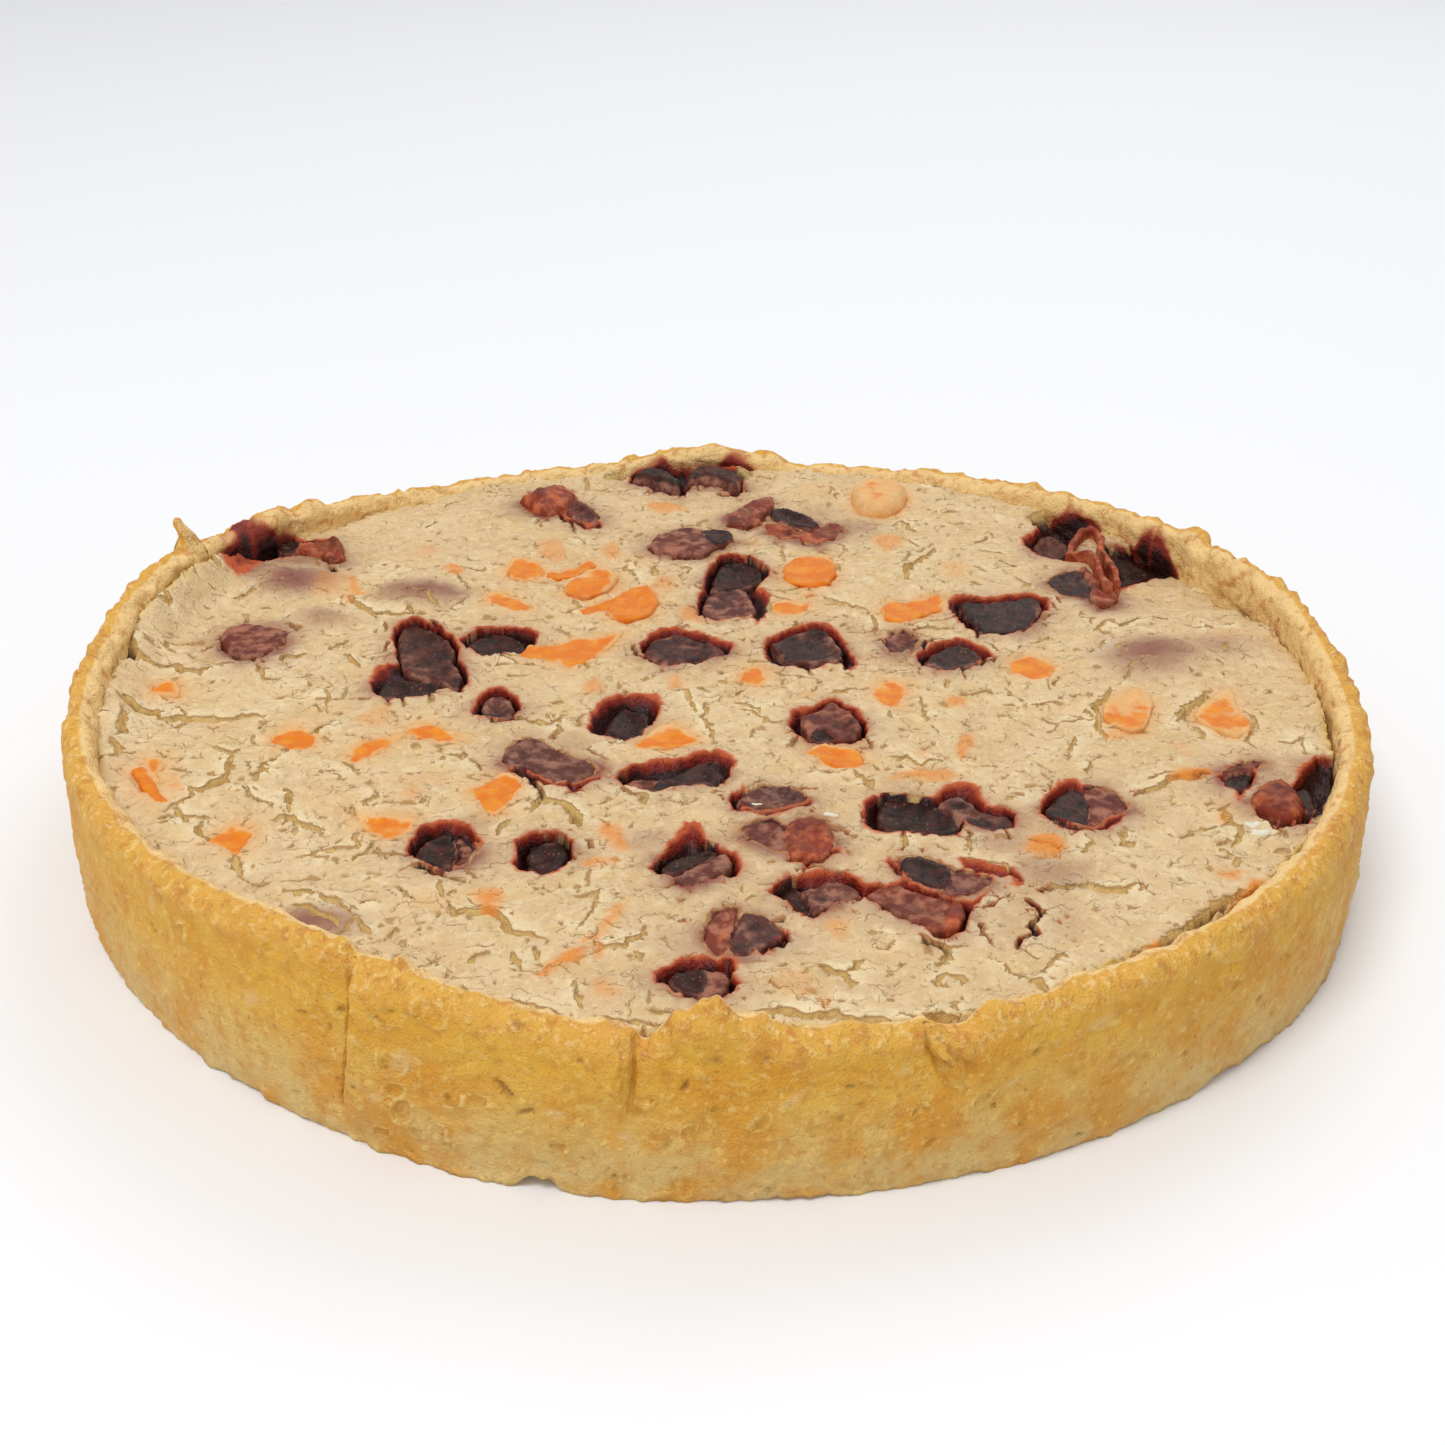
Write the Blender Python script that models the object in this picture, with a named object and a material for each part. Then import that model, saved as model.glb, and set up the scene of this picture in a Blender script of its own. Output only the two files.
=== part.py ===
"""A vegetable quiche, out of its tin: a shortcrust shell pressed together from strips of dough,
a pale savoury filling that cracked and shrank a little in the oven, and diced beetroot and carrot
that lie in pits in the filling.

The script's own unit is the millimetre, and make_object scales each finished mesh to metres.
+Z is up, and the origin is the middle of the underside, so z = 0 is the plate.
Azimuths are in degrees, counter-clockwise from +X, so -90 is the front of the photograph.
"""

import math
import random

import bmesh
import bpy
from mathutils import Matrix, Vector, noise

MM = 0.001

# ---------------------------------------------------------------- driving dimensions, in mm
OUTER_RADIUS = 128.7  # of the upright wall, baked in a round tin of 260 mm
FOOT_RADIUS = 127.2  # where the wall meets the plate
WALL_THICKNESS = 6.2
FLOOR_THICKNESS = 6.5  # of the pastry under the filling
CREST_INSET = 3.1  # from the outside of the wall to the crest of the rim
RIM_ROUNDING = 4.0  # how far below the crest the rim starts to turn over
FILLING_TOP = 27.5  # general level of the filling
FILLING_FLOOR = FLOOR_THICKNESS + 0.35
CLEARANCE = 0.4  # between the filling and what it touches
OVERSHOOT = 9.0  # how far a cutter stands above the filling
JOIN_DISTANCE = 0.02  # closer points are one point after a union

# Height of the rim's crest round the shell: azimuth, height.
RIM_HEIGHTS = (
    (-180, 35.6), (-165, 34.6), (-150, 34.2), (-135, 35), (-122, 36.3), (-117.5, 36.5), (-116, 34.5),
    (-113, 35), (-109, 34), (-104, 31.7), (-98, 31), (-96, 30), (-94.8, 28.6), (-92.5, 33.5),
    (-90, 36), (-88, 32.5), (-86.8, 33.4), (-85.5, 30.6), (-83.5, 30), (-81, 31), (-78, 29.6),
    (-75.8, 30.4), (-73.5, 27.6), (-70, 29.8), (-60, 30.8), (-48, 31), (-38, 32.2), (-20, 33.2),
    (-4, 32.8), (4, 34.6), (12, 36), (19, 35.4), (27, 34.8), (29, 35.6), (34, 33.6), (42, 32.8), (52, 32.2),
    (62, 30.9), (72, 29.3), (80, 28.6), (85, 31.4), (91, 32.6), (96, 32.2), (99.5, 30.4), (104, 28.9),
    (112, 28.7), (121, 29.2), (130, 30.4), (136, 32), (143, 35.2), (148, 36.4), (156, 36.8),
    (157.8, 38), (158.9, 43.5), (160.2, 37.2), (163, 39.2), (166, 38), (172, 36.8),
)

# How far the wall and its foot stray outwards from the round: azimuth, wall, foot.
BULGES = (
    (-180, 0.1, 0.6), (-160, 0.5, 0.6), (-135, -0.1, 0.2), (-118, 0.1, 0.4), (-108, 0.4, 1.7),
    (-98, 0.5, 1.8), (-88, 0.6, 1.2), (-70, 0.7, 1.0), (-50, 1.2, 1.6), (-35, 1.5, 2.2),
    (-22, 0.8, 1.4), (-10, -0.3, 0.6), (3, -0.5, 0.4), (20, 0.1, 0.2), (45, 0.2, 0.2), (90, 0.4, 0.4),
    (120, 0.2, 0.3), (145, 0.9, 0.6), (158, 1.3, 0.9), (168, 1.2, 0.8),
)

# Where the foot of the wall stands clear of the plate: azimuth, half width in degrees, height.
FOOT_ARCHES = ((-102.3, 2.0, 2.2), (-84, 4.0, 0.6), (-128, 5.0, 0.5), (-47, 5.0, 0.6), (60, 6.0, 0.5))
UNDERSIDE_RADIUS = 119.0  # inside which the underside lies flat on the plate

# Where the filling has shrunk from the wall: azimuth, width of the gap at the top.
SHRINK_GAPS = (
    (-180, 0.6), (-165, 0.9), (-150, 0.5), (-120, 0.5), (-98, 0.6), (-93, 1.9), (-82, 2.3),
    (-74, 1.6), (-66, 0.5), (-58, 1.8), (-48, 2.9), (-36, 2.8), (-28, 1.2), (-10, 1.9), (4, 1.2),
    (12, 1.4), (20, 3.0), (26, 0.7), (45, 0.5), (60, 0.6), (120, 0.5), (150, 0.9), (166, 1.7),
)
GAP_DEPTH = 8.0  # how far down the shrink gap reaches

# Joints between the strips of dough: azimuth at the crest, azimuth at the foot, height below which
# the joint has closed, step of the right-hand strip outwards (negative: the left one lies on top),
# depth of the groove, and how many degrees the step takes to fade.
SEAMS = (
    (-116.0, -117.8, 2, 1.7, 1.1, 9),
    (-95.6, -96.4, 15, -1.8, 1.0, 6),
    (-75.6, -69.5, 15, 1.3, 1.6, 8),
    (28.0, 27.0, 24, 1.5, 0.5, 9),
    (163.5, 165.5, 20, -1.0, 0.9, 7),
)
SEAM_HALF_WIDTH = 0.42  # degrees

# Covered lumps of vegetable that lift the skin of the filling, and the places where it has sunk:
# x, y, radius, height.
COVERED_LUMPS = (
    (108, 52, 30, -3.4), (80, 84, 16, -1.0), (-65, -91, 8, 0.9),
    (95, 10, 15, 2.2), (111, 18, 9, 1.3), (-68, 43, 13, 1.6), (-101, 48, 12, 1.6), (-88, 28, 9, 1.0),
    (24, 104, 10, 2.0), (-39, 68, 7, 0.9), (40, 75, 7, 0.8), (54, 59, 7, 0.8), (-71, -51, 11, 1.2),
    (-82, -54, 9, 0.9), (-16, -111, 7, 0.8), (18, -90, 7, 0.8), (-56, -48, 7, 0.9), (96, -53, 6, 1.0),
    (-55, 95, 20, 1.2), (32, -22, 8, 0.8), (-116, -22, 7, 0.9), (62, -103, 12, 0.9), (8, -110, 9, 0.7),
)

# Slips and ends of carrot too small to be nodes of their own, flush with the skin: x, y, radius.
CARROT_BITS = (
    (-15, 96, 4.5), (-62, 56, 3), (-26, 66, 4), (-82, 46, 4.5), (-12, 49, 3), (48, -9, 3.5),
    (-25, -5, 4), (-8, -2, 3), (-69, -16, 5), (47, -30, 3.5), (90, -38, 4), (-20, -72, 3.5),
    (-18, -91, 5), (-23, -104, 5), (-101, -45, 4), (15, -107, 3),
    (57, -66, 4.5), (-39, -86, 3.5),
)

# The pieces of beetroot. One row is one node, and pieces that touch share a row. Each piece:
# x, y, length, width, turn of its length in degrees, rise of its top above the filling, form.
BEETROOT = (
    ((-18, 112.5, 11.5, 8.5, -8, 3.4, "dice"),),
    ((-2.2, 113.3, 14, 8.5, 4, 3.6, "dice"),),
    ((-43, 97, 14, 11, 75, 4.2, "dome"), (-36, 90.5, 12, 7, -58, 1.6, "dice")),
    ((7, 91, 15, 9, 62, 2.2, "wedge"), (17.5, 85, 19, 12, -22, 1.6, "dice")),
    ((-8, 72, 18, 12, 3, 1.8, "dome"),),
    ((4, 56, 15, 11.5, 82, -0.8, "dice"),),
    ((3.2, 39.5, 14, 13.5, 88, -0.2, "dice"),),
    ((77.5, 72.5, 13, 8, 78, -0.6, "dice"),),
    ((86, 65, 8, 2.0, 68, 3.0, "curl"),),
    ((95, 59.5, 13, 11, 66, -2.2, "dice"),),
    ((78.5, 49, 14, 11, 105, 0.6, "dice"), (84.5, 43.5, 12, 6, 70, 1.4, "dice")),
    ((61.5, 34, 17.5, 17, 12, 0.6, "dice"),),
    ((-98.7, 61.5, 9, 7, 80, 1.0, "dice"), (-91.5, 62.5, 12.5, 10, -35, 2.2, "dome")),
    ((-99, 17.5, 14.5, 13, -22, 1.5, "dice"),),
    ((-63, 14.5, 25, 10.5, -69, -0.4, "dice"), (-61.5, -1.5, 15.5, 11.5, 14, -1.0, "dice")),
    ((-47.5, 18.2, 11.5, 11, 12, -1.8, "dice"),),
    ((-8, 15, 17.5, 14.5, 4, 0.2, "dice"),),
    ((19, 15.5, 15, 15, 10, 0.3, "dice"),),
    ((39.2, 18.5, 9.5, 9.5, 80, 0, "dice"), (49, 12.6, 13, 11, 28, -0.4, "dice")),
    ((-43.5, -13, 12, 9.5, 85, -0.4, "dice"),),
    ((-18.5, -18, 15, 12, 65, 0.2, "dice"),),
    ((21.5, -19.5, 13, 13, 18, 0.8, "dice"),),
    ((-31.5, -37, 20, 13, -44, 0.7, "dice"),),
    ((-7, -39.5, 20, 9.5, 17, -0.8, "dice"),),
    ((10.5, -48.5, 14, 11, -6, 0.7, "dome"), (14, -60.5, 16, 12.5, 82, 0.7, "dice")),
    ((35.3, -55, 15, 11.5, -8, -1.8, "dice"), (46.8, -52.5, 14, 8.5, 118, -0.6, "dice")),
    ((66.5, -51.5, 15, 14, 34, 0.6, "dice"),),
    (
        (97, -41, 7.5, 7, 40, -0.8, "dice"),
        (101.3, -48.5, 15, 9.5, 84, 2.6, "dome"),
        (107, -46, 12, 5.5, 70, -0.8, "dice"),
    ),
    ((-5, -69.8, 13.5, 5, 28, -1.4, "slab"), (-1.6, -73.6, 14, 6, 28, 0.4, "slab")),
    ((17.5, -82, 13.5, 12, 34, -0.4, "dice"),),
    ((41.5, -74, 17, 12.5, -24, 0.7, "dice"), (35.5, -85.5, 14, 12, -12, 0.2, "dice")),
    ((5, -93.5, 13, 11.5, 68, 0.7, "dice"),),
    ((-3.5, -107.2, 13, 9.5, 4, -0.4, "dice"),),
    ((-48.5, -68, 15, 10, -74, 0.1, "dice"),),
    ((-30.5, -69.5, 10.5, 9.5, 86, -1.8, "dice"),),
)

# The pieces of carrot, in the same way.
CARROT = (
    ((39.5, 104, 15, 12.5, 80, 3.6, "dice"),),
    ((20.5, 57, 15, 11.5, 78, 1.6, "dice"),),
    ((15.5, 36, 8.5, 7, 0, 0.2, "dice"),),
    ((42, 36, 15, 11, 28, 1.0, "wedge"),),
    ((-44, 57, 11, 9, -40, 0.8, "dice"), (-38.3, 56.6, 9, 6.5, 30, 1.0, "dice")),
    ((-29, 47.8, 13, 10, 62, 1.6, "dice"), (-20.5, 38.5, 16, 14, 25, 1.2, "wedge")),
    ((-47.5, 40, 12, 7.5, -28, 0.3, "dice"),),
    ((-31, 12.5, 20, 10, 36, 0.5, "wedge"),),
    ((7.2, 2.3, 9, 6.5, 80, 0.1, "dice"),),
    ((34.8, -5.5, 11.5, 8, 84, 0.3, "dice"),),
    ((65.5, 7, 9.5, 9, 0, 0.2, "dice"),),
    ((81, -12.5, 16, 11, 76, 1.6, "dice"),),
    ((99.5, -15, 17, 10.5, 112, 1.0, "dice"),),
    ((-111.5, -6.5, 10.5, 7, -62, 0.9, "dice"),),
    ((-82.5, -25, 10, 9, -55, 0.4, "dice"),),
    ((-66, -30.5, 11, 8.5, 30, 0.3, "dice"),),
    ((-55.5, -23.5, 12, 8, -50, 0.3, "dice"),),
    ((-7.6, -26, 9.5, 9, 8, 0.4, "wedge"),),
    ((22.5, -34.3, 10, 8.5, -18, 0.3, "dice"),),
    ((-107, -42, 15, 7, -62, 0.6, "dice"),),
    ((-42.2, -48.3, 13, 9, -64, 0.5, "dice"),),
    ((-60.8, -60, 11.5, 8.5, 4, 0.4, "dice"),),
    ((-86.5, -65.5, 9, 8.5, 30, 0.5, "dice"),),
)

# Wide cracks that go deep enough to be cut into the solid: their width, then their corners as x, y.
WIDE_CRACKS = (
    (2.6, ((-121.5, 5), (-113, 4), (-106.5, 1), (-101, 3), (-97.5, 6.5), (-91, 8.5))),
    (3.4, ((-119, -13.5), (-113, -17), (-106, -18.5), (-98, -19.5))),
    (2.4, ((-114, -17.5), (-116, -25), (-113.5, -34))),
    (1.8, ((-92, -40), (-92, -46), (-97, -50), (-99, -57))),
    (2.0, ((-83, -34.5), (-84, -38), (-86.5, -46))),
    (1.6, ((-85.5, 33.5), (-79, 31), (-75, 31.5), (-71, 30), (-62, 31.5))),
    (2.0, ((-37.5, -54.5), (-30, -53), (-26, -58), (-23, -62))),
    (1.8, ((51, 70), (48.5, 64), (44, 58), (42, 51))),
    (1.8, ((78.5, 24), (82, 28), (88, 29), (97, 31), (103, 32.5))),
    (2.0, ((103, 25.5), (108, 27), (114, 31))),
    (1.6, ((77, -50), (82, -46), (85.5, -41), (88, -44))),
    (1.8, ((92, -57), (91, -62), (89, -66))),
    (1.8, ((54, -83), (62, -81), (71, -80), (74, -83))),
    (2.0, ((54, -84.5), (52, -91), (49, -98))),
    (2.0, ((37, -97), (36, -103), (35, -107))),
    (1.8, ((49, -107), (53, -103), (56, -100))),
    (1.6, ((-37, -92), (-33, -94), (-27, -98))),
    (1.6, ((20, -100.5), (22.5, -105), (21.5, -110))),
)
CRACK_DEPTH = 4.2

# Pockets beside the wall that the shrunken pieces of beetroot left: x, y, length, width, turn, depth.
WALL_POCKETS = (
    (-10, 118, 36, 9, 0, 5.5),
    (83, 86, 18, 10, -46, 5.5),
    (102, 67, 16, 13, -40, 5.5),
    (-110, 62, 34, 10, 62, 5.5),
    (112.5, -45, 24, 9, 68, 4.5),
    (-121, 14, 12, 5, 82, 4),
)

FORM_DEPTH = {"dice": 10.0, "wedge": 9.0, "dome": 9.5, "slab": 9.0, "curl": 9.0}
CORNER_JITTER = 0.09  # of the piece's side
CORNER_ROUNDING = 0.15  # of the piece's shorter side
PIECE_TILT = 7.0  # degrees either way
CURL_ARC = 250.0  # degrees of the loop of beetroot peel
CURL_TILT = -62.0  # degrees from lying flat
PIT_FLARE = {"beetroot": 0.8, "carrot": 0.4}  # how far the mouth of a pit stands back

# Steps round the shell: an even ring, with extra steps close to each seam and at the rim's peaks.
EVEN_STEPS = 78
SEAM_STEPS = (-2.4, -1.3, -0.55, -0.2, 0.2, 0.55, 1.3, 2.4)
PEAK_AZIMUTHS = (-104.2, -103.1, -101.5, -100.4, -94.8, -90, -86.8, -83.5, 157.8, 158.9, 160.2)
CLOSEST_STEPS = 0.3  # degrees
FILLING_STEPS = 64
FILLING_CELL = 11.0  # mesh size of the lumpy top

# ---------------------------------------------------------------- small helpers


def smooth(low, high, value):
    """0 below low, 1 above high, and an even S between them."""
    share = max(0.0, min(1.0, (value - low) / (high - low)))
    return share * share * (3 - 2 * share)


def round_the_shell(table, azimuth):
    """The value of a table of azimuth and value, eased from each row to the next, right round."""
    azimuth = (azimuth + 180) % 360 - 180
    rows = sorted(table)
    rows = [(rows[-1][0] - 360, rows[-1][1]), *rows, (rows[0][0] + 360, rows[0][1])]
    for (start, first), (end, last) in zip(rows, rows[1:]):
        if azimuth <= end:
            return first + (last - first) * smooth(start, end, azimuth)
    return rows[-1][1]


def turn_between(azimuth, other):
    """Degrees from other to azimuth, between -180 and 180."""
    return (azimuth - other + 180) % 360 - 180


def unevenness(azimuth, height, size, seed):
    """Slow noise on the shell's wall, in steps of about size."""
    angle = math.radians(azimuth)
    place = Vector((math.cos(angle), math.sin(angle), 0)) * OUTER_RADIUS / size
    return noise.noise(place + Vector((seed, seed, height / size)))


def material(name, colour, roughness):
    """A plain Principled material, with a linear colour."""
    made = bpy.data.materials.new(name)
    made.use_nodes = True
    shader = made.node_tree.nodes["Principled BSDF"]
    shader.inputs["Base Color"].default_value = (*colour, 1)
    shader.inputs["Roughness"].default_value = roughness
    made.diffuse_color = (*colour, 1)
    return made


def make_object(name, shape, finish=None):
    """Turns a bmesh in millimetres into an object in metres."""
    bmesh.ops.scale(shape, vec=(MM, MM, MM), verts=shape.verts)
    mesh = bpy.data.meshes.new(name)
    shape.to_mesh(mesh)
    shape.free()
    if finish is not None:
        mesh.materials.append(finish)
    made = bpy.data.objects.new(name, mesh)
    bpy.context.scene.collection.objects.link(made)
    return made


def boolean(target, others, operation):
    """Applies one Boolean with all of others to target, and removes them."""
    group = bpy.data.collections.new("operands")
    bpy.context.scene.collection.children.link(group)
    for other in others:
        group.objects.link(other)
    modifier = target.modifiers.new(operation.lower(), "BOOLEAN")
    modifier.operation = operation
    modifier.operand_type = "COLLECTION"
    modifier.collection = group
    modifier.solver = "EXACT"
    graph = bpy.context.evaluated_depsgraph_get()
    joined = bpy.data.meshes.new_from_object(target.evaluated_get(graph))
    target.modifiers.clear()
    target.data = joined
    for other in others:
        bpy.data.objects.remove(other)
    bpy.data.collections.remove(group)


def keep_largest_body(made):
    """Drops the loose scraps that a cut leaves."""
    shape = bmesh.new()
    shape.from_mesh(made.data)
    waiting = set(shape.verts)
    bodies = []
    while waiting:
        body = set()
        edge = [waiting.pop()]
        while edge:
            vert = edge.pop()
            body.add(vert)
            near = [e.other_vert(vert) for e in vert.link_edges]
            new = [v for v in near if v in waiting]
            waiting.difference_update(new)
            edge.extend(new)
        bodies.append(body)
    largest = max(bodies, key=len)
    scraps = [v for body in bodies if body is not largest for v in body]
    bmesh.ops.delete(shape, geom=scraps, context="VERTS")
    shape.to_mesh(made.data)
    shape.free()


def drop_slivers(made):
    """Merges the points that a union leaves almost on top of each other."""
    shape = bmesh.new()
    shape.from_mesh(made.data)
    bmesh.ops.remove_doubles(shape, verts=shape.verts, dist=JOIN_DISTANCE * MM)
    bmesh.ops.dissolve_degenerate(shape, edges=shape.edges, dist=JOIN_DISTANCE * MM)
    bmesh.ops.triangulate(shape, faces=shape.faces)
    shape.to_mesh(made.data)
    shape.free()


# ---------------------------------------------------------------- the shell


def rim_height(azimuth):
    ripple = 0.35 * unevenness(azimuth, 0, 9, 3.1)
    return round_the_shell(RIM_HEIGHTS, azimuth) + ripple


def seam_offset(azimuth, height):
    """How far the joints of the dough strips push the outside of the wall out or in."""
    total = 0.0
    for top, foot, closed, step, groove, fade in SEAMS:
        share = min(1.0, height / FILLING_TOP)
        away = turn_between(azimuth, foot + (top - foot) * share)
        if abs(away) > fade:
            continue
        strength = smooth(closed, closed + 9, height)
        proud = abs(step) if step * away > 0 else -0.35 * abs(step)
        total += strength * proud * (1 - smooth(0, fade, abs(away)))
        total -= strength * groove * (1 - smooth(SEAM_HALF_WIDTH, 3 * SEAM_HALF_WIDTH, abs(away)))
    return total


def bulge(azimuth, column):
    """The stray of the wall (column 1) or of its foot (column 2)."""
    return round_the_shell([(row[0], row[column]) for row in BULGES], azimuth)


def wall_wave(azimuth, height):
    """The slow waviness that inside and outside of the wall share."""
    return bulge(azimuth, 1) + 0.5 * unevenness(azimuth, height, 34, 7.7) * smooth(2, 12, height)


def foot_height(azimuth):
    """How far the edge of the underside stands above the plate."""
    height = 0.0
    for middle, half_width, rise in FOOT_ARCHES:
        away = abs(turn_between(azimuth, middle)) / half_width
        height = max(height, rise * (1 - smooth(0.3, 1, away)))
    return height


def shell_section(azimuth):
    """The section of the shell at this azimuth, from the middle of its underside, up the outside,
    over the rim, down the inside and back along the floor: radius and height."""
    crest = rim_height(azimuth)
    start = crest - RIM_ROUNDING

    def outside(inset, height):
        lump = 0.35 * unevenness(azimuth, height, 11, 1.3)
        wave = wall_wave(azimuth, height) + seam_offset(azimuth, height) + lump
        return OUTER_RADIUS - inset + wave, height

    def inside(inset, height):
        return inner_radius(azimuth, height) - inset, height

    foot = FOOT_RADIUS + bulge(azimuth, 2) + 0.4 * unevenness(azimuth, 0, 8, 5.5)
    return [
        (0.0, 0.0),
        (UNDERSIDE_RADIUS, 0.0),
        (foot, foot_height(azimuth)),
        outside(0.5, 3.0),
        outside(0.0, 9.0),
        outside(0.0, 16.0),
        outside(0.1, 0.5 * (16.0 + start)),
        outside(0.3, start),
        outside(1.3, crest - 1.3),
        outside(CREST_INSET, crest),
        (inner_radius(azimuth, crest) + 1.5, crest - 0.9),
        inside(0.1, crest - 3.0),
        inside(0.0, 22.0),
        inside(1.6, 10.0),
        inside(4.2, FLOOR_THICKNESS),
        (0.0, FLOOR_THICKNESS),
    ]


def inner_radius(azimuth, height):
    return OUTER_RADIUS - WALL_THICKNESS + wall_wave(azimuth, height)


def shell_azimuths():
    """An even ring of steps, closer together at the seams and the rim's peaks."""
    wanted = [top + step for top, *_ in SEAMS for step in SEAM_STEPS]
    wanted += PEAK_AZIMUTHS
    wanted = sorted((a + 180) % 360 - 180 for a in wanted)
    kept = []
    for azimuth in wanted:
        if not kept or azimuth - kept[-1] > CLOSEST_STEPS:
            kept.append(azimuth)
    spacing = 360 / EVEN_STEPS
    for index in range(EVEN_STEPS):
        azimuth = -180 + index * spacing
        if all(abs(turn_between(azimuth, k)) > 0.45 * spacing for k in kept):
            kept.append(azimuth)
    return sorted(kept)


def spun_body(azimuths, section):
    """Spins the section once round Z in len(azimuths) steps, then sets each step to its own
    azimuth and its own section."""
    count = len(azimuths)
    shape = bmesh.new()
    start = [shape.verts.new((radius, 0, height)) for radius, height in section(azimuths[0])]
    rows = {vert: row for row, vert in enumerate(start)}
    edges = [shape.edges.new(pair) for pair in zip(start, start[1:])]
    bmesh.ops.spin(
        shape,
        geom=start + edges,
        cent=(0, 0, 0),
        axis=(0, 0, 1),
        angle=2 * math.pi,
        steps=count,
        use_merge=True,
    )
    profile = section(azimuths[0])
    sections = [section(azimuth) for azimuth in azimuths]
    for vert in shape.verts:
        radius = math.hypot(vert.co.x, vert.co.y)
        row = rows.get(vert)
        if row is None:
            row = min(range(len(profile)), key=lambda r: math.dist(profile[r], (radius, vert.co.z)))
        step = round(math.atan2(vert.co.y, vert.co.x) / (2 * math.pi / count)) % count
        new_radius, height = sections[step][row]
        angle = math.radians(azimuths[step])
        vert.co = (new_radius * math.cos(angle), new_radius * math.sin(angle), height)
    bmesh.ops.remove_doubles(shape, verts=shape.verts, dist=0.01)
    bmesh.ops.recalc_face_normals(shape, faces=shape.faces)
    return shape


def make_crust(finish):
    crust = make_object("crust", spun_body(shell_azimuths(), shell_section), finish)
    crust.data.shade_smooth()
    crust.data.set_sharp_from_angle(angle=math.radians(40))
    return crust


# ---------------------------------------------------------------- the pieces of vegetable


def piece_shape(piece, seed, rounded=True):
    """One dice, wedge, dome, slab or curl as a closed bmesh, in its place."""
    x, y, length, width, turn, rise, form = piece
    draw = random.Random(seed)
    depth = FORM_DEPTH[form]
    tilt = math.radians(CURL_TILT if form == "curl" else draw.uniform(-PIECE_TILT, PIECE_TILT))
    shape = bmesh.new()
    if form == "dome" and rounded:
        bmesh.ops.create_icosphere(shape, subdivisions=2, radius=0.5)
        for vert in shape.verts:
            vert.co *= 1 + draw.uniform(-0.06, 0.06)
    elif form == "dome":
        bmesh.ops.create_uvsphere(shape, u_segments=8, v_segments=4, radius=0.59)
    elif form == "curl":
        upright = Matrix.Translation((length - width, 0, 0)) @ Matrix.Rotation(math.pi / 2, 4, "X")
        bmesh.ops.create_circle(shape, segments=7, radius=width, matrix=upright)
        ring = shape.verts[:] + shape.edges[:]
        open_ring = math.radians(CURL_ARC)
        bmesh.ops.spin(shape, geom=ring, cent=(0, 0, 0), axis=(0, 0, 1), angle=open_ring, steps=12)
        bmesh.ops.holes_fill(shape, edges=shape.edges, sides=8)
    else:
        bmesh.ops.create_cube(shape, size=1)
        for vert in shape.verts:
            vert.co += Vector([draw.uniform(-CORNER_JITTER, CORNER_JITTER) for _ in range(3)])
            if form == "wedge" and vert.co.x > 0 and vert.co.z > 0:
                vert.co.z -= 0.3
    if form != "curl":
        bmesh.ops.scale(shape, vec=(length, width, depth), verts=shape.verts)
    if rounded and form in ("dice", "wedge", "slab"):
        bmesh.ops.bevel(
            shape,
            geom=shape.edges[:],
            offset=CORNER_ROUNDING * min(width, depth),
            offset_type="OFFSET",
            affect="EDGES",
            segments=1,
            profile=0.5,
            material=-1,
        )
    bmesh.ops.rotate(shape, matrix=Matrix.Rotation(tilt, 3, "X"), verts=shape.verts)
    bmesh.ops.rotate(shape, matrix=Matrix.Rotation(math.radians(turn), 3, "Z"), verts=shape.verts)
    lift = FILLING_TOP + rise - 0.5 * depth
    bmesh.ops.translate(shape, vec=(x, y, lift), verts=shape.verts)
    bmesh.ops.recalc_face_normals(shape, faces=shape.faces)
    return shape


def pit_shape(piece, seed, flare):
    """The pit round a piece: its hull, grown by the clearance and opening out upwards."""
    solid = piece_shape(piece, seed, rounded=False)
    points = [vert.co.copy() for vert in solid.verts]
    solid.free()
    middle = sum(points, Vector()) / len(points)
    mouth = FILLING_TOP + OVERSHOOT
    shape = bmesh.new()
    for point in points:
        away = point - middle
        grown = middle + away * (1 + 1.2 * CLEARANCE / (0.5 * min(piece[3], 9)))
        shape.verts.new(grown)
        flat = Vector((away.x, away.y, 0))
        if flat.length > 0.4 * piece[3]:
            reach = flat.length + flare * 2
            edge = middle + flat.normalized() * reach
            shape.verts.new((edge.x, edge.y, mouth))
    hull = bmesh.ops.convex_hull(shape, input=shape.verts)
    inner = [g for g in hull["geom_interior"] + hull["geom_unused"] if isinstance(g, bmesh.types.BMVert)]
    bmesh.ops.delete(shape, geom=list(set(inner)), context="VERTS")
    bmesh.ops.recalc_face_normals(shape, faces=shape.faces)
    return shape


def make_vegetables(kind, table, finish):
    """One object for each row of the table."""
    for number, row in enumerate(table, 1):
        name = f"{kind}_{number:02d}"
        pieces = []
        for index, piece in enumerate(row):
            own_name = name if index == 0 else f"{name}_piece_{index}"
            pieces.append(make_object(own_name, piece_shape(piece, f"{name}_{index}"), finish))
        if len(pieces) > 1:
            boolean(pieces[0], pieces[1:], "UNION")
            drop_slivers(pieces[0])


def vegetable_pits():
    """A cutter for each piece of vegetable."""
    cutters = []
    for kind, table in (("beetroot", BEETROOT), ("carrot", CARROT)):
        for number, row in enumerate(table, 1):
            for index, piece in enumerate(row):
                seed = f"{kind}_{number:02d}_{index}"
                cutters.append(make_object("pit_" + seed, pit_shape(piece, seed, PIT_FLARE[kind])))
    return cutters


# ---------------------------------------------------------------- the filling


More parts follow.
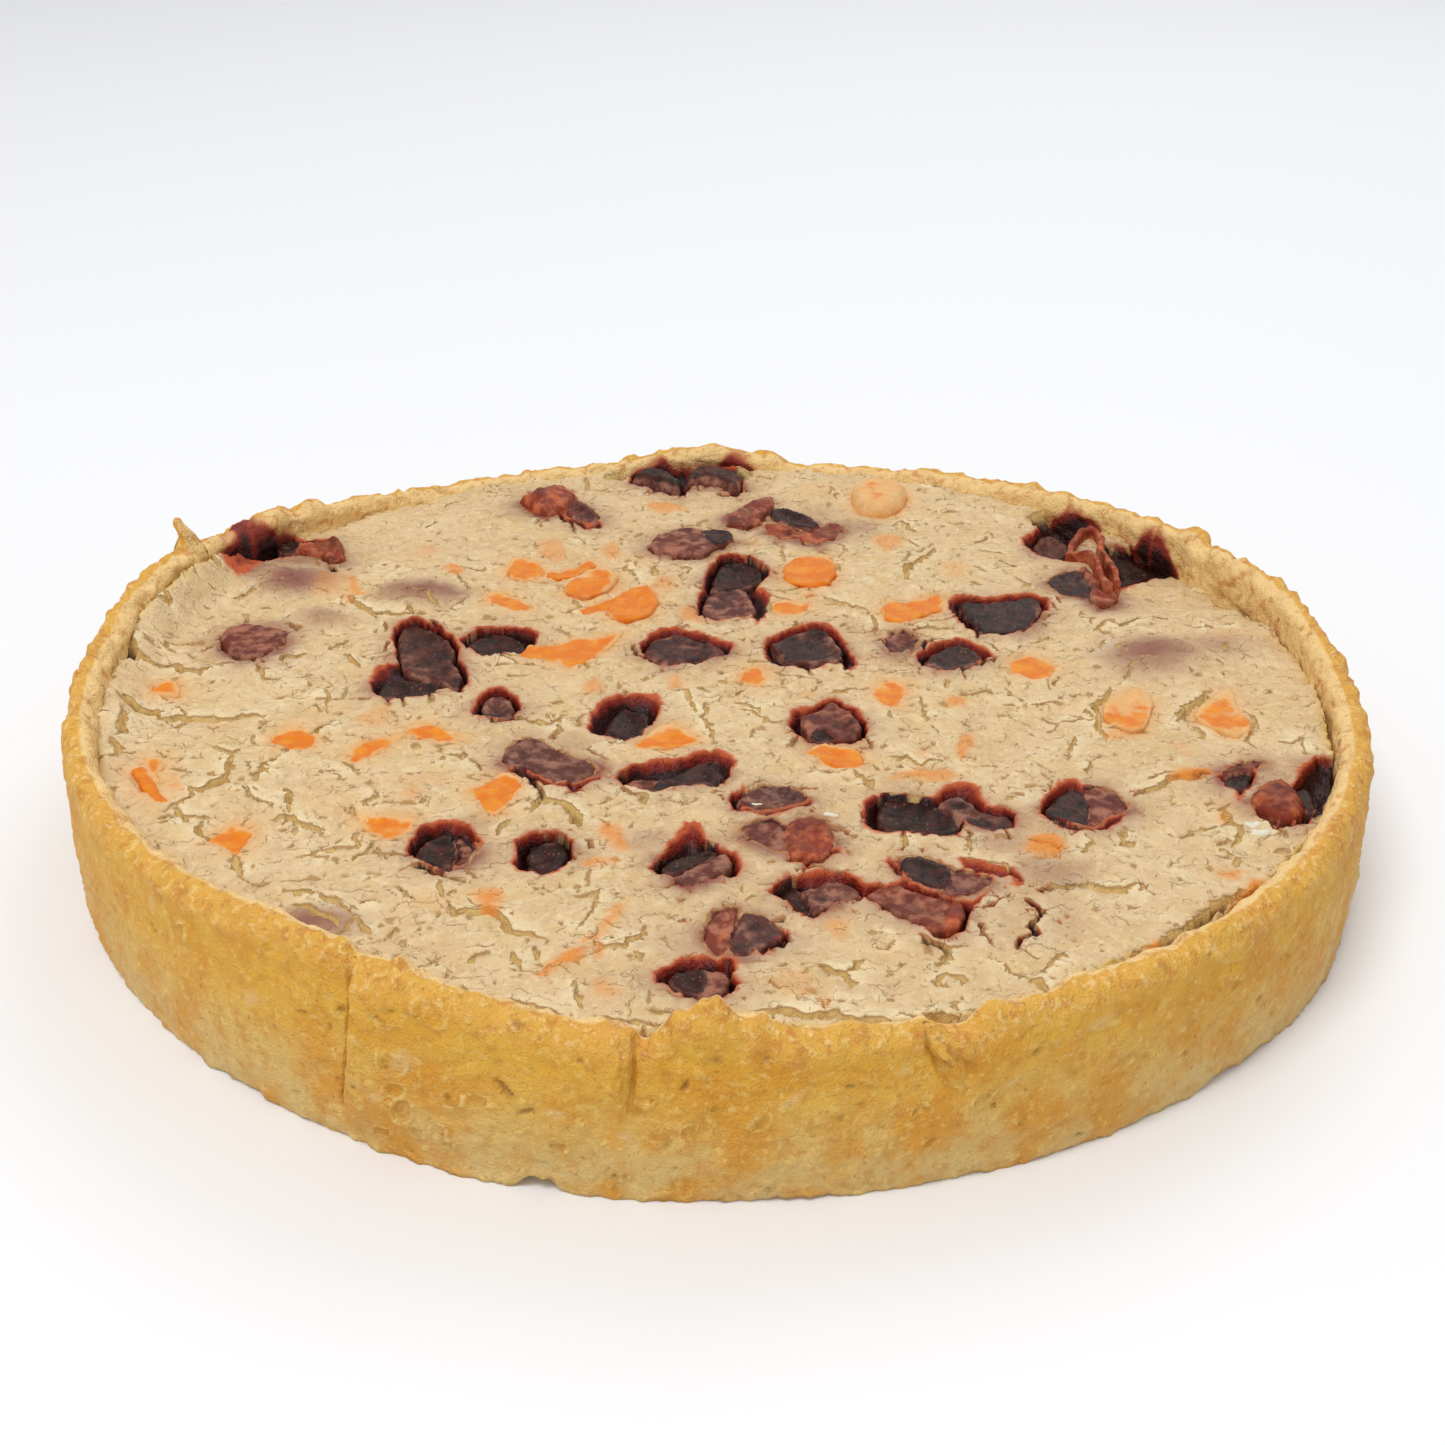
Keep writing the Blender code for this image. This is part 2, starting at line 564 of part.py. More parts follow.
def filling_height(x, y):
    """Level of the filling's skin: a slow swell, small lumps, and the covered vegetables."""
    place = Vector((x, y, 0))
    level = FILLING_TOP + 0.7 * noise.noise(place / 46) + 0.35 * noise.noise(place / 13)
    for lump_x, lump_y, radius, height in COVERED_LUMPS:
        away = math.hypot(x - lump_x, y - lump_y) / radius
        level += height * (1 - smooth(0.2, 1, away))
    for bit_x, bit_y, radius in CARROT_BITS:
        away = math.hypot(x - bit_x, y - bit_y) / radius
        level += 0.5 * (1 - smooth(0.4, 1, away))
    return level


def filling_section(azimuth):
    """The section of the filling's block before its top is shaped, a clearance inside the shell."""

    def edge(inset, height):
        return inner_radius(azimuth, height) - inset - CLEARANCE, height

    gap = round_the_shell(SHRINK_GAPS, azimuth)
    return [
        (0.0, FILLING_FLOOR),
        edge(4.2, FILLING_FLOOR),
        edge(1.6, 10.4),
        edge(0.3, FILLING_TOP - GAP_DEPTH),
        edge(max(0.2, 0.85 * gap), FILLING_TOP - 0.4 * GAP_DEPTH),
        edge(gap, FILLING_TOP),
        edge(gap, FILLING_TOP + OVERSHOOT),
        (0.0, FILLING_TOP + OVERSHOOT),
    ]


def air_above():
    """The space over the filling, whose underside is the lumpy skin."""
    reach = OUTER_RADIUS + 6
    cells = round(2 * reach / FILLING_CELL)
    shape = bmesh.new()
    bmesh.ops.create_grid(shape, x_segments=cells, y_segments=cells, size=reach)
    for vert in shape.verts:
        vert.co.z = filling_height(vert.co.x, vert.co.y)
    skin = shape.faces[:]
    upper = bmesh.ops.extrude_face_region(shape, geom=skin)
    for item in upper["geom"]:
        if isinstance(item, bmesh.types.BMVert):
            item.co.z = FILLING_TOP + 3 * OVERSHOOT
    bmesh.ops.recalc_face_normals(shape, faces=shape.faces)
    return make_object("air", shape)


def crack_cutter(width, corners):
    """A V-shaped groove along the corners, pinched at both ends."""
    shape = bmesh.new()
    bmesh.ops.create_circle(shape, segments=3, radius=1)
    ring = shape.edges[:]
    verts = shape.verts[:]
    last = len(corners) - 1
    for index, corner in enumerate(corners):
        if index:
            before = [vert.co.copy() for vert in verts]
            made = bmesh.ops.extrude_edge_only(shape, edges=ring)["geom"]
            ring = [item for item in made if isinstance(item, bmesh.types.BMEdge)]
            new = [item for item in made if isinstance(item, bmesh.types.BMVert)]
            verts = [min(new, key=lambda v: (v.co - place).length) for place in before]
        ends = index in (0, last)
        depth = CRACK_DEPTH * (0.35 if ends else 1.0)
        half = 0.5 * width * (0.35 if ends else 1.0) * (depth + OVERSHOOT) / depth
        along = Vector(corners[min(last, index + 1)]) - Vector(corners[max(0, index - 1)])
        across = Vector((-along.y, along.x, 0)).normalized() * half
        middle = Vector((*corner, FILLING_TOP + OVERSHOOT))
        verts[0].co = middle + across
        verts[1].co = middle - across
        verts[2].co = Vector((*corner, FILLING_TOP - depth))
    bmesh.ops.holes_fill(shape, edges=shape.edges, sides=3)
    bmesh.ops.recalc_face_normals(shape, faces=shape.faces)
    return make_object("crack", shape)


def pocket_cutter(x, y, length, width, turn, depth):
    """A round-bottomed pocket beside the wall."""
    shape = bmesh.new()
    bmesh.ops.create_uvsphere(shape, u_segments=12, v_segments=8, radius=0.5)
    for vert in shape.verts:
        if vert.co.z > 0.01:
            vert.co.z = 0.5 + vert.co.z
            if vert.co.xy.length > 0.01:
                vert.co.xy = vert.co.xy.normalized() * 0.6
    bmesh.ops.scale(shape, vec=(length, width, 2 * depth), verts=shape.verts)
    turned = Matrix.Rotation(math.radians(turn), 3, "Z")
    bmesh.ops.rotate(shape, matrix=turned, verts=shape.verts)
    bmesh.ops.translate(shape, vec=(x, y, FILLING_TOP), verts=shape.verts)
    bmesh.ops.recalc_face_normals(shape, faces=shape.faces)
    return make_object("pocket", shape)


def make_filling(finish):
    even = [-180 + 360 * index / FILLING_STEPS for index in range(FILLING_STEPS)]
    filling = make_object("filling", spun_body(even, filling_section), finish)
    boolean(filling, [air_above()], "DIFFERENCE")
    cracks = [crack_cutter(width, corners) for width, corners in WIDE_CRACKS]
    pockets = [pocket_cutter(*pocket) for pocket in WALL_POCKETS]
    boolean(filling, cracks + pockets + vegetable_pits(), "DIFFERENCE")
    keep_largest_body(filling)
    return filling


# ---------------------------------------------------------------- the whole quiche


def main():
    for old in list(bpy.data.objects):
        bpy.data.objects.remove(old)
    make_crust(material("baked_shortcrust", (0.62, 0.36, 0.12), 0.72))
    make_filling(material("cracked_filling", (0.62, 0.49, 0.32), 0.7))
    make_vegetables("beetroot", BEETROOT, material("beetroot", (0.09, 0.022, 0.022), 0.35))
    make_vegetables("carrot", CARROT, material("carrot", (0.82, 0.27, 0.06), 0.45))


main()
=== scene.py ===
# %% [markdown]
# # A vegetable quiche, out of its tin
#
# A shortcrust shell, a pale set filling that cracked as it baked, and diced beetroot and carrot in
# it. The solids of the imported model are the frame: each one is replaced here by a finer piece in
# the same place. Lengths are in millimetres, and each finished mesh is scaled to metres.

import math
import random

import bmesh
import bpy
import numpy as np
from mathutils import Matrix, Vector, noise


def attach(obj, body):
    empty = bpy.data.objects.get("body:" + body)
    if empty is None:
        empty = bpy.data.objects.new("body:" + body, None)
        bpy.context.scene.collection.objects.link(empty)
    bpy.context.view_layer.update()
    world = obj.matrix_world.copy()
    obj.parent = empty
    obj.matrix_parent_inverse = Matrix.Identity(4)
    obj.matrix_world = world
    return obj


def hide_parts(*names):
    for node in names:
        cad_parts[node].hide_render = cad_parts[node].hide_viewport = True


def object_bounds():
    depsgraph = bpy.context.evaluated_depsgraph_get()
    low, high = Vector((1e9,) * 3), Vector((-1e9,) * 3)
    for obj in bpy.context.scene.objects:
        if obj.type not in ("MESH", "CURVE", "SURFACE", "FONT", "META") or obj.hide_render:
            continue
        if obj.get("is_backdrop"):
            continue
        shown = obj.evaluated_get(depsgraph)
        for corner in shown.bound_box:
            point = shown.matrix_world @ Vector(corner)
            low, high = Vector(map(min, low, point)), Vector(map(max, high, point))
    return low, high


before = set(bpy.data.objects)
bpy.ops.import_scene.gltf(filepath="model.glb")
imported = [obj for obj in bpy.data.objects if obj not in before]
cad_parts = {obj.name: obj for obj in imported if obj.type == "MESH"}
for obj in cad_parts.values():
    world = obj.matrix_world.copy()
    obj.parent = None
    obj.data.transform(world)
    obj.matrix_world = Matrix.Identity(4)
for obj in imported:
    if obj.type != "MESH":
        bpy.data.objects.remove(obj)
solid_low, solid_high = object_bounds()
MM = 0.001
print("solids:", len(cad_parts), "box in mm:", [round(v / MM) for v in (solid_high - solid_low)])

# %% [markdown]
# ## The camera
#
# A photograph of a round thing gives the camera away: the ellipse of the foot and the ellipse of
# the rim fix its height, distance and tilt. The camera is made by code, so that a mark seen at a
# pixel of the photograph can be put on the surface that carries it: a ray through that pixel meets
# the filling's level or the round of the wall.

# %% Camera and the rays through its pixels
PHOTO_SIZE = 1445  # pixels each way
LENS = 49.83
SENSOR = 36.0
NEAREST_SEEN = 0.01  # metres
CAMERA_PLACE = Vector((0.8, -369.1, 208.5))
CAMERA_TARGET = Vector((0.8, 0.0, 17.1))
CAMERA_ROLL = math.radians(0.286)


def add_object(name, data):
    made = bpy.data.objects.new(name, data)
    bpy.context.scene.collection.objects.link(made)
    return made


camera_turn = (CAMERA_TARGET - CAMERA_PLACE).to_track_quat("-Z", "Y").to_matrix().to_4x4()
camera_turn = camera_turn @ Matrix.Rotation(CAMERA_ROLL, 4, "Z")
camera_data = bpy.data.cameras.new("camera")
camera_data.lens = LENS
camera_data.sensor_width = SENSOR
camera_data.clip_start = NEAREST_SEEN
camera = add_object("camera", camera_data)
camera.matrix_world = Matrix.Translation(CAMERA_PLACE * MM) @ camera_turn
bpy.context.scene.camera = camera


def photo_ray(px, py):
    """The direction in which the camera sees a pixel of the photograph."""
    focal = LENS / SENSOR * PHOTO_SIZE
    ray = Vector(((px - PHOTO_SIZE / 2) / focal, (PHOTO_SIZE / 2 - py) / focal, -1))
    return (camera_turn.to_3x3() @ ray).normalized()


def on_level(px, py, level):
    """x and y where a pixel's ray meets this height."""
    ray = photo_ray(px, py)
    place = CAMERA_PLACE + ray * ((level - CAMERA_PLACE.z) / ray.z)
    return place.x, place.y


def on_wall(px, py, radius):
    """Azimuth in degrees and height where a pixel's ray meets the near side of the round wall."""
    ray = photo_ray(px, py)
    a = ray.x**2 + ray.y**2
    b = CAMERA_PLACE.x * ray.x + CAMERA_PLACE.y * ray.y
    c = CAMERA_PLACE.x**2 + CAMERA_PLACE.y**2 - radius**2
    place = CAMERA_PLACE + ray * ((-b - math.sqrt(max(0.0, b * b - a * c))) / a)
    return math.degrees(math.atan2(place.y, place.x)), place.z


middle = PHOTO_SIZE / 2
print("the middle of the photograph meets the ground at", on_level(middle, middle, 0.0))

# %% [markdown]
# ## Helpers for whole arrays of points
#
# A baked surface is uneven at every size. Every piece below starts from a few mesh operators, and
# then all its points are moved at once. The helpers work on numpy arrays, because a loop over a
# hundred thousand points for each effect would be slow.

# %% Easing and noise


def smooth(low, high, value):
    """0 below low, 1 above high, and an even S between them."""
    share = np.clip((value - low) / (high - low), 0, 1)
    return share * share * (3 - 2 * share)


def field(x, y, z, seed=0.0, size=1.0):
    """Slow noise between about -1 and 1 at every point, in lumps of about this size."""
    x, y, z = np.broadcast_arrays(x, y, z)
    places = (x / size + seed, y / size - seed, z / size + seed)
    places = zip(*(place.ravel().tolist() for place in places))
    return np.array([noise.noise(place) for place in places]).reshape(x.shape)


def pushed(x, y, z, *pushes):
    """The points pushed about by noise. Each push says how far, the size and the seeds of x and y."""
    moved_x, moved_y = x, y
    for far, size, seed_x, seed_y in pushes:
        moved_x = moved_x + far * field(x / size, y / size, z, seed_x)
        moved_y = moved_y + far * field(x / size, y / size, z, seed_y)
    return moved_x, moved_y


def random_of(*values):
    """The same random number from 0 to 1 for the same values."""
    total = sum(value * factor for value, factor in zip(values, (12.9898, 78.233, 37.719)))
    return np.modf(np.abs(np.sin(total) * 43758.5453))[0]


def eased(table, azimuth, column=1):
    """A column of a table whose rows start with an azimuth, eased from row to row, right round."""
    rows = sorted(table)
    at = np.array([rows[-1][0] - 360] + [row[0] for row in rows] + [rows[0][0] + 360])
    value = np.array([rows[-1][column]] + [row[column] for row in rows] + [rows[0][column]])
    azimuth = (azimuth + 180) % 360 - 180
    row = np.clip(np.searchsorted(at, azimuth, side="right") - 1, 0, len(at) - 2)
    return value[row] + (value[row + 1] - value[row]) * smooth(at[row], at[row + 1], azimuth)


def azimuth_of(x, y):
    return np.degrees(np.arctan2(y, x))


def turn_between(azimuth, other):
    """Degrees from other to azimuth, between -180 and 180."""
    return (azimuth - other + 180) % 360 - 180


some = np.linspace(0, 40, 5)
print("noise in lumps of 10:", field(some, 0, 0, size=10).round(2))

# %% Ovals, lines and outlines


def turned(x, y, turn):
    """x and y along and across a direction that is turned by so many radians."""
    return x * math.cos(turn) + y * math.sin(turn), y * math.cos(turn) - x * math.sin(turn)


def oval_away(x, y, half_length, half_width, turn=0.0):
    """How far every point lies from the middle of an oval, in half lengths of the oval."""
    along, across = turned(x, y, turn)
    return np.hypot(along / half_length, across / half_width)


def strongest_oval(x, y, ovals, inner, outer, ragged=0.0):
    """How strongly a table's ovals show: each has its own strength up to inner, and 0 from outer."""
    total = np.zeros(x.shape)
    for oval_x, oval_y, across, deep, strength in ovals:
        away = oval_away(x - oval_x, y - oval_y, across, deep) + ragged
        total = np.maximum(total, strength * (1 - smooth(inner, outer, away)))
    return total


def pairs(numbers):
    """The corners that a row of numbers holds one after another."""
    return tuple(zip(numbers[::2], numbers[1::2]))


def near_corners(x, y, corners, reach):
    """Which points lie in the box round the corners, or less than reach beyond it."""
    low, high = np.min(corners, axis=0) - reach, np.max(corners, axis=0) + reach
    return (x > low[0]) & (x < high[0]) & (y > low[1]) & (y < high[1])


def distance_to_line(x, y, corners):
    """For every point: its distance from a line through the corners, how far along the line that
    is, 0 to 1, and on which side, -1 or 1."""
    best = np.full(x.shape, 1e9)
    along = np.zeros(x.shape)
    side = np.ones(x.shape)
    ends = list(zip(corners, corners[1:]))
    whole = sum(math.dist(*pair) for pair in ends)
    passed = 0.0
    for (x0, y0), (x1, y1) in ends:
        length = math.dist((x0, y0), (x1, y1))
        share = np.clip(((x - x0) * (x1 - x0) + (y - y0) * (y1 - y0)) / length**2, 0, 1)
        away = np.hypot(x - x0 - share * (x1 - x0), y - y0 - share * (y1 - y0))
        nearer = away < best
        best = np.where(nearer, away, best)
        along = np.where(nearer, (passed + share * length) / whole, along)
        side = np.where(nearer, np.sign((x - x0) * (y1 - y0) - (y - y0) * (x1 - x0)), side)
        passed += length
    return best, along, side


def distance_to_outline(x, y, corners):
    """For every point its distance from a closed outline, less than 0 inside it."""
    closed = [*corners, corners[0]]
    away = distance_to_line(x, y, closed)[0]
    inside = np.zeros(x.shape, bool)
    for (x0, y0), (x1, y1) in zip(closed, closed[1:]):
        crosses = (y0 > y) != (y1 > y)
        inside ^= crosses & (x < x0 + (y - y0) * (x1 - x0) / ((y1 - y0) or 1e-9))
    return np.where(inside, -away, away)


square = pairs((0, 0, 10, 0, 10, 10, 0, 10))
print("from a square's edge:", distance_to_outline(np.array([5.0, 12.0]), np.array([5.0, 5.0]), square))

# %% Helpers for finished pieces


def make_piece(name, shape, *nodes, slot):
    """Turns a bmesh in millimetres into a piece that rides on the quiche and replaces its nodes."""
    mesh = bpy.data.meshes.new(name)
    shape.to_mesh(mesh)
    shape.free()
    piece = add_object(name, mesh)
    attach(piece, "root")
    if nodes:
        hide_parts(*nodes)
    return piece


def points_of(mesh, what="co"):
    """The mesh's points as an array of three columns, in its own unit."""
    flat = np.empty(len(mesh.vertices) * 3)
    mesh.vertices.foreach_get(what, flat)
    return flat.reshape(-1, 3)


def move_points(mesh, points):
    mesh.vertices.foreach_set("co", np.ascontiguousarray(points, dtype=np.float32).ravel())
    mesh.update()


def normals_of(mesh):
    return points_of(mesh, "normal")


def paint(mesh, **layers):
    """Stores values for each point, which the materials read by name."""
    for name, values in layers.items():
        layer = mesh.attributes.new(name, "FLOAT", "POINT")
        layer.data.foreach_set("value", np.ascontiguousarray(values, dtype=np.float32).ravel())


def evaluated_mesh(piece):
    """The piece's mesh with its modifiers applied."""
    graph = bpy.context.evaluated_depsgraph_get()
    mesh = bpy.data.meshes.new_from_object(piece.evaluated_get(graph))
    piece.modifiers.clear()
    old = piece.data
    piece.data = mesh
    bpy.data.meshes.remove(old)
    return mesh


def triangles_of(mesh):
    return sum(len(face.vertices) - 2 for face in mesh.polygons)


def small_faces(piece, voxel, rounds):
    """Welds a piece's parts into small even faces by a voxel remesh, and rounds its corners."""
    remesh = piece.modifiers.new("small_faces", "REMESH")
    remesh.mode = "VOXEL"
    remesh.voxel_size = voxel
    mesh = evaluated_mesh(piece)
    shape = bmesh.new()
    shape.from_mesh(mesh)
    every_way = {"use_axis_x": True, "use_axis_y": True, "use_axis_z": True}
    for _ in range(rounds):
        bmesh.ops.smooth_vert(shape, verts=shape.verts, factor=0.5, **every_way)
    shape.to_mesh(mesh)
    shape.free()
    return mesh


def finish_mesh(piece):
    """Scales a piece's points from millimetres to metres, and shades it smooth."""
    move_points(piece.data, points_of(piece.data) * MM)
    piece.data.shade_smooth()
    low = points_of(piece.data).min(0) / MM
    high = points_of(piece.data).max(0) / MM
    box = [round(float(v), 1) for v in (*low, *high)]
    print(piece.name, triangles_of(piece.data), "triangles, box", box)


# %% [markdown]
# ## The shell's measures
#
# The shell is a low ring of pastry, pressed together by hand from strips of dough. Its wall stands
# upright because it was baked in a ring tin, its rim rises and dips all the way round, and where two
# strips meet there is a step and a groove. The tables hold what differs round the ring: an azimuth
# in degrees from +X, then the values there. They are those of the solid, but the hook, a shred of
# dough that stands up from the rim at the left-back, has more rows here.

# %% Tables of the shell
OUTER_RADIUS = 128.7
FOOT_RADIUS = 127.2
WALL_THICKNESS = 6.2
FLOOR_THICKNESS = 6.5
CREST_INSET = 3.1  # of the highest line of the rim from the outside of the wall
SHOULDER_INSET = 0.3  # of the wall where the rim's rounding starts
CREST_TO_INSIDE = 3.2  # from the highest line inwards
RIM_ROUNDING = 4.0
INSIDE_ROUNDING = 3.0
FILLING_TOP = 27.5
HIDDEN_LEVEL = 21.0  # the filling hides the inside of the wall below this height
UNDERSIDE_RADIUS = 119.0
FLOOR_RADIUS = 110.0

# azimuth, height of the crest
RIM_HEIGHTS = (
    (-180, 35.6), (-165, 34.6), (-150, 34.2), (-135, 35), (-122, 36.3), (-117.5, 36.5), (-116, 34.5),
    (-113, 35), (-109, 34), (-104, 31.7), (-98, 31), (-96, 30), (-94.8, 28.6), (-92.5, 33.5),
    (-90, 36), (-88, 32.5), (-86.8, 33.4), (-85.5, 30.6), (-83.5, 30), (-81, 31), (-78, 29.6),
    (-75.8, 30.4), (-73.5, 27.6), (-70, 29.8), (-60, 30.8), (-48, 31), (-38, 32.2), (-20, 33.2),
    (-4, 32.8), (4, 34.6), (12, 36), (19, 35.4), (27, 34.8), (29, 35.6), (34, 33.6), (42, 32.8),
    (52, 32.2), (62, 30.9), (72, 29.3), (80, 28.6), (85, 31.4), (91, 32.6), (96, 32.2), (99.5, 30.4),
    (104, 28.9), (112, 28.7), (121, 29.2), (130, 30.4), (136, 32), (143, 35.2), (148, 36.4),
    (156, 36.6), (157.9, 37.2), (158.5, 42.9), (159.1, 43.5), (160, 37), (163, 38.4), (166, 38),
    (172, 36.8),
)
HOOK_AZIMUTH = 158.9
HOOK_FOOT, HOOK_WAIST, HOOK_TIP = 36.6, 38.8, 43.0  # heights: it is thin from its waist upwards
# azimuth, stray of the wall outwards, stray of its foot outwards
BULGES = (
    (-180, 0.1, 0.6), (-160, 0.5, 0.6), (-135, -0.1, 0.2), (-118, 0.1, 0.4), (-108, 0.4, 1.7),
    (-98, 0.5, 1.8), (-88, 0.6, 1.2), (-70, 0.7, 1.0), (-50, 1.2, 1.6), (-35, 1.5, 2.2),
    (-22, 0.8, 1.4), (-10, -0.3, 0.6), (3, -0.5, 0.4), (20, 0.1, 0.2), (45, 0.2, 0.2), (90, 0.4, 0.4),
    (120, 0.2, 0.3), (145, 0.9, 0.6), (158, 1.3, 0.9), (168, 1.2, 0.8),
)
# azimuth, half width in degrees, height of the arch under the foot
FOOT_ARCHES = ((-102.3, 2.0, 2.2), (-84, 4.0, 0.6), (-128, 5.0, 0.5), (-47, 5.0, 0.6), (60, 6.0, 0.5))
# azimuth at the crest and at the foot, height below which it has closed, step of the right-hand
# strip outwards (negative: the left one lies on top), depth of the groove, degrees that it fades in
SEAMS = (
    (-116.0, -117.8, 2, 1.7, 1.1, 9),
    (-95.6, -96.4, 15, -1.8, 1.0, 6),
    (-75.6, -69.5, 15, 1.3, 1.6, 8),
    (28.0, 27.0, 24, 1.5, 0.5, 9),
    (163.5, 165.5, 20, -1.0, 0.9, 7),
)
SEAM_HALF_WIDTH = 0.2  # degrees

print("heights of the rim:", len(RIM_HEIGHTS), "joints of the strips:", len(SEAMS))

# %% Functions of the shell


def ripple(azimuth, height, size, seed):
    """Slow noise on the wall, in steps of about size."""
    angle = np.radians(azimuth)
    across = OUTER_RADIUS / size
    return field(np.cos(angle) * across + seed, np.sin(angle) * across + seed, height / size)


def rim_height(azimuth):
    return eased(RIM_HEIGHTS, azimuth) + 0.35 * ripple(azimuth, 0, 9, 3.1)


def wall_wave(azimuth, height):
    slow = 0.5 * ripple(azimuth, height, 34, 7.7) * smooth(2, 12, height)
    return eased(BULGES, azimuth) + slow


def seam_offset(azimuth, height):
    """How far the joints of the dough strips push the outside of the wall out or in."""
    total = np.zeros(np.broadcast(azimuth, height).shape)
    for top, foot, closed, step, groove, fade in SEAMS:
        share = np.minimum(1.0, height / FILLING_TOP)
        away = turn_between(azimuth, foot + (top - foot) * share)
        strength = smooth(closed, closed + 9, height)
        upper_side = smooth(-0.16, 0.16, away * (1 if step > 0 else -1))
        proud = abs(step) * (1.35 * upper_side - 0.35)
        total += strength * proud * (1 - smooth(0, fade, np.abs(away)))
        in_groove = 1 - smooth(SEAM_HALF_WIDTH, 2.6 * SEAM_HALF_WIDTH, np.abs(away))
        total -= 0.9 * strength * groove * in_groove
    return total


def foot_height(azimuth):
    height = np.zeros(azimuth.shape)
    for middle, half_width, rise in FOOT_ARCHES:
        away = np.abs(turn_between(azimuth, middle)) / half_width
        height = np.maximum(height, rise * (1 - smooth(0.3, 1, away)))
    return height


def inner_radius(azimuth, height):
    return OUTER_RADIUS - WALL_THICKNESS + wall_wave(azimuth, height)


quarters = np.array([-90.0, 0, 90, 180])
print("rim in mm at the front, right, back and left:", rim_height(quarters).round(1))

# %% [markdown]
# ## The shell's mesh
#
# The shell could be sculpted, but its section hardly changes on the way round, so it is spun: a
# section is drawn once as a line of edges, and bmesh.ops.spin turns it through 360 degrees with
# use_merge, so that the last step is welded to the first. After that each column of points is set
# to its own azimuth and its own section, which has the same rows as the one that was spun. The
# columns stand closer together at the joints, where a step of two millimetres has to look sharp, at
# the hook and across the front.

# %% Rows and columns of the shell
SHELL_STEPS = 940
OUTSIDE_ROWS = 46
ROUNDING_ROWS = 9
INSIDE_ROWS = 15
PLAIN_AZIMUTH = -140.0  # where no joint crosses the section that is spun


def section_rows():
    """The kind of each row of the section and its share of that stretch, from below, up the outside,
    over the rim, down the inside and back along the floor."""
    rows = [("under", 0.0), ("under", 0.5), ("under", 1.0), ("foot", 0.0), ("foot", 0.5)]
    rows += [("outside", step / OUTSIDE_ROWS) for step in range(OUTSIDE_ROWS)]
    rows += [("over", step / ROUNDING_ROWS) for step in range(2 * ROUNDING_ROWS)]
    rows += [("inside", step / INSIDE_ROWS) for step in range(INSIDE_ROWS)]
    rows += [("below", 0.0), ("below", 0.5), ("below", 1.0), ("floor", 0.5), ("floor", 1.0)]
    return rows


def column_azimuths(count):
    """Azimuths of the columns, drawn together at the joints."""
    fine = np.linspace(-180, 180, 7201)
    density = np.ones(fine.shape)
    for top, foot, *_ in SEAMS:
        density += 2.5 * np.exp(-(((fine - 0.5 * (top + foot)) / 1.6) ** 2))
    density += 1.5 * np.exp(-(((fine - HOOK_AZIMUTH) / 1.5) ** 2))
    density += 1.3 * smooth(-124, -116, fine) * smooth(-66, -74, fine)  # the marks at the front
    passed = np.concatenate([[0], np.cumsum(0.5 * (density[1:] + density[:-1]))])
    return np.interp(np.arange(count) / count * passed[-1], passed, fine)


widths = np.diff(column_azimuths(SHELL_STEPS))
print("columns from", widths.min().round(2), "to", widths.max().round(2), "degrees wide")

# %% Surface of the shell


def wall_lumps(azimuth, height):
    return 0.35 * ripple(azimuth, height, 11, 1.3)


def shell_surface(azimuth):
    """Radius, height and facing of every row at every azimuth, before the fine relief."""
    a = azimuth[:, None]
    crest = rim_height(a)
    start = crest - RIM_ROUNDING
    foot_level = foot_height(a)
    foot = FOOT_RADIUS + eased(BULGES, a, 2) + 0.4 * ripple(a, 0, 8, 5.5)
    columns = []
    for kind, share in section_rows():
        facing = (0.0, -1.0)
        if kind == "under":
            radius, height = UNDERSIDE_RADIUS * share, 0.0
        elif kind == "foot":
            radius = UNDERSIDE_RADIUS + (foot - UNDERSIDE_RADIUS) * (0.4 + 0.9 * share)
            height = foot_level * (0.3 + share)
        elif kind == "outside":
            height = foot_level + (start - foot_level) * share
            inset = 0.5 - 0.5 * smooth(3, 9, height) + 0.3 * smooth(16, start, height)
            wall = OUTER_RADIUS - inset + wall_wave(a, height) + seam_offset(a, height)
            wall = wall + wall_lumps(a, height)
            radius = foot + (wall - foot) * smooth(foot_level - 0.8, foot_level + 3.2, height)
            facing = (1.0, 0.0)
        elif kind == "over":
            turn = 0.5 * math.pi * share
            outwards, inwards = max(0.0, math.cos(turn)), max(0.0, -math.cos(turn))
            outer = OUTER_RADIUS - SHOULDER_INSET - (CREST_INSET - SHOULDER_INSET) * (1 - outwards)
            radius = outer - CREST_TO_INSIDE * inwards + wall_wave(a, crest)
            radius = radius + seam_offset(a, start) * outwards**0.5
            radius = radius + wall_lumps(a, start) * outwards
            fall = RIM_ROUNDING if share < 1 else INSIDE_ROUNDING
            height = crest - fall * (1 - math.sin(turn))
            facing = (math.cos(turn), math.sin(turn))
        elif kind == "inside":
            height = crest - INSIDE_ROUNDING + (HIDDEN_LEVEL - crest + INSIDE_ROUNDING) * share
            radius = inner_radius(a, height) - 0.1 * (1 - share)
            facing = (-1.0, 0.0)
        elif kind == "below":
            height = HIDDEN_LEVEL + (FLOOR_THICKNESS - HIDDEN_LEVEL) * (0.4 + 0.6 * share)
            radius = inner_radius(a, height) - 4.2 * (1 - smooth(6, 18, height))
            facing = (-1.0, 0.0)
        else:
            radius, height = FLOOR_RADIUS * (1 - share), FLOOR_THICKNESS
            facing = (0.0, 1.0)
        columns.append([value + 0 * a for value in (radius, height, *facing)])
    return [np.concatenate(parts, axis=1) for parts in zip(*columns)]


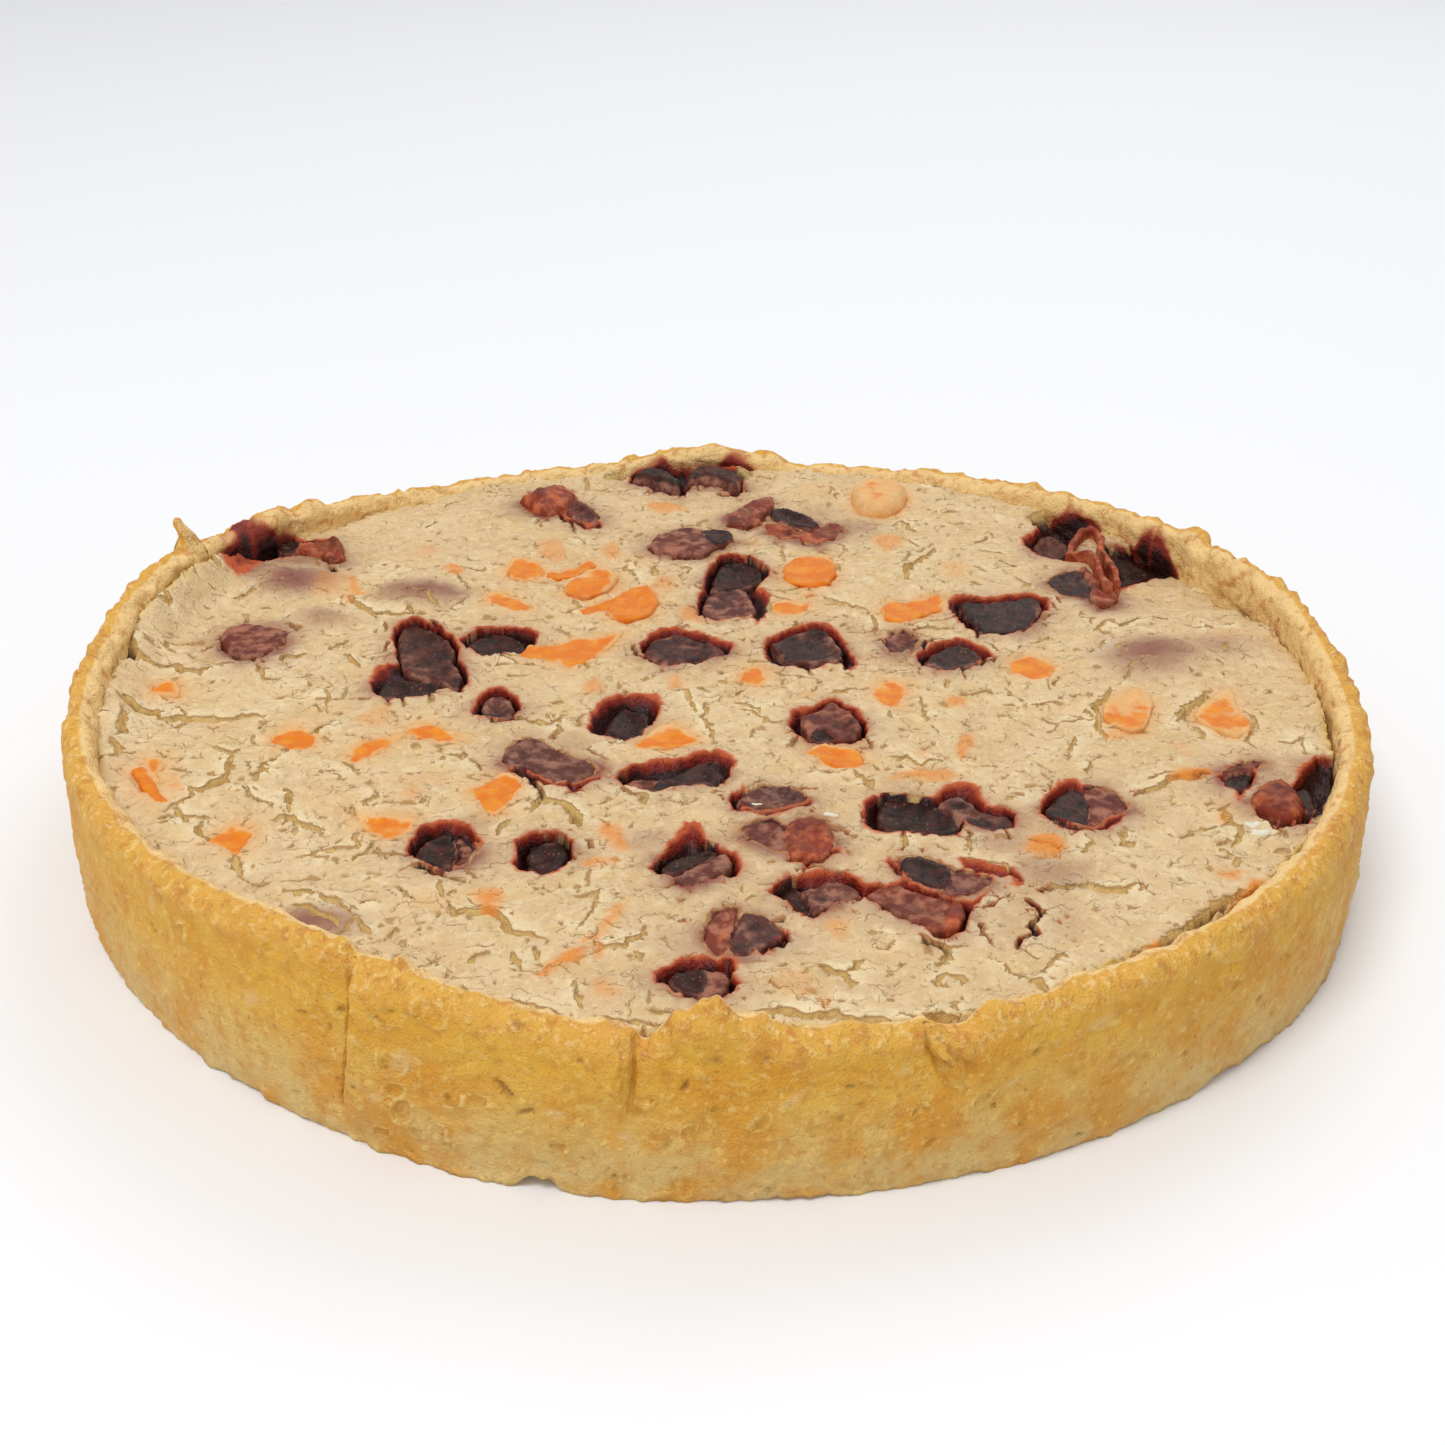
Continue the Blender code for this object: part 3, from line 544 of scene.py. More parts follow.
plain_section = [part[0] for part in shell_surface(np.array([PLAIN_AZIMUTH]))]
print("section: highest", plain_section[1].max().round(1), "widest", plain_section[0].max().round(1))

# %% Spin the section of the shell


def spin_shell():
    """The shell with even steps, and the section that was spun."""
    line = list(zip(plain_section[0].tolist(), plain_section[1].tolist()))
    shape = bmesh.new()
    start = [shape.verts.new((radius, 0, height)) for radius, height in line]
    edges = [shape.edges.new(pair) for pair in zip(start, start[1:])]
    bmesh.ops.spin(
        shape,
        geom=start + edges,
        cent=(0, 0, 0),
        axis=(0, 0, 1),
        angle=2 * math.pi,
        steps=SHELL_STEPS,
        use_merge=True,
    )
    bmesh.ops.remove_doubles(shape, verts=shape.verts, dist=0.0005)
    bmesh.ops.recalc_face_normals(shape, faces=shape.faces)
    return shape, np.array(line)


shell_shape, shell_line = spin_shell()
crust = make_piece("pressed_shortcrust", shell_shape, "crust", slot="shortcrust")
shell_points = points_of(crust.data)
shell_step = np.round(azimuth_of(*shell_points.T[:2]) / (360 / SHELL_STEPS)).astype(int) % SHELL_STEPS
shell_reach = np.hypot(shell_points[:, 0], shell_points[:, 1])
shell_row = np.array(
    [
        int(np.argmin((shell_line[:, 0] - reach) ** 2 + (shell_line[:, 1] - height) ** 2))
        for reach, height in zip(shell_reach, shell_points[:, 2])
    ]
)
print("rows", len(shell_line), "points", len(shell_points), "rows found", len(set(shell_row.tolist())))

# %% [markdown]
# ## The relief of baked dough
#
# Seen close, the dough is pressed flat in places and crumbly in others. There are slow dimples from
# the fingers that pressed it, pores and small oval blisters with a raised ring, thin flakes that
# lift off, and a rough torn crest. Each is a height added along the way the surface faces. The
# marks that the photograph shows plainly sit at their own pixel, and the rest are drawn at random
# from a fixed seed, all round the shell.

# %% Marks on the wall
# pixel, pixel, half length and half width in mm, turn in degrees, height of the ring, depth inside
BLISTERS = (
    (405, 1107, 2.6, 1.7, 70, 0.35, 0.30), (455, 1095, 1.8, 1.4, 10, 0.25, 0.10),
    (383, 1130, 1.7, 1.1, 20, 0.32, 0.20), (418, 1130, 1.5, 1.1, -30, 0.25, 0.20),
    (440, 1128, 1.6, 1.2, 30, 0.20, 0.20), (478, 1098, 2.2, 1.3, 15, 0.25, 0.10),
    (558, 1145, 1.7, 1.2, 10, 0.25, 0.20), (448, 1142, 1.4, 1.0, 0, 0.20, 0.20),
    (395, 1060, 2.4, 1.8, -20, 0.20, 0.15), (398, 1085, 2.0, 1.3, 20, 0.20, 0.25),
    (980, 1095, 1.8, 1.2, 20, 0.22, 0.15), (920, 1108, 1.6, 1.2, 0, 0.20, 0.15),
    (430, 1012, 3.0, 1.8, -35, 0.22, 0.10), (688, 1130, 1.6, 1.1, 60, 0.15, 0.20),
    (620, 1175, 1.5, 0.9, 0, 0.20, 0.10), (760, 1120, 1.8, 1.2, 40, 0.15, 0.18),
    (250, 1040, 1.8, 1.3, 20, 0.18, 0.15), (180, 930, 1.6, 1.3, 60, 0.15, 0.18),
    (1120, 1060, 1.9, 1.2, 10, 0.16, 0.16), (1230, 980, 1.7, 1.2, 50, 0.16, 0.18),
)
# pixel, pixel, half length, half width, turn, depth
WALL_PITS = (
    (505, 1087, 2.9, 0.75, -42, 0.80), (527, 1108, 2.0, 0.6, 20, 0.60), (685, 1085, 1.9, 0.6, 65, 0.45),
    (300, 1013, 0.7, 0.6, 0, 0.55), (326, 1029, 0.7, 0.6, 0, 0.50), (517, 1027, 1.2, 0.7, 0, 0.45),
    (580, 1058, 0.9, 0.5, 30, 0.45), (306, 943, 0.9, 0.5, 0, 0.40), (338, 1012, 1.3, 0.8, 30, 0.6),
    (408, 1150, 1.2, 0.5, -10, 0.35), (765, 1060, 1.2, 0.5, 30, 0.3), (850, 1085, 1.0, 0.6, 0, 0.35),
    (945, 1060, 1.6, 0.5, -50, 0.5), (1035, 1050, 1.2, 0.6, 20, 0.4),
)
# Half width, depth (negative: raised), then the pixels along a bent line
WALL_CREASES = (
    (0.5, 0.55, 596, 1020, 604, 1030, 616, 1040, 624, 1052, 622, 1068, 614, 1080),
    (1.5, 0.95, 932, 1030, 945, 1042, 960, 1056, 975, 1076),
    (1.3, -0.75, 951, 1030, 962, 1043, 972, 1056),
    (2.2, 0.35, 690, 1012, 700, 1030, 712, 1055, 716, 1085),
    (1.2, 0.35, 852, 1018, 856, 1040, 850, 1062), (1.5, 0.25, 160, 800, 168, 835, 178, 862),
    (2.0, 0.3, 1150, 985, 1162, 1010, 1160, 1040),
)
# Pale smears of flour: pixel, pixel, half length, half width, turn
FLOUR_SMEARS = (
    (382, 1092, 2.4, 1.2, 20), (404, 1058, 3.4, 2.0, 60), (626, 1134, 1.9, 1.5, 40),
    (633, 1143, 1.6, 1.3, 10), (468, 1135, 2.2, 0.8, 5), (560, 1110, 1.8, 0.8, 0),
    (790, 1100, 2.6, 1.2, 30), (905, 1068, 2.4, 1.0, 60), (1010, 1080, 2.2, 1.0, 20),
    (250, 1000, 3.0, 1.6, 40), (150, 905, 2.4, 1.4, 70), (1100, 1020, 2.6, 1.2, 20),
)
# Torn, crumbly stretches of the rim: azimuth, half width in degrees, how rough
TORN_RIM = (
    (-114, 5.5, 1.0), (-99, 4, 0.8), (-84, 5, 0.7), (-170, 12, 0.6), (172, 12, 0.8), (150, 10, 0.6),
    (112, 18, 0.7), (60, 16, 0.5), (20, 18, 0.5), (-30, 20, 0.35), (-60, 12, 0.4), (-140, 14, 0.35),
)
# Thin shreds that stand up from the rim: azimuth, half width in degrees, height
RIM_SHREDS = (
    (113.2, 0.5, 0.7), (121.0, 0.9, 0.6), (129.3, 0.4, 0.8), (141.4, 1.2, 0.6), (66, 0.6, 0.6),
    (58.4, 0.4, 0.8), (35.6, 0.9, 0.7), (173.5, 0.8, 0.8), (-172, 1.0, 0.6), (15, 0.7, 0.5),
)

# %% Relief of the shell
RANDOM_PORES = 420
PORE_SEED = 4107
RINGED_SHARE = 0.35  # of the pores


def mark_away(arc, height, mark):
    """How far every point lies from the middle of a table's mark, in half lengths of the mark."""
    px, py, half_length, half_width, turn = mark
    azimuth, level = on_wall(px, py, OUTER_RADIUS)
    beside = arc - math.radians(azimuth) * OUTER_RADIUS
    return oval_away(beside, height - level, half_length, half_width, math.radians(turn))


def shell_relief(azimuth, height, crest, facing_out, x, y):
    """The fine relief in mm along the way the surface faces, how much of each point is rim and how
    floury, and the painted shade of its hollows (less than 0: painted highlight where it is raised)."""
    arc = np.radians(azimuth) * OUTER_RADIUS
    outside = facing_out > 0.5
    rim = smooth(-5.5, -0.8, height - crest)
    torn = np.zeros(azimuth.shape)
    for middle, half_width, roughness in TORN_RIM:
        away = np.abs(turn_between(azimuth, middle)) / half_width
        torn = np.maximum(torn, roughness * (1 - smooth(0.6, 1.2, away)))
    lumps = field(x, y, height, 5.1, 3.4)
    relief = 0.34 * field(x, y, height, 1.7, 9) + 0.22 * lumps + 0.14 * field(x, y, height, 9.3, 1.5)
    flakes = smooth(0.16, 0.30, field(x / 4.2, y / 4.2, height / 3.0, 14.2))
    relief += 0.30 * flakes * (0.55 + 0.45 * rim)
    relief += rim * torn * (0.75 * field(x, y, height, 3.3, 2.6) + 0.55 * lumps)
    relief += rim * 0.36 * field(x, y, height, 8.8, 2.2)
    rough = np.maximum(rim, (facing_out < -0.2) * 0.8)
    relief += rough * 0.95 * field(x / 6.5, y / 6.5, height / 5.0, 31.0)
    crags = field(x / 3.6, y / 3.6, height / 3.0, 35.0)
    relief += rough * 0.45 * (0.5 - 2.2 * np.abs(crags))
    # Painted shade in hollows of every kind; below 0, painted highlight on raised rings and flecks
    hollow = np.zeros(azimuth.shape)
    for *mark, raised, sunk in BLISTERS:
        away = mark_away(arc, height, mark)
        ring = np.exp(-(((away - 1) / 0.24) ** 2)) * outside
        relief += 1.5 * raised * ring - 1.5 * sunk * (1 - smooth(0.6, 1, away)) * outside
        hollow += 0.5 * smooth(0.35, 0.7, away) * (1 - smooth(0.7, 0.95, away)) * outside - 0.36 * ring
    for *mark, depth in WALL_PITS:
        inside = (1 - smooth(0.45, 1.1, mark_away(arc, height, mark))) * outside
        relief -= depth * inside
        hollow += inside
    for half_width, depth, *pixels in WALL_CREASES:
        spots = [on_wall(px, py, OUTER_RADIUS) for px, py in pairs(pixels)]
        line = [(math.radians(spot[0]) * OUTER_RADIUS, spot[1]) for spot in spots]
        away, along, _ = distance_to_line(arc, height, line)
        ends = smooth(0, 0.18, along) * (1 - smooth(0.75, 1, along))
        crease = depth * ends * (1 - smooth(0, half_width, away)) * outside
        relief -= crease
        hollow += 0.35 * crease
    flour = np.zeros(azimuth.shape)
    for mark in FLOUR_SMEARS:
        flour += (1 - smooth(0.3, 1.1, mark_away(arc, height, mark) + 0.5 * lumps)) * outside
    draw = random.Random(PORE_SEED)
    for _ in range(RANDOM_PORES):
        place, level = draw.uniform(-180, 180), draw.uniform(1.5, 33)
        long, short = draw.uniform(0.5, 1.5), draw.uniform(0.4, 0.9)
        depth, turn = draw.uniform(0.12, 0.5), draw.uniform(0, math.pi)
        ringed = draw.random() < RINGED_SHARE
        near = (np.abs(turn_between(azimuth, place)) < 1.5) & (np.abs(height - level) < 3.2)
        beside = np.radians(turn_between(azimuth[near], place)) * OUTER_RADIUS
        away = oval_away(beside, height[near] - level, long, short, turn)
        sunk = 1 - smooth(0.4, 1.1, away)
        relief[near] -= (0.4 if ringed else 1) * depth * sunk
        hollow[near] += 0.7 * depth * 2 * sunk
        if ringed:
            relief[near] += 0.6 * depth * np.exp(-(((away - 1.2) / 0.3) ** 2))
    hollow += 0.5 * np.maximum(rough, 0.45) * np.exp(-((crags - 0.28) / 0.06) ** 2)
    fleck = smooth(0.34, 0.46, field(x / 2.2, y / 2.2, height / 1.5, 41.0)) * outside
    relief += 0.22 * fleck
    hollow -= 0.24 * fleck
    return relief, rim, np.clip(hollow, -0.6, 1), np.clip(flour, 0, 1)


def raise_shreds(azimuth, height, crest):
    """How much higher the crest's shreds stand."""
    lift = np.zeros(azimuth.shape)
    for middle, half_width, rise in RIM_SHREDS:
        away = np.abs(turn_between(azimuth, middle)) / half_width
        lift += rise * (1 - smooth(0.2, 1.3, away)) * smooth(-1.6, 0.0, height - crest)
    return lift


print("marks read from the photograph:", len(BLISTERS) + len(WALL_PITS) + len(WALL_CREASES))

# %% Move the points of the shell
SCALLOP_RADIUS = 125.0  # the foot is scalloped beyond it
HOOK_HALF_WIDTH = 2.2  # degrees
HOOK_LEAN = 0.7  # degrees, along the rim
shell_azimuth = column_azimuths(SHELL_STEPS)
surface = [part[shell_step, shell_row] for part in shell_surface(shell_azimuth)]
point_radius, point_height, point_out, point_up = surface
point_azimuth = shell_azimuth[shell_step]
point_crest = rim_height(shell_azimuth)[shell_step]
angle = np.radians(point_azimuth)
relief, rim_share, hollow, flour = shell_relief(
    point_azimuth,
    point_height,
    point_crest,
    point_out,
    point_radius * np.cos(angle),
    point_radius * np.sin(angle),
)
moving = (point_height > 0.01) | (point_radius > UNDERSIDE_RADIUS + 1)
moving &= ~((point_height < 8) & (point_out < 0.5) & (point_radius < UNDERSIDE_RADIUS + 3))
moved_radius = point_radius + relief * point_out * moving
moved_height = point_height + relief * point_up * (point_up > 0) * moving
moved_height += raise_shreds(point_azimuth, point_height, point_crest) * (point_up > 0.3)
# The foot is finely scalloped where the dough tore from the tin's base.
scallop = 0.45 * np.abs(ripple(point_azimuth, 0, 1.9, 2.2))
scallop += 0.35 * np.abs(ripple(point_azimuth, 0, 5.0, 6.2))
above_foot = point_height - foot_height(point_azimuth)
near_foot = (point_radius > UNDERSIDE_RADIUS + 3) * (1 - smooth(0.0, 1.6, above_foot))
moved_height = np.maximum(0.0, moved_height + scallop * near_foot * (point_radius > SCALLOP_RADIUS))
moved_radius += 0.6 * ripple(point_azimuth, 0, 2.4, 4.2) * near_foot

# The hook thins out upwards, leans outwards and curls over.
on_the_hook = np.abs(turn_between(point_azimuth, HOOK_AZIMUTH)) < HOOK_HALF_WIDTH
thinned = 0.6 * smooth(HOOK_FOOT, HOOK_WAIST, moved_height) * on_the_hook
up_the_hook = smooth(HOOK_WAIST, HOOK_TIP, moved_height) * on_the_hook
hook_spine = OUTER_RADIUS - 1.4 + 1.8 * up_the_hook
moved_radius += (hook_spine - moved_radius) * thinned
angle = angle + np.radians(HOOK_LEAN) * up_the_hook**1.5
shell_x, shell_y = moved_radius * np.cos(angle), moved_radius * np.sin(angle)
move_points(crust.data, np.stack([shell_x, shell_y, moved_height], axis=1))
print("points of the shell moved:", int(moving.sum()), "on the hook:", int(on_the_hook.sum()))

# %% [markdown]
# ## Juice on the inner wall
#
# Beetroot that lay against the wall boiled over and stained the pastry dark red up to the crest.
# The stain is stored as a value for each point, so that its edge can run as it does on the real
# wall, and the material turns the value into colour and gloss.

# %% Stains on the inner wall
# azimuth, half width in degrees, lowest and highest edge, strength
WALL_STAINS = (
    (151.5, 5.4, 22, 38.0, 1.0), (147.0, 3.2, 22, 34, 0.85), (97.5, 4.5, 22, 30.5, 0.9),
    (88.0, 3.4, 22, 32.2, 1.0), (92.5, 4.0, 22, 31.5, 0.75), (45.0, 4.6, 22, 31.5, 1.0),
    (33.2, 3.6, 22, 33.5, 1.0), (38.0, 4.0, 22, 28.5, 0.8), (10.6, 1.8, 24, 31.5, 0.5),
    (-21.5, 4.6, 22, 31.0, 0.95), (-26.0, 3.0, 22, 28.5, 0.7), (-39.0, 2.2, 22, 26.5, 0.3),
)


def wall_stain(azimuth, height, x, y):
    wobble = 2.2 * field(x, y, height, 2.9, 6) + 0.9 * field(x, y, height, 7.7, 2)
    total = np.zeros(azimuth.shape)
    for middle, half_width, low, high, strength in WALL_STAINS:
        away = np.abs(turn_between(azimuth, middle)) / half_width
        top = high - 5.0 * away**2 + wobble
        amount = strength * (1 - smooth(0.75, 1.15, away + 0.12 * wobble))
        streaks = 0.75 + 0.5 * field(azimuth * 1.1, height / 9, 0, 5.5)
        below_top = 1 - smooth(-6.5, 1.4, height - top)
        total = np.maximum(total, amount * streaks * below_top * smooth(low - 3, low, height))
    return total


stain = wall_stain(point_azimuth, moved_height, shell_x, shell_y) * (point_out < 0.2)
# The finish paints the inner wall paler, partly its own colour and partly painted light against its
# shade
inside = (point_out < -0.2).astype(float)
paint(crust.data, rim=rim_share, hollow=hollow, flour=flour, stain=stain, inside=inside)
finish_mesh(crust)

# %% [markdown]
# ## The filling's measures
#
# The filling set as a disc, shrank a little from the wall and cracked. It swells over vegetables
# that lie just under its skin, and sinks at the right-back, where a chunk of beetroot lay against
# the wall. The tables are those of the solid, with the finer cracks, the flakes and the gaps along
# the wall added.

# %% Tables of the filling
# x, y, radius, height
COVERED_LUMPS = (
    (108, 52, 30, -3.4), (80, 84, 16, -1.0), (-65, -91, 8, 0.9),
    (95, 10, 15, 2.2), (111, 18, 9, 1.3), (-68, 43, 13, 1.6), (-101, 48, 12, 1.6), (-88, 28, 9, 1.0),
    (24, 104, 10, 2.0), (-39, 68, 7, 0.9), (40, 75, 7, 0.8), (54, 59, 7, 0.8), (-71, -51, 11, 1.2),
    (-82, -54, 9, 0.9), (-16, -111, 7, 0.8), (18, -90, 7, 0.8), (-56, -48, 7, 0.9), (96, -53, 6, 1.0),
    (-55, 95, 20, 1.2), (32, -22, 8, 0.8), (-116, -22, 7, 0.9), (62, -103, 12, 0.9), (8, -110, 9, 0.7),
)
# Slips of carrot flush with the skin: x, y, radius
CARROT_BITS = (
    (-15, 96, 4.5), (-62, 56, 3), (-26, 66, 4), (-82, 46, 4.5), (-12, 49, 3), (48, -9, 3.5),
    (-25, -5, 4), (-8, -2, 3), (-69, -16, 5), (47, -30, 3.5), (90, -38, 4), (-20, -72, 3.5),
    (-18, -91, 5), (-23, -104, 5), (-101, -45, 4), (15, -107, 3),
)
# Swells that show the colour of what they cover: x, y, radius across, radius in depth, strength
BEETROOT_SHADOWS = (
    (90, 10, 15, 13, 0.95), (-66, 41, 14, 8, 0.95), (-96, 48, 13, 12, 1.0), (-86, 27, 8, 6, 0.6),
    (-45, 93, 14, 11, 0.6), (-67, -93, 13, 6, 0.95), (-99, 58, 12, 8, 0.8), (-8, 72, 16, 10, 0.6),
    (-97, 20, 13, 9, 0.7), (57, -76, 10, 9, 0.6), (71, 37, 9, 12, 0.45), (50, -66, 9, 6, 0.5),
    (-12, -66, 8, 6, 0.4), (105, 15, 14, 8, 0.5), (-106, 52, 9, 10, 0.8), (30, 82, 14, 9, 0.6),
    (112, -38, 7, 7, 0.6), (-44, -60, 7, 7, 0.4), (24, 92, 10, 8, 0.35), (-30, -30, 12, 8, 0.4),
    (-2, -100, 12, 12, 0.4), (62, 40, 14, 10, 0.35), (-48, 20, 14, 10, 0.35), (104, -42, 8, 7, 0.5),
)
CARROT_SHADOWS = (
    (24, 105, 8, 8, 0.35), (-71, 60, 6, 5, 0.25), (54, 59, 6, 4, 0.35), (40, 75, 5, 4, 0.4),
    (-96, -22, 8, 5, 0.25), (-56, -44, 12, 6, 0.35), (-70, -52, 12, 6, 0.25), (93, -53, 9, 6, 0.30),
    (18, -90, 8, 5, 0.4), (-47, -86, 8, 5, 0.35), (70, -14, 8, 6, 0.2), (-77, -16, 8, 5, 0.3),
    (5, -63, 5, 5, 0.4), (-105, -50, 6, 5, 0.3), (28, 8, 6, 5, 0.25), (58, -22, 6, 4, 0.25),
    (-20, 60, 10, 8, 0.3), (30, -100, 7, 5, 0.2), (110, 20, 10, 6, 0.35),
)
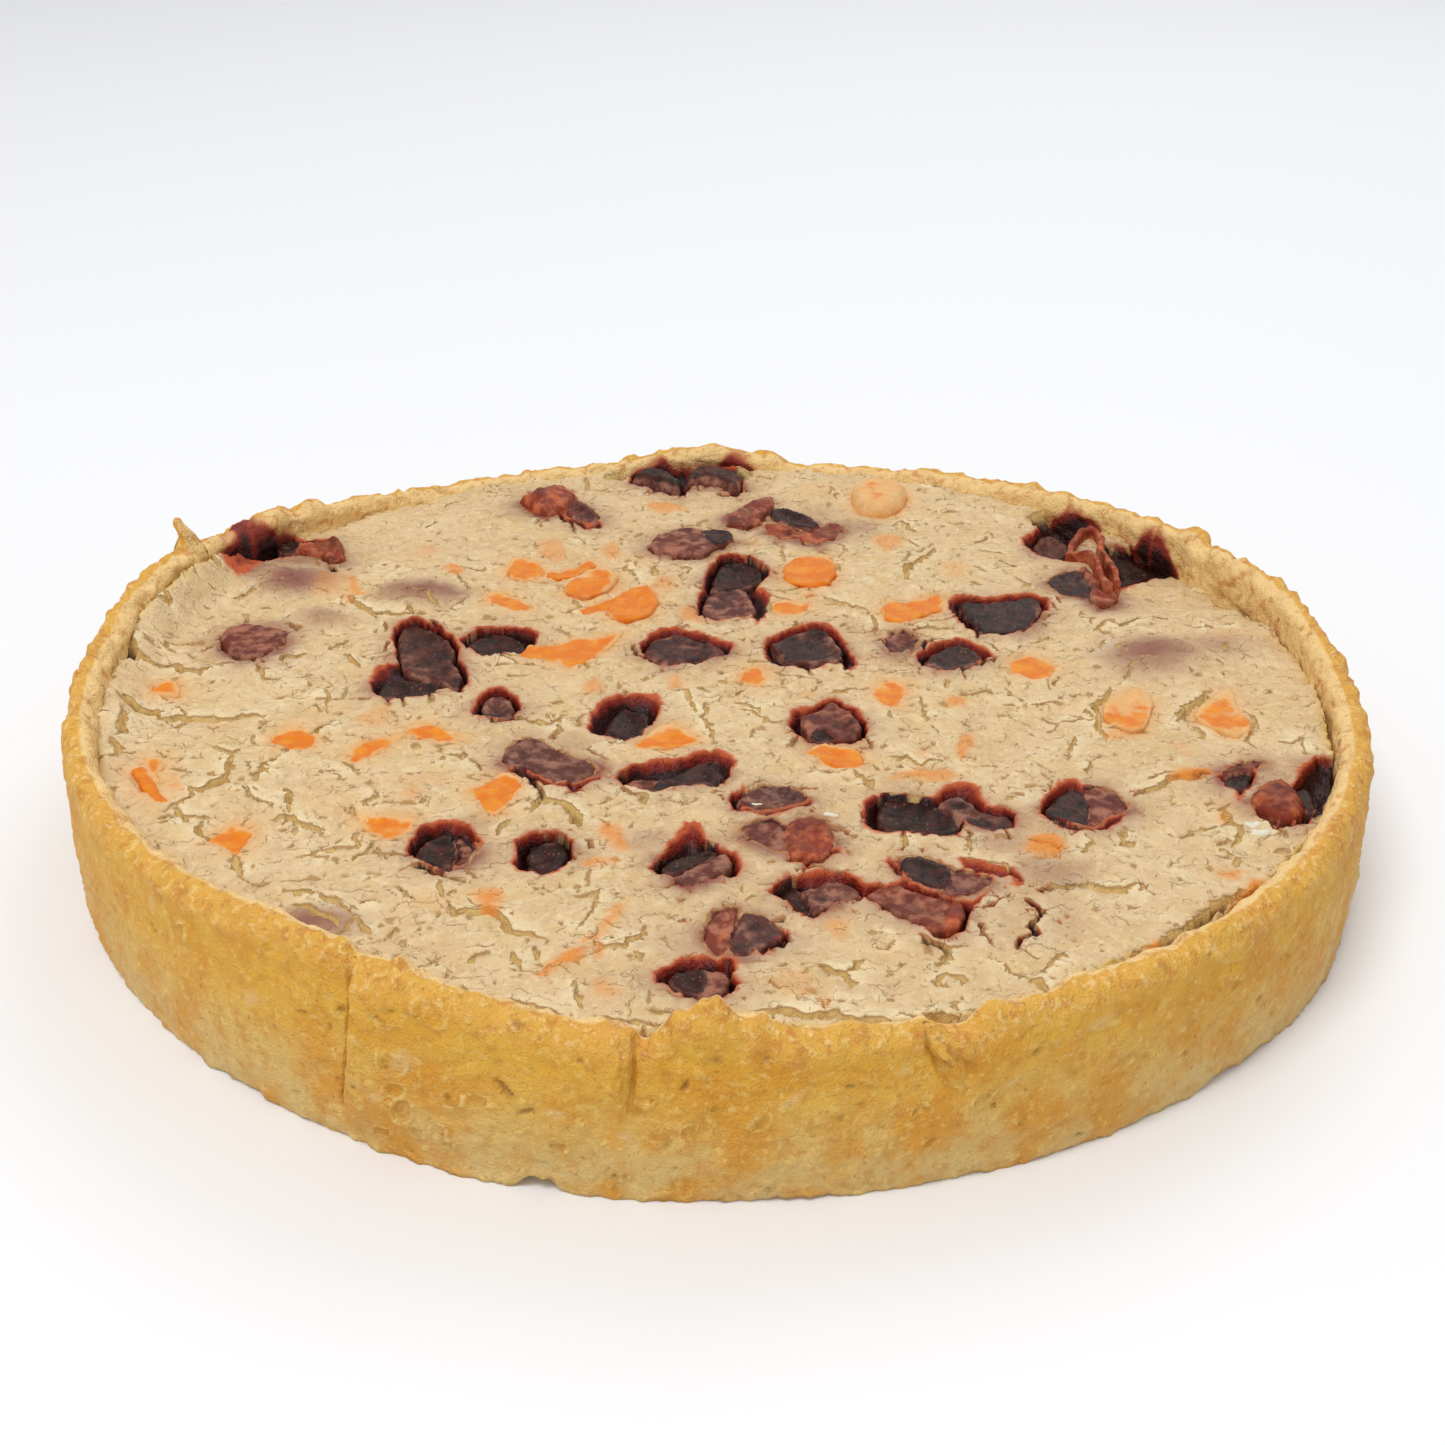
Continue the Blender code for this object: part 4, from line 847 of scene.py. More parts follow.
# Cracks, read from the photograph on the filling's level: width in mm, then x and y of the corners
CRACKS = (
    # left-back
    (0.5, -38, 107, -36.5, 104, -33, 103), (0.5, -34, 98, -31, 96.5, -27.5, 95.5),
    (0.6, -41.5, 92, -41.8, 87.5, -43, 83, -42, 81.5), (0.5, -43.5, 86, -45, 83.5),
    (1, -40, 91, -38.5, 86.5, -35.5, 83.5, -34.5, 79), (0.8, -35, 84, -31, 83.5, -29.5, 83),
    (0.5, -34.5, 76.5, -33, 74, -31.5, 72.5), (0.5, -43.5, 74, -43.5, 68.5, -45, 63.5),
    (0.4, -18.5, 107, -18, 102.5), (0.4, -19, 97, -18.5, 93, -16, 93.5), (0.5, -8.5, 108, -8.5, 101),
    (0.6, -6.5, 110, -5.5, 106.5), (0.4, -59.5, 64, -58.5, 61.5, -55.5, 61), (0.4, -75, 58, -74.5, 54),
    (0.7, -60, 52, -58, 48.5, -56.5, 45, -57, 43.5), (0.8, -64.5, 40, -64, 36.5, -62, 34.5),
    (0.7, -60, 31.5, -58.5, 36, -55, 40.5), (1.3, -84.5, 40, -81, 36, -78.5, 33.5, -76, 30, -74, 28.5),
    (1.2, -76, 29.5, -73.5, 31, -70.5, 31, -68, 30), (1, -69, 33.5, -67.5, 30, -62, 30.5),
    (1.3, -92.5, 60.5, -89.5, 56.5, -88, 54.5), (0.4, -92.5, 30, -94, 27.5, -92, 23),
    (0.8, -94.5, 24, -91, 22.5, -91.5, 20.5, -94, 19.5), (1.1, -93.5, 16, -94, 13.5, -92.5, 11.5),
    (0.4, -110, 23, -109.5, 19), (1, -106.5, 18, -104, 11.5, -102.5, 10),
    (1.6, -102.5, 8.5, -99.5, 6.5, -98, 5.5, -95.5, 7.5),
    (2.2, -122, 4.5, -117, 3.5, -113.5, 4, -110.5, 1, -107, 0.5, -104, 3.5, -100.5, 4.5),
    (0.8, -91.5, 9, -90.5, 7.5, -87.5, 8.5, -85.5, 9.5), (0.9, -91, 8, -91.5, 5.5),
    (0.9, -95.5, 4, -94, 1.5, -92.5, -2), (1, -77.5, 8.5, -75.5, 4.5, -74.5, 3),
    (1.2, -121, 60, -118, 56.5, -119.5, 54.5), (1.2, -114, 47, -112, 44.5),
    (1.2, -122, 44, -120, 39, -118.5, 36), (1.5, -119.5, 27, -118.5, 24.5, -121.5, 22.5),
    (1.2, -124, 20, -123.5, 12, -122.5, 4.5), (0.6, -72.5, 25.5, -71.5, 21),
    (1, -62.5, 28, -61, 24, -60, 20), (0.8, -53, 15, -51, 11, -46.5, 9, -42.5, 9.5),
    (0.7, -47, 9, -43, 7, -41, 5.5), (0.8, -18.5, 16, -16.5, 9.5, -13.5, 6.5, -13.5, 5.5),
    (0.8, -11, 6.5, -10.5, 4.5), (0.8, -7, 7.5, -3.5, 7), (0.6, -21.5, 58, -19.5, 50.5, -19, 48),
    (0.5, -20, 60, -18.5, 55), (1, -32.5, 38, -31.5, 33.5, -33.5, 30.5),
    (0.4, -49, 49.5, -44, 49.5, -41, 48.5), (0.6, -38, 45.5, -36, 44), (1, -9, 57, -6.5, 55.5, -8, 54),
    (0.5, -17, 66, -15.5, 64), (0.4, -34, 23.5, -34, 20.5), (0.8, -6.5, 36, -4, 31, -1, 29),
    # left-front
    (0.4, -83.5, -3.5, -83, -5.5), (0.4, -88.5, -0.5, -89, -3),
    (0.8, -80, -7, -79, -10, -78, -13, -77.5, -15.5), (0.7, -113, -9, -109, -12, -106.5, -13),
    (2.2, -118.5, -13, -116.5, -16, -112, -17.5, -110, -19.5),
    (0.7, -107.5, -15, -106, -17.5, -105, -20),
    (1.6, -110, -20, -103, -20.5, -98, -20.5, -91.5, -18.5, -88, -19.5),
    (1.5, -117, -20.5, -115.5, -24, -115, -28, -116, -29.5),
    (1.3, -115.5, -31, -113.5, -34, -113, -37.5), (0.6, -90.5, -26.5, -89, -30, -88.5, -32),
    (1.5, -78.5, -25.5, -76.5, -22.5, -73.5, -21.5), (0.4, -103, -30, -102.5, -32),
    (1, -97.5, -30.5, -95.5, -33, -92.5, -34.5, -91.5, -32),
    (1.3, -92.5, -34.5, -92, -39, -91, -42, -91, -45, -94.5, -48, -97, -49),
    (1.2, -82, -33, -83, -36, -85.5, -38.5, -85, -42, -86, -45.5),
    (0.8, -70.5, -38, -68.5, -41, -67, -44), (0.5, -66, -43.5, -60, -42, -55, -40),
    (0.5, -52, -35.5, -54, -38.5), (0.9, -47.5, -36, -46, -38.5, -44, -41),
    (0.8, -48, -18.5, -45, -19.5, -42, -21), (0.9, -42, -19.5, -37, -21, -33, -20.5, -30.5, -17),
    (1, -32, -21, -31, -25, -31.5, -28), (0.6, -88, -48, -85, -50.5, -82.5, -54, -80, -57),
    (1, -80.5, -48.5, -78, -52, -76.5, -57), (0.9, -100, -57, -96, -50.5, -97, -46.5),
    (0.9, -98.5, -56, -95.5, -58.5, -91, -58.5), (1.2, -93, -60, -91.5, -64, -89, -66.5),
    (0.9, -80, -59.5, -75.5, -59.5, -71, -62.5, -69.5, -65), (0.6, -75, -60, -74, -63.5),
    (0.7, -64, -62, -63, -67, -62.5, -69.5, -68, -70, -74, -70.5),
    (0.9, -66, -55, -64.5, -58, -62, -60), (0.7, -63.5, -48, -62.5, -51.5, -64, -55),
    (0.9, -84, -71, -82.5, -75, -80.5, -79.5), (0.6, -60, -70, -56, -71, -53, -72),
    (0.4, -68.5, -72, -68, -76), (1.1, -53.5, -76, -50, -75.5, -47, -78.5, -45.5, -79.5),
    (1, -44, -76.5, -40.5, -79), (1.3, -72.5, -82.5, -68, -84.5, -64, -87.5, -60.5, -90),
    (0.9, -60, -90, -58.5, -93, -56, -96), (0.7, -61, -90, -59, -86.5, -56, -86.5),
    (1.2, -71, -87, -67, -90, -61.5, -94), (0.7, -54.5, -81, -52, -84.5, -49.5, -87),
    (0.7, -47, -80.5, -46, -85.5),
    (1.2, -44.5, -86, -43.5, -89.5, -38, -90.5, -35.5, -91.5, -33.5, -96, -30, -96.5, -27, -98.5),
    (0.4, -39, -93, -37.5, -95.5), (0.8, -33.5, -100.5, -31.5, -104, -31, -106.5),
    (0.4, -52, -97, -49, -99), (0.5, -46, -103, -43.5, -105, -41, -107),
    (1.5, -32.5, -115.5, -28, -117, -23.5, -118.5),
    (0.7, -23.5, -95, -21.5, -92, -20.5, -88, -19.5, -83, -16, -83),
    (1, -12, -93, -11.5, -96, -14, -98, -15, -100, -18.5, -101, -20, -98), (0.8, -13, -101, -12, -104),
    (0.8, -22, -109, -21.5, -113, -20.5, -117), (0.4, -7.5, -92, -5, -92),
    (0.8, -9, -82, -6, -81, -4, -80), (0.8, -23, -65, -22, -69),
    (1.7, -34, -55, -31.5, -52, -29, -53.5, -26, -57, -24, -61),
    (1.6, -36.5, -42, -34, -46, -32, -50, -31, -52), (1, -28, -44, -26.5, -48.5),
    (0.9, -18, -46, -16, -50, -14, -50, -13.5, -53), (0.6, -20, -45.5, -18, -47),
    (1, -39.5, -64, -37.5, -60, -37, -57.5), (1.1, -10, -6, -7, -8, -5, -12, -4.5, -15),
    (0.9, -2.5, -11, -3, -20, -1, -26, -0.5, -30), (0.6, -20, -28, -24.5, -31, -25.5, -33),
    (0.6, -21, -29.5, -17, -28.5), (0.8, -63, -9, -62.5, -15), (0.7, -58, -8.5, -58.5, -13),
    (0.8, -99.5, -57, -97, -59, -95, -59),
    # right-front
    (0.6, 84, 0, 81, -3.5), (1.2, 79.5, -4, 78, -8, 76, -11, 75, -17, 74.5, -22, 75, -26),
    (0.6, 67, -16.5, 71, -17.5, 75, -18), (0.8, 76, -21, 78.5, -22, 81, -23, 84, -23),
    (1.4, 100, -5.5, 97, -9, 94.5, -12, 92, -14.5, 91, -17, 93, -18),
    (0.8, 93.5, -20, 94, -24, 94.5, -26), (0.9, 105, -15, 106, -19, 104, -22, 102, -27, 103, -30),
    (0.7, 58.5, -4, 60, -8, 62, -11, 61, -13), (0.5, 62, -12, 65, -11.5, 70, -11),
    (0.5, 68, 0, 67.5, -5), (0.4, 57, -15.5, 58, -18), (0.8, 69.5, -24, 68.5, -29, 67, -33, 66.5, -35),
    (0.7, 70.5, -34, 70.5, -37, 69, -40),
    (1, 76, -49, 80, -46.5, 83, -44, 85, -41, 87, -40.5, 93, -40.5),
    (1.2, 93, -52, 91.5, -55, 91, -57, 93, -60, 92, -64, 90, -66.5),
    (1.2, 95, -40, 94.5, -43, 96, -46, 96, -49.5), (1, 72.5, -60, 72, -64, 70.5, -66.5, 74, -66),
    (0.6, 64.5, -63, 65.5, -66.5, 63.5, -70, 65, -72.5), (0.5, 79.5, -76, 79, -79.5),
    (1.4, 54, -83, 57, -82, 62, -80.5, 66, -81, 71.5, -80.5), (0.8, 72, -79, 72, -82, 74, -83),
    (1.3, 52, -85, 54, -88, 52.5, -91, 51, -93, 52, -95, 50, -97, 49, -99.5),
    (0.8, 41, -90, 43, -92, 44, -96, 45, -99.5), (0.6, 44, -87, 47, -86, 49, -84),
    (1.2, 33, -95, 36, -97, 37.5, -99, 36.5, -104, 35.5, -105), (0.5, 26, -99.5, 28, -98.5, 30, -96),
    (1.1, 16, -103, 18, -106, 21, -106.5, 21.5, -111), (0.8, 24, -102, 21.5, -106),
    (0.6, 43, -102, 47, -106, 50, -107), (1, 50, -107, 52, -111), (1, 51, -106, 54, -103, 56, -100.5),
    (1, 34, -110, 36, -108, 40, -109), (0.5, 37, -113, 37, -116.5), (0.5, 16.5, -113, 17.5, -117),
    (1, 10, -95, 11.5, -97, 8, -100, 6, -99), (0.6, 5, -104.5, 9, -104),
    (0.7, 5.5, -62, 6.5, -64.5, 5, -66), (0.9, 12, -71, 14, -72.5, 16.5, -72),
    (0.7, 14, -90, 15.5, -92), (0.9, 28, -85, 31, -88, 34, -91, 37, -94),
    (0.7, 44, -61, 45, -64, 43.5, -66, 44, -69), (0.8, 50, -62, 51.5, -65, 49, -66),
    (0.9, 32.5, -63, 33, -68, 32, -69.5), (1.2, 42, -71, 46, -73, 50, -74, 51, -77, 52, -79.5),
    (0.8, 4, -15, 10, -19.5, 13, -22.5), (0.6, 3, -11, 6, -14, 8, -17), (1, 15, -26, 14, -29, 13, -31),
    (0.7, 28.5, -28, 30, -31), (1.2, 25.5, -40, 27, -43, 28.5, -47.5),
    (0.5, 16, -40.5, 20, -41, 26, -40),
    (0.6, 31.5, -33, 34, -35.5, 36, -34, 38, -37.5, 40, -36, 43.5, -38),
    (0.5, 33, -14, 34, -19, 35, -17), (0.6, 40.5, -9, 40.5, -13, 41, -19.5), (0.6, 41, -22, 43, -26),
    (0.5, 45, -34, 47, -37), (0.8, 55, -47, 56.5, -49, 53, -50), (0.6, 58, -50, 60, -53),
    (0.9, 60, -58, 64, -62, 67, -62.5), (0.5, 107, -27, 110, -29, 112, -27, 112, -34),
    (1.2, 98, -57, 100, -61, 101, -64),
    # right-back
    (0.9, 44, 87, 45.5, 84.5, 46, 82, 47.5, 80.5), (0.5, 42, 85, 45, 87.5, 48, 87, 50, 90),
    (0.4, 38, 84.5, 41, 83, 43, 82), (0.4, 53, 86, 54, 82), (0.4, 33, 89, 36, 85),
    (1.4, 51, 71, 49, 65, 46, 61.5, 43.5, 58, 43, 54, 42.5, 51.5), (0.6, 68, 54, 68.5, 50, 70, 46.5),
    (0.8, 76, 43, 76.5, 39), (0.5, 72, 43, 74, 38, 75, 35), (0.6, 80, 35, 81, 31, 81, 27),
    (1.2, 81, 23.5, 84, 28, 88, 26.5, 90, 28, 92, 30, 97, 31, 101, 32), (0.9, 82.5, 20, 81, 16, 79, 13),
    (1.4, 105, 30, 106, 27, 105.5, 25, 109, 26, 112, 29.5, 113.5, 29),
    (0.9, 86, 11.5, 84.5, 15, 88, 17.5), (0.6, 84, 4, 86, 6, 83, 0), (0.4, 104, 2, 104, -0.5),
    (0.4, 103.5, 8, 105, 6), (0.9, 57, 14, 58, 10, 56, 8, 54, 6, 51, 5, 51, 0),
    (0.5, 58.5, 15, 57, 17, 60, 13), (0.5, 69.5, 5, 68, 0), (0.4, 64, 17, 63, 13.5),
    (0.9, 55, 24, 58, 23, 61, 21.5, 64, 24, 66, 25.5), (0.8, 69, 29, 71, 27),
    (2, 51.5, 40, 52, 33, 53.5, 27, 55.5, 23.5),
    (0.7, 22.5, 41, 24, 39, 27, 36.5, 29, 34, 30, 32.5, 33, 32), (0.6, 45.5, 48, 46, 44, 48, 42),
    (0.7, 14.5, 70, 14.5, 64, 15, 60), (0.5, 27, 70, 29, 68, 28.5, 65), (0.6, 27, 59, 28, 55),
    (0.5, 8, 79, 6, 77, 5.5, 75), (0.8, 19, 74, 19.5, 71), (0.9, 5, 31.5, 8, 29, 8.5, 26),
    (0.8, 11, 8, 14, 5.5, 18, 6, 19, 1, 19.5, 0), (0.9, 27, 9, 28, 4.5), (0.5, 7, 13, 9.5, 12, 10, 7),
    (0.8, 33, 31, 34, 25, 33.5, 22), (0.8, 42, 25, 44, 27, 46, 25),
    (1.2, 42.5, 13, 44, 16, 47, 19, 49.5, 20), (0.8, 35, 19, 35.5, 14, 36, 12),
    (0.8, 119.5, 20, 118, 25, 117.5, 27), (0.6, 27.5, 108, 27, 101), (0.8, 51, 111, 54, 109.5, 57, 109),
    (0.5, 60, 69, 64, 67.5, 68, 67),
)
# Thin white flakes on the filling: pixel, pixel, half length and half width in mm
FLAKES = ((1251, 829, 1.5, 1.0), (1260, 836, 1.7, 1.0), (830, 818, 1.5, 0.7))
# Gaps that run along the wall at the front and the right: width in mm, then pixels
WALL_CRACKS = (
    (1.0, 500, 1011, 530, 1017, 562, 1020), (1.7, 597, 1020, 618, 1026, 638, 1029, 655, 1025),
    (1.7, 742, 1018, 780, 1015, 820, 1018, 862, 1022, 898, 1025, 930, 1021, 958, 1018, 984, 1024),
    (3.2, 1128, 968, 1150, 954, 1170, 946, 1190, 932, 1206, 918, 1224, 905, 1242, 892),
)
# x, y, length, width, turn, depth
WALL_POCKETS = (
    (-10, 118, 36, 9, 0, 5.5),
    (83, 86, 18, 10, -46, 5.5),
    (102, 67, 16, 13, -40, 5.5),
    (-110, 62, 34, 10, 62, 5.5),
    (112.5, -45, 24, 9, 68, 4.5),
    (-122, 3, 9, 3.6, 86, 3),
)
# azimuth, width of the gap at the top
SHRINK_GAPS = (
    (-180, 0.6), (-165, 0.9), (-150, 0.5), (-120, 0.5), (-98, 0.6), (-93, 1.9), (-82, 2.3),
    (-74, 1.6), (-66, 0.5), (-58, 1.8), (-48, 2.9), (-36, 2.8), (-28, 1.2), (-10, 1.9), (4, 1.2),
    (12, 1.4), (20, 3.0), (26, 0.7), (45, 0.5), (60, 0.6), (120, 0.5), (150, 0.9), (166, 1.7),
)
# Where the filling climbs the wall: azimuth, rise beside the wall
WALL_CLIMB = (
    (-180, 4.0), (-168, 3.0), (-158, 0.8), (-150, 0), (140, 0), (150, 0.5), (155, 5.2), (161, 7.0),
    (168, 7.0), (174, 5.2),
)
# Places where the skin stayed whole: x, y, radius across, radius in depth, how few cracks
SMOOTH_SKIN = (
    (-65, 80, 38, 24, 1.0), (82, 55, 26, 30, 0.8), (100, 10, 26, 26, 0.7), (88, -32, 26, 26, 0.75),
    (95, -20, 20, 20, 0.5), (-95, 75, 18, 14, 0.8), (30, 95, 25, 18, 0.6), (-25, 90, 20, 16, 0.4),
    (75, -85, 18, 14, 0.4),
)

# %% [markdown]
# ## Outlines of the vegetables
#
# No two of the diced vegetables have the same shape, so each one gets its own outline. The corners
# are pixels of the photograph, and the camera's rays put them on the skin. A piece of more than one
# part has a row for each. The pits are the dents round the beetroot, and the patches are carrot
# that lies just under the skin.

# %% Outlines of beetroot
# The number of the piece, how far its middle rises above the skin, how far in its top is rounded,
# how much film covers it, how red it is, and then its corners
BEETROOT_PARTS = (
    (1, 3.6, 3.5, 0.0, 0.0, 632, 485, 645, 488, 660, 492, 680, 496, 684, 489, 672, 481, 655, 476, 640,
     477),
    (2, 3.8, 3.5, 0.1, 0.1, 684, 494, 700, 487, 715, 489, 728, 494, 738, 495, 742, 486, 735, 478, 718,
     475, 700, 474, 688, 480),
    (3, 4.4, 6.0, 0.35, 1.0, 520, 504, 535, 497, 552, 493, 568, 494, 579, 502, 576, 511, 562, 516, 545,
     518, 531, 513),
    (3, 1.2, 2.0, 0.35, 0.3, 563, 510, 572, 503, 582, 504, 590, 509, 601, 518, 598, 525, 588, 527, 576,
     523, 566, 517),
    (4, 2.0, 2.5, 0.45, 0.55, 726, 529, 729, 520, 740, 513, 752, 506, 764, 502, 773, 502, 773, 509, 766,
     517, 759, 528, 744, 531),
    (4, 1.4, 1.5, 0.0, 0.0, 771, 513, 785, 512, 800, 516, 812, 521, 820, 529, 811, 534, 795, 531, 779,
     526, 771, 520),
    (4, 0.7, 2.0, 0.3, 0.85, 764, 526, 775, 524, 790, 530, 808, 534, 822, 527, 838, 524, 845, 530, 836,
     540, 818, 545, 799, 542, 781, 541, 767, 535),
    (5, 1.9, 4.0, 0.85, 0.2, 649, 551, 656, 541, 670, 535, 688, 532, 703, 535, 708, 545, 717, 552, 707,
     559, 690, 560, 672, 558, 657, 556),
    (5, 1.7, 1.5, 0.0, 0.0, 699, 536, 714, 534, 731, 537, 734, 543, 722, 550, 712, 552, 705, 546),
    (6, -1.0, 1.0, 0.0, 0.0, 710, 590, 713, 578, 717, 568, 723, 562, 735, 561, 748, 562, 757, 566, 765,
     573, 763, 580, 755, 586, 740, 588, 725, 591),
    (7, -0.5, 1.5, 0.5, 0.1, 702, 612, 704, 600, 708, 594, 722, 592, 738, 588, 748, 590, 753, 600, 756,
     612, 748, 617, 730, 618, 715, 620, 704, 617),
    (8, -0.6, 1.5, 0.0, 0.2, 1033, 545, 1040, 537, 1050, 534, 1060, 538, 1068, 545, 1072, 552, 1065,
     558, 1050, 560, 1040, 557, 1034, 551),
    (10, -2.2, 1.5, 0.0, 0.0, 1103, 553, 1115, 556, 1130, 560, 1145, 567, 1156, 573, 1148, 580, 1135,
     584, 1122, 586, 1112, 580, 1103, 568),
    (11, 0.3, 1.5, 0.15, 0.0, 1045, 583, 1050, 577, 1062, 572, 1075, 570, 1083, 572, 1090, 582, 1096,
     592, 1092, 600, 1080, 598, 1065, 596, 1052, 590),
    (11, 1.4, 2.0, 0.55, 0.6, 1078, 571, 1086, 571, 1095, 580, 1105, 590, 1119, 597, 1116, 605, 1102,
     610, 1091, 604, 1087, 590),
    (12, 0.4, 2.5, 0.08, 0.0, 959, 604, 968, 600, 985, 603, 1000, 601, 1015, 599, 1028, 597, 1039, 600,
     1043, 608, 1037, 618, 1029, 627, 1015, 634, 1000, 635, 985, 635, 975, 629, 967, 619, 961, 611),
    (13, 1.0, 1.5, 0.0, 0.0, 277, 546, 285, 542, 296, 545, 310, 544, 327, 543, 325, 549, 305, 551, 293,
     557, 284, 557, 277, 553),
    (13, 1.9, 2.0, 0.3, 0.9, 296, 549, 312, 547, 325, 547, 331, 541, 337, 541, 342, 548, 344, 558, 345,
     563, 338, 567, 329, 566, 324, 560, 310, 557, 296, 556),
    (14, 1.5, 3.5, 0.9, 0.3, 221, 639, 229, 630, 244, 626, 262, 628, 276, 632, 289, 635, 285, 645, 275,
     653, 262, 660, 245, 662, 231, 656, 224, 648),
    (15, -0.5, 1.5, 0.15, 0.12, 397, 640, 402, 627, 412, 624, 425, 626, 438, 632, 450, 640, 456, 650,
     454, 662, 461, 673, 464, 681, 459, 688, 451, 688, 443, 681, 428, 678, 414, 674, 402, 668, 398,
     655),
    (15, -0.8, 1.2, 0.0, 0.0, 376, 697, 381, 685, 390, 679, 405, 680, 420, 680, 435, 682, 443, 690, 430,
     694, 410, 697, 390, 699),
    (16, -1.4, 1.0, 0.0, 0.0, 468, 642, 478, 637, 490, 635, 503, 634, 515, 637, 526, 643, 527, 649, 518,
     653, 505, 656, 490, 657, 478, 655, 470, 650),
    (17, 0.3, 2.0, 0.25, 0.1, 644, 650, 650, 641, 660, 637, 672, 634, 685, 636, 697, 640, 710, 643, 723,
     648, 725, 654, 712, 659, 700, 661, 685, 663, 670, 667, 660, 665, 650, 659),
    (18, 0.2, 1.2, 0.25, 0.0, 770, 644, 785, 637, 800, 632, 813, 629, 825, 631, 834, 637, 841, 647, 844,
     658, 835, 662, 820, 663, 803, 663, 789, 663, 781, 656, 775, 650),
    (19, 0.2, 2.0, 0.45, 0.2, 883, 641, 889, 634, 903, 631, 915, 635, 921, 642, 915, 650, 905, 654, 892,
     656, 886, 650),
    (19, -0.2, 1.2, 0.2, 0.0, 924, 661, 932, 653, 945, 647, 955, 644, 968, 647, 979, 652, 984, 658, 975,
     665, 960, 669, 945, 671, 932, 669, 925, 665),
    (20, -0.5, 1.0, 0.5, 0.0, 484, 701, 491, 694, 503, 695, 512, 701, 516, 710, 511, 719, 498, 720, 484,
     718, 482, 708),
    (21, -1.4, 1.0, 0.0, 0.0, 604, 731, 611, 719, 617, 710, 626, 708, 637, 712, 650, 716, 650, 726, 641,
     734, 628, 740, 615, 737),
    (22, 0.9, 1.5, 0.45, 0.35, 802, 727, 800, 718, 810, 715, 820, 713, 826, 706, 834, 704, 841, 709,
     851, 714, 859, 722, 861, 732, 855, 742, 845, 743, 835, 741, 827, 735, 815, 733, 806, 735),
    (22, 0.2, 0.8, 0.0, 0.0, 808, 737, 815, 730, 826, 732, 835, 739, 826, 743, 813, 741),
    (23, 1.0, 4.0, 0.75, 0.0, 500, 763, 507, 750, 518, 742, 531, 739, 546, 745, 559, 752, 571, 757, 586,
     762, 599, 771, 590, 780, 578, 784, 565, 786, 552, 784, 540, 779, 528, 773, 514, 769),
    (24, -0.6, 1.2, 0.1, 0.0, 650, 789, 655, 781, 670, 775, 685, 768, 697, 762, 708, 762, 717, 768, 726,
     776, 721, 784, 705, 787, 690, 786, 675, 789, 660, 791),
    (24, -1.4, 1.0, 0.3, 0.2, 620, 784, 632, 779, 650, 779, 664, 778, 655, 789, 640, 789, 627, 788),
    (25, 0.6, 3.0, 0.55, 0.0, 736, 801, 744, 793, 760, 787, 775, 785, 790, 787, 803, 792, 810, 800, 800,
     806, 785, 809, 770, 813, 755, 811, 741, 807),
    (25, 0.5, 2.0, 0.7, 0.2, 741, 827, 755, 822, 770, 820, 780, 824, 788, 832, 791, 842, 786, 851, 774,
     852, 761, 846, 749, 839, 742, 833),
    (25, 1.1, 2.0, 0.2, 0.9, 782, 834, 788, 825, 799, 820, 812, 818, 825, 821, 832, 832, 834, 845, 831,
     856, 820, 861, 805, 862, 791, 860, 785, 850),
    (26, -1.5, 0.8, 0.0, 0.0, 877, 812, 880, 801, 890, 799, 905, 800, 922, 803, 941, 808, 954, 815, 959,
     826, 955, 834, 942, 835, 925, 834, 905, 831, 888, 829, 878, 824),
    (26, -0.2, 2.0, 0.35, 0.0, 937, 803, 947, 796, 960, 795, 972, 801, 979, 809, 992, 813, 1006, 815,
     1013, 820, 1009, 828, 995, 831, 979, 829, 966, 822, 953, 813, 943, 809),
    (27, 0.3, 2.0, 0.0, 0.0, 1044, 813, 1050, 804, 1058, 796, 1068, 791, 1080, 790, 1089, 798, 1092,
     812, 1088, 826, 1077, 829, 1064, 825, 1051, 818),
    (27, 0.6, 2.5, 0.7, 0.25, 1080, 790, 1095, 786, 1108, 789, 1120, 797, 1129, 808, 1122, 815, 1108,
     820, 1096, 827, 1086, 829, 1088, 812, 1084, 799),
    (28, -0.6, 1.0, 0.0, 0.0, 1220, 783, 1230, 776, 1242, 773, 1251, 775, 1252, 783, 1245, 790, 1235,
     791, 1225, 788),
    (28, 0.4, 1.5, 0.2, 0.4, 1218, 775, 1235, 765, 1258, 760, 1268, 763, 1255, 770, 1235, 775),
    (28, 3.0, 5.0, 0.15, 1.0, 1250, 803, 1257, 793, 1266, 785, 1280, 783, 1292, 790, 1302, 802, 1304,
     814, 1297, 823, 1284, 823, 1270, 818, 1258, 811),
    (28, -0.8, 1.0, 0.0, 0.0, 1292, 790, 1304, 785, 1312, 793, 1318, 807, 1312, 815, 1303, 808),
    (29, -1.2, 0.6, 0.0, 0.0, 660, 869, 672, 860, 690, 853, 708, 849, 721, 849, 716, 856, 700, 863, 685,
     870, 673, 876, 664, 874),
    (29, 0.2, 1.2, 0.75, 0.1, 672, 877, 685, 870, 700, 863, 715, 856, 725, 852, 733, 861, 730, 870, 716,
     877, 701, 884, 688, 890, 679, 889, 674, 883),
    (30, -1.4, 0.8, 0.0, 0.05, 779, 892, 789, 885, 798, 887, 806, 897, 813, 908, 811, 917, 802, 913,
     792, 906, 783, 899),
    (30, 0.0, 1.5, 0.55, 0.1, 797, 889, 814, 885, 828, 879, 843, 880, 857, 888, 860, 894, 848, 900, 835,
     905, 822, 909, 813, 912, 805, 901),
    (31, 0.6, 2.0, 0.1, 0.0, 896, 863, 904, 857, 920, 856, 935, 861, 948, 867, 956, 876, 950, 889, 938,
     892, 922, 888, 908, 881, 899, 872),
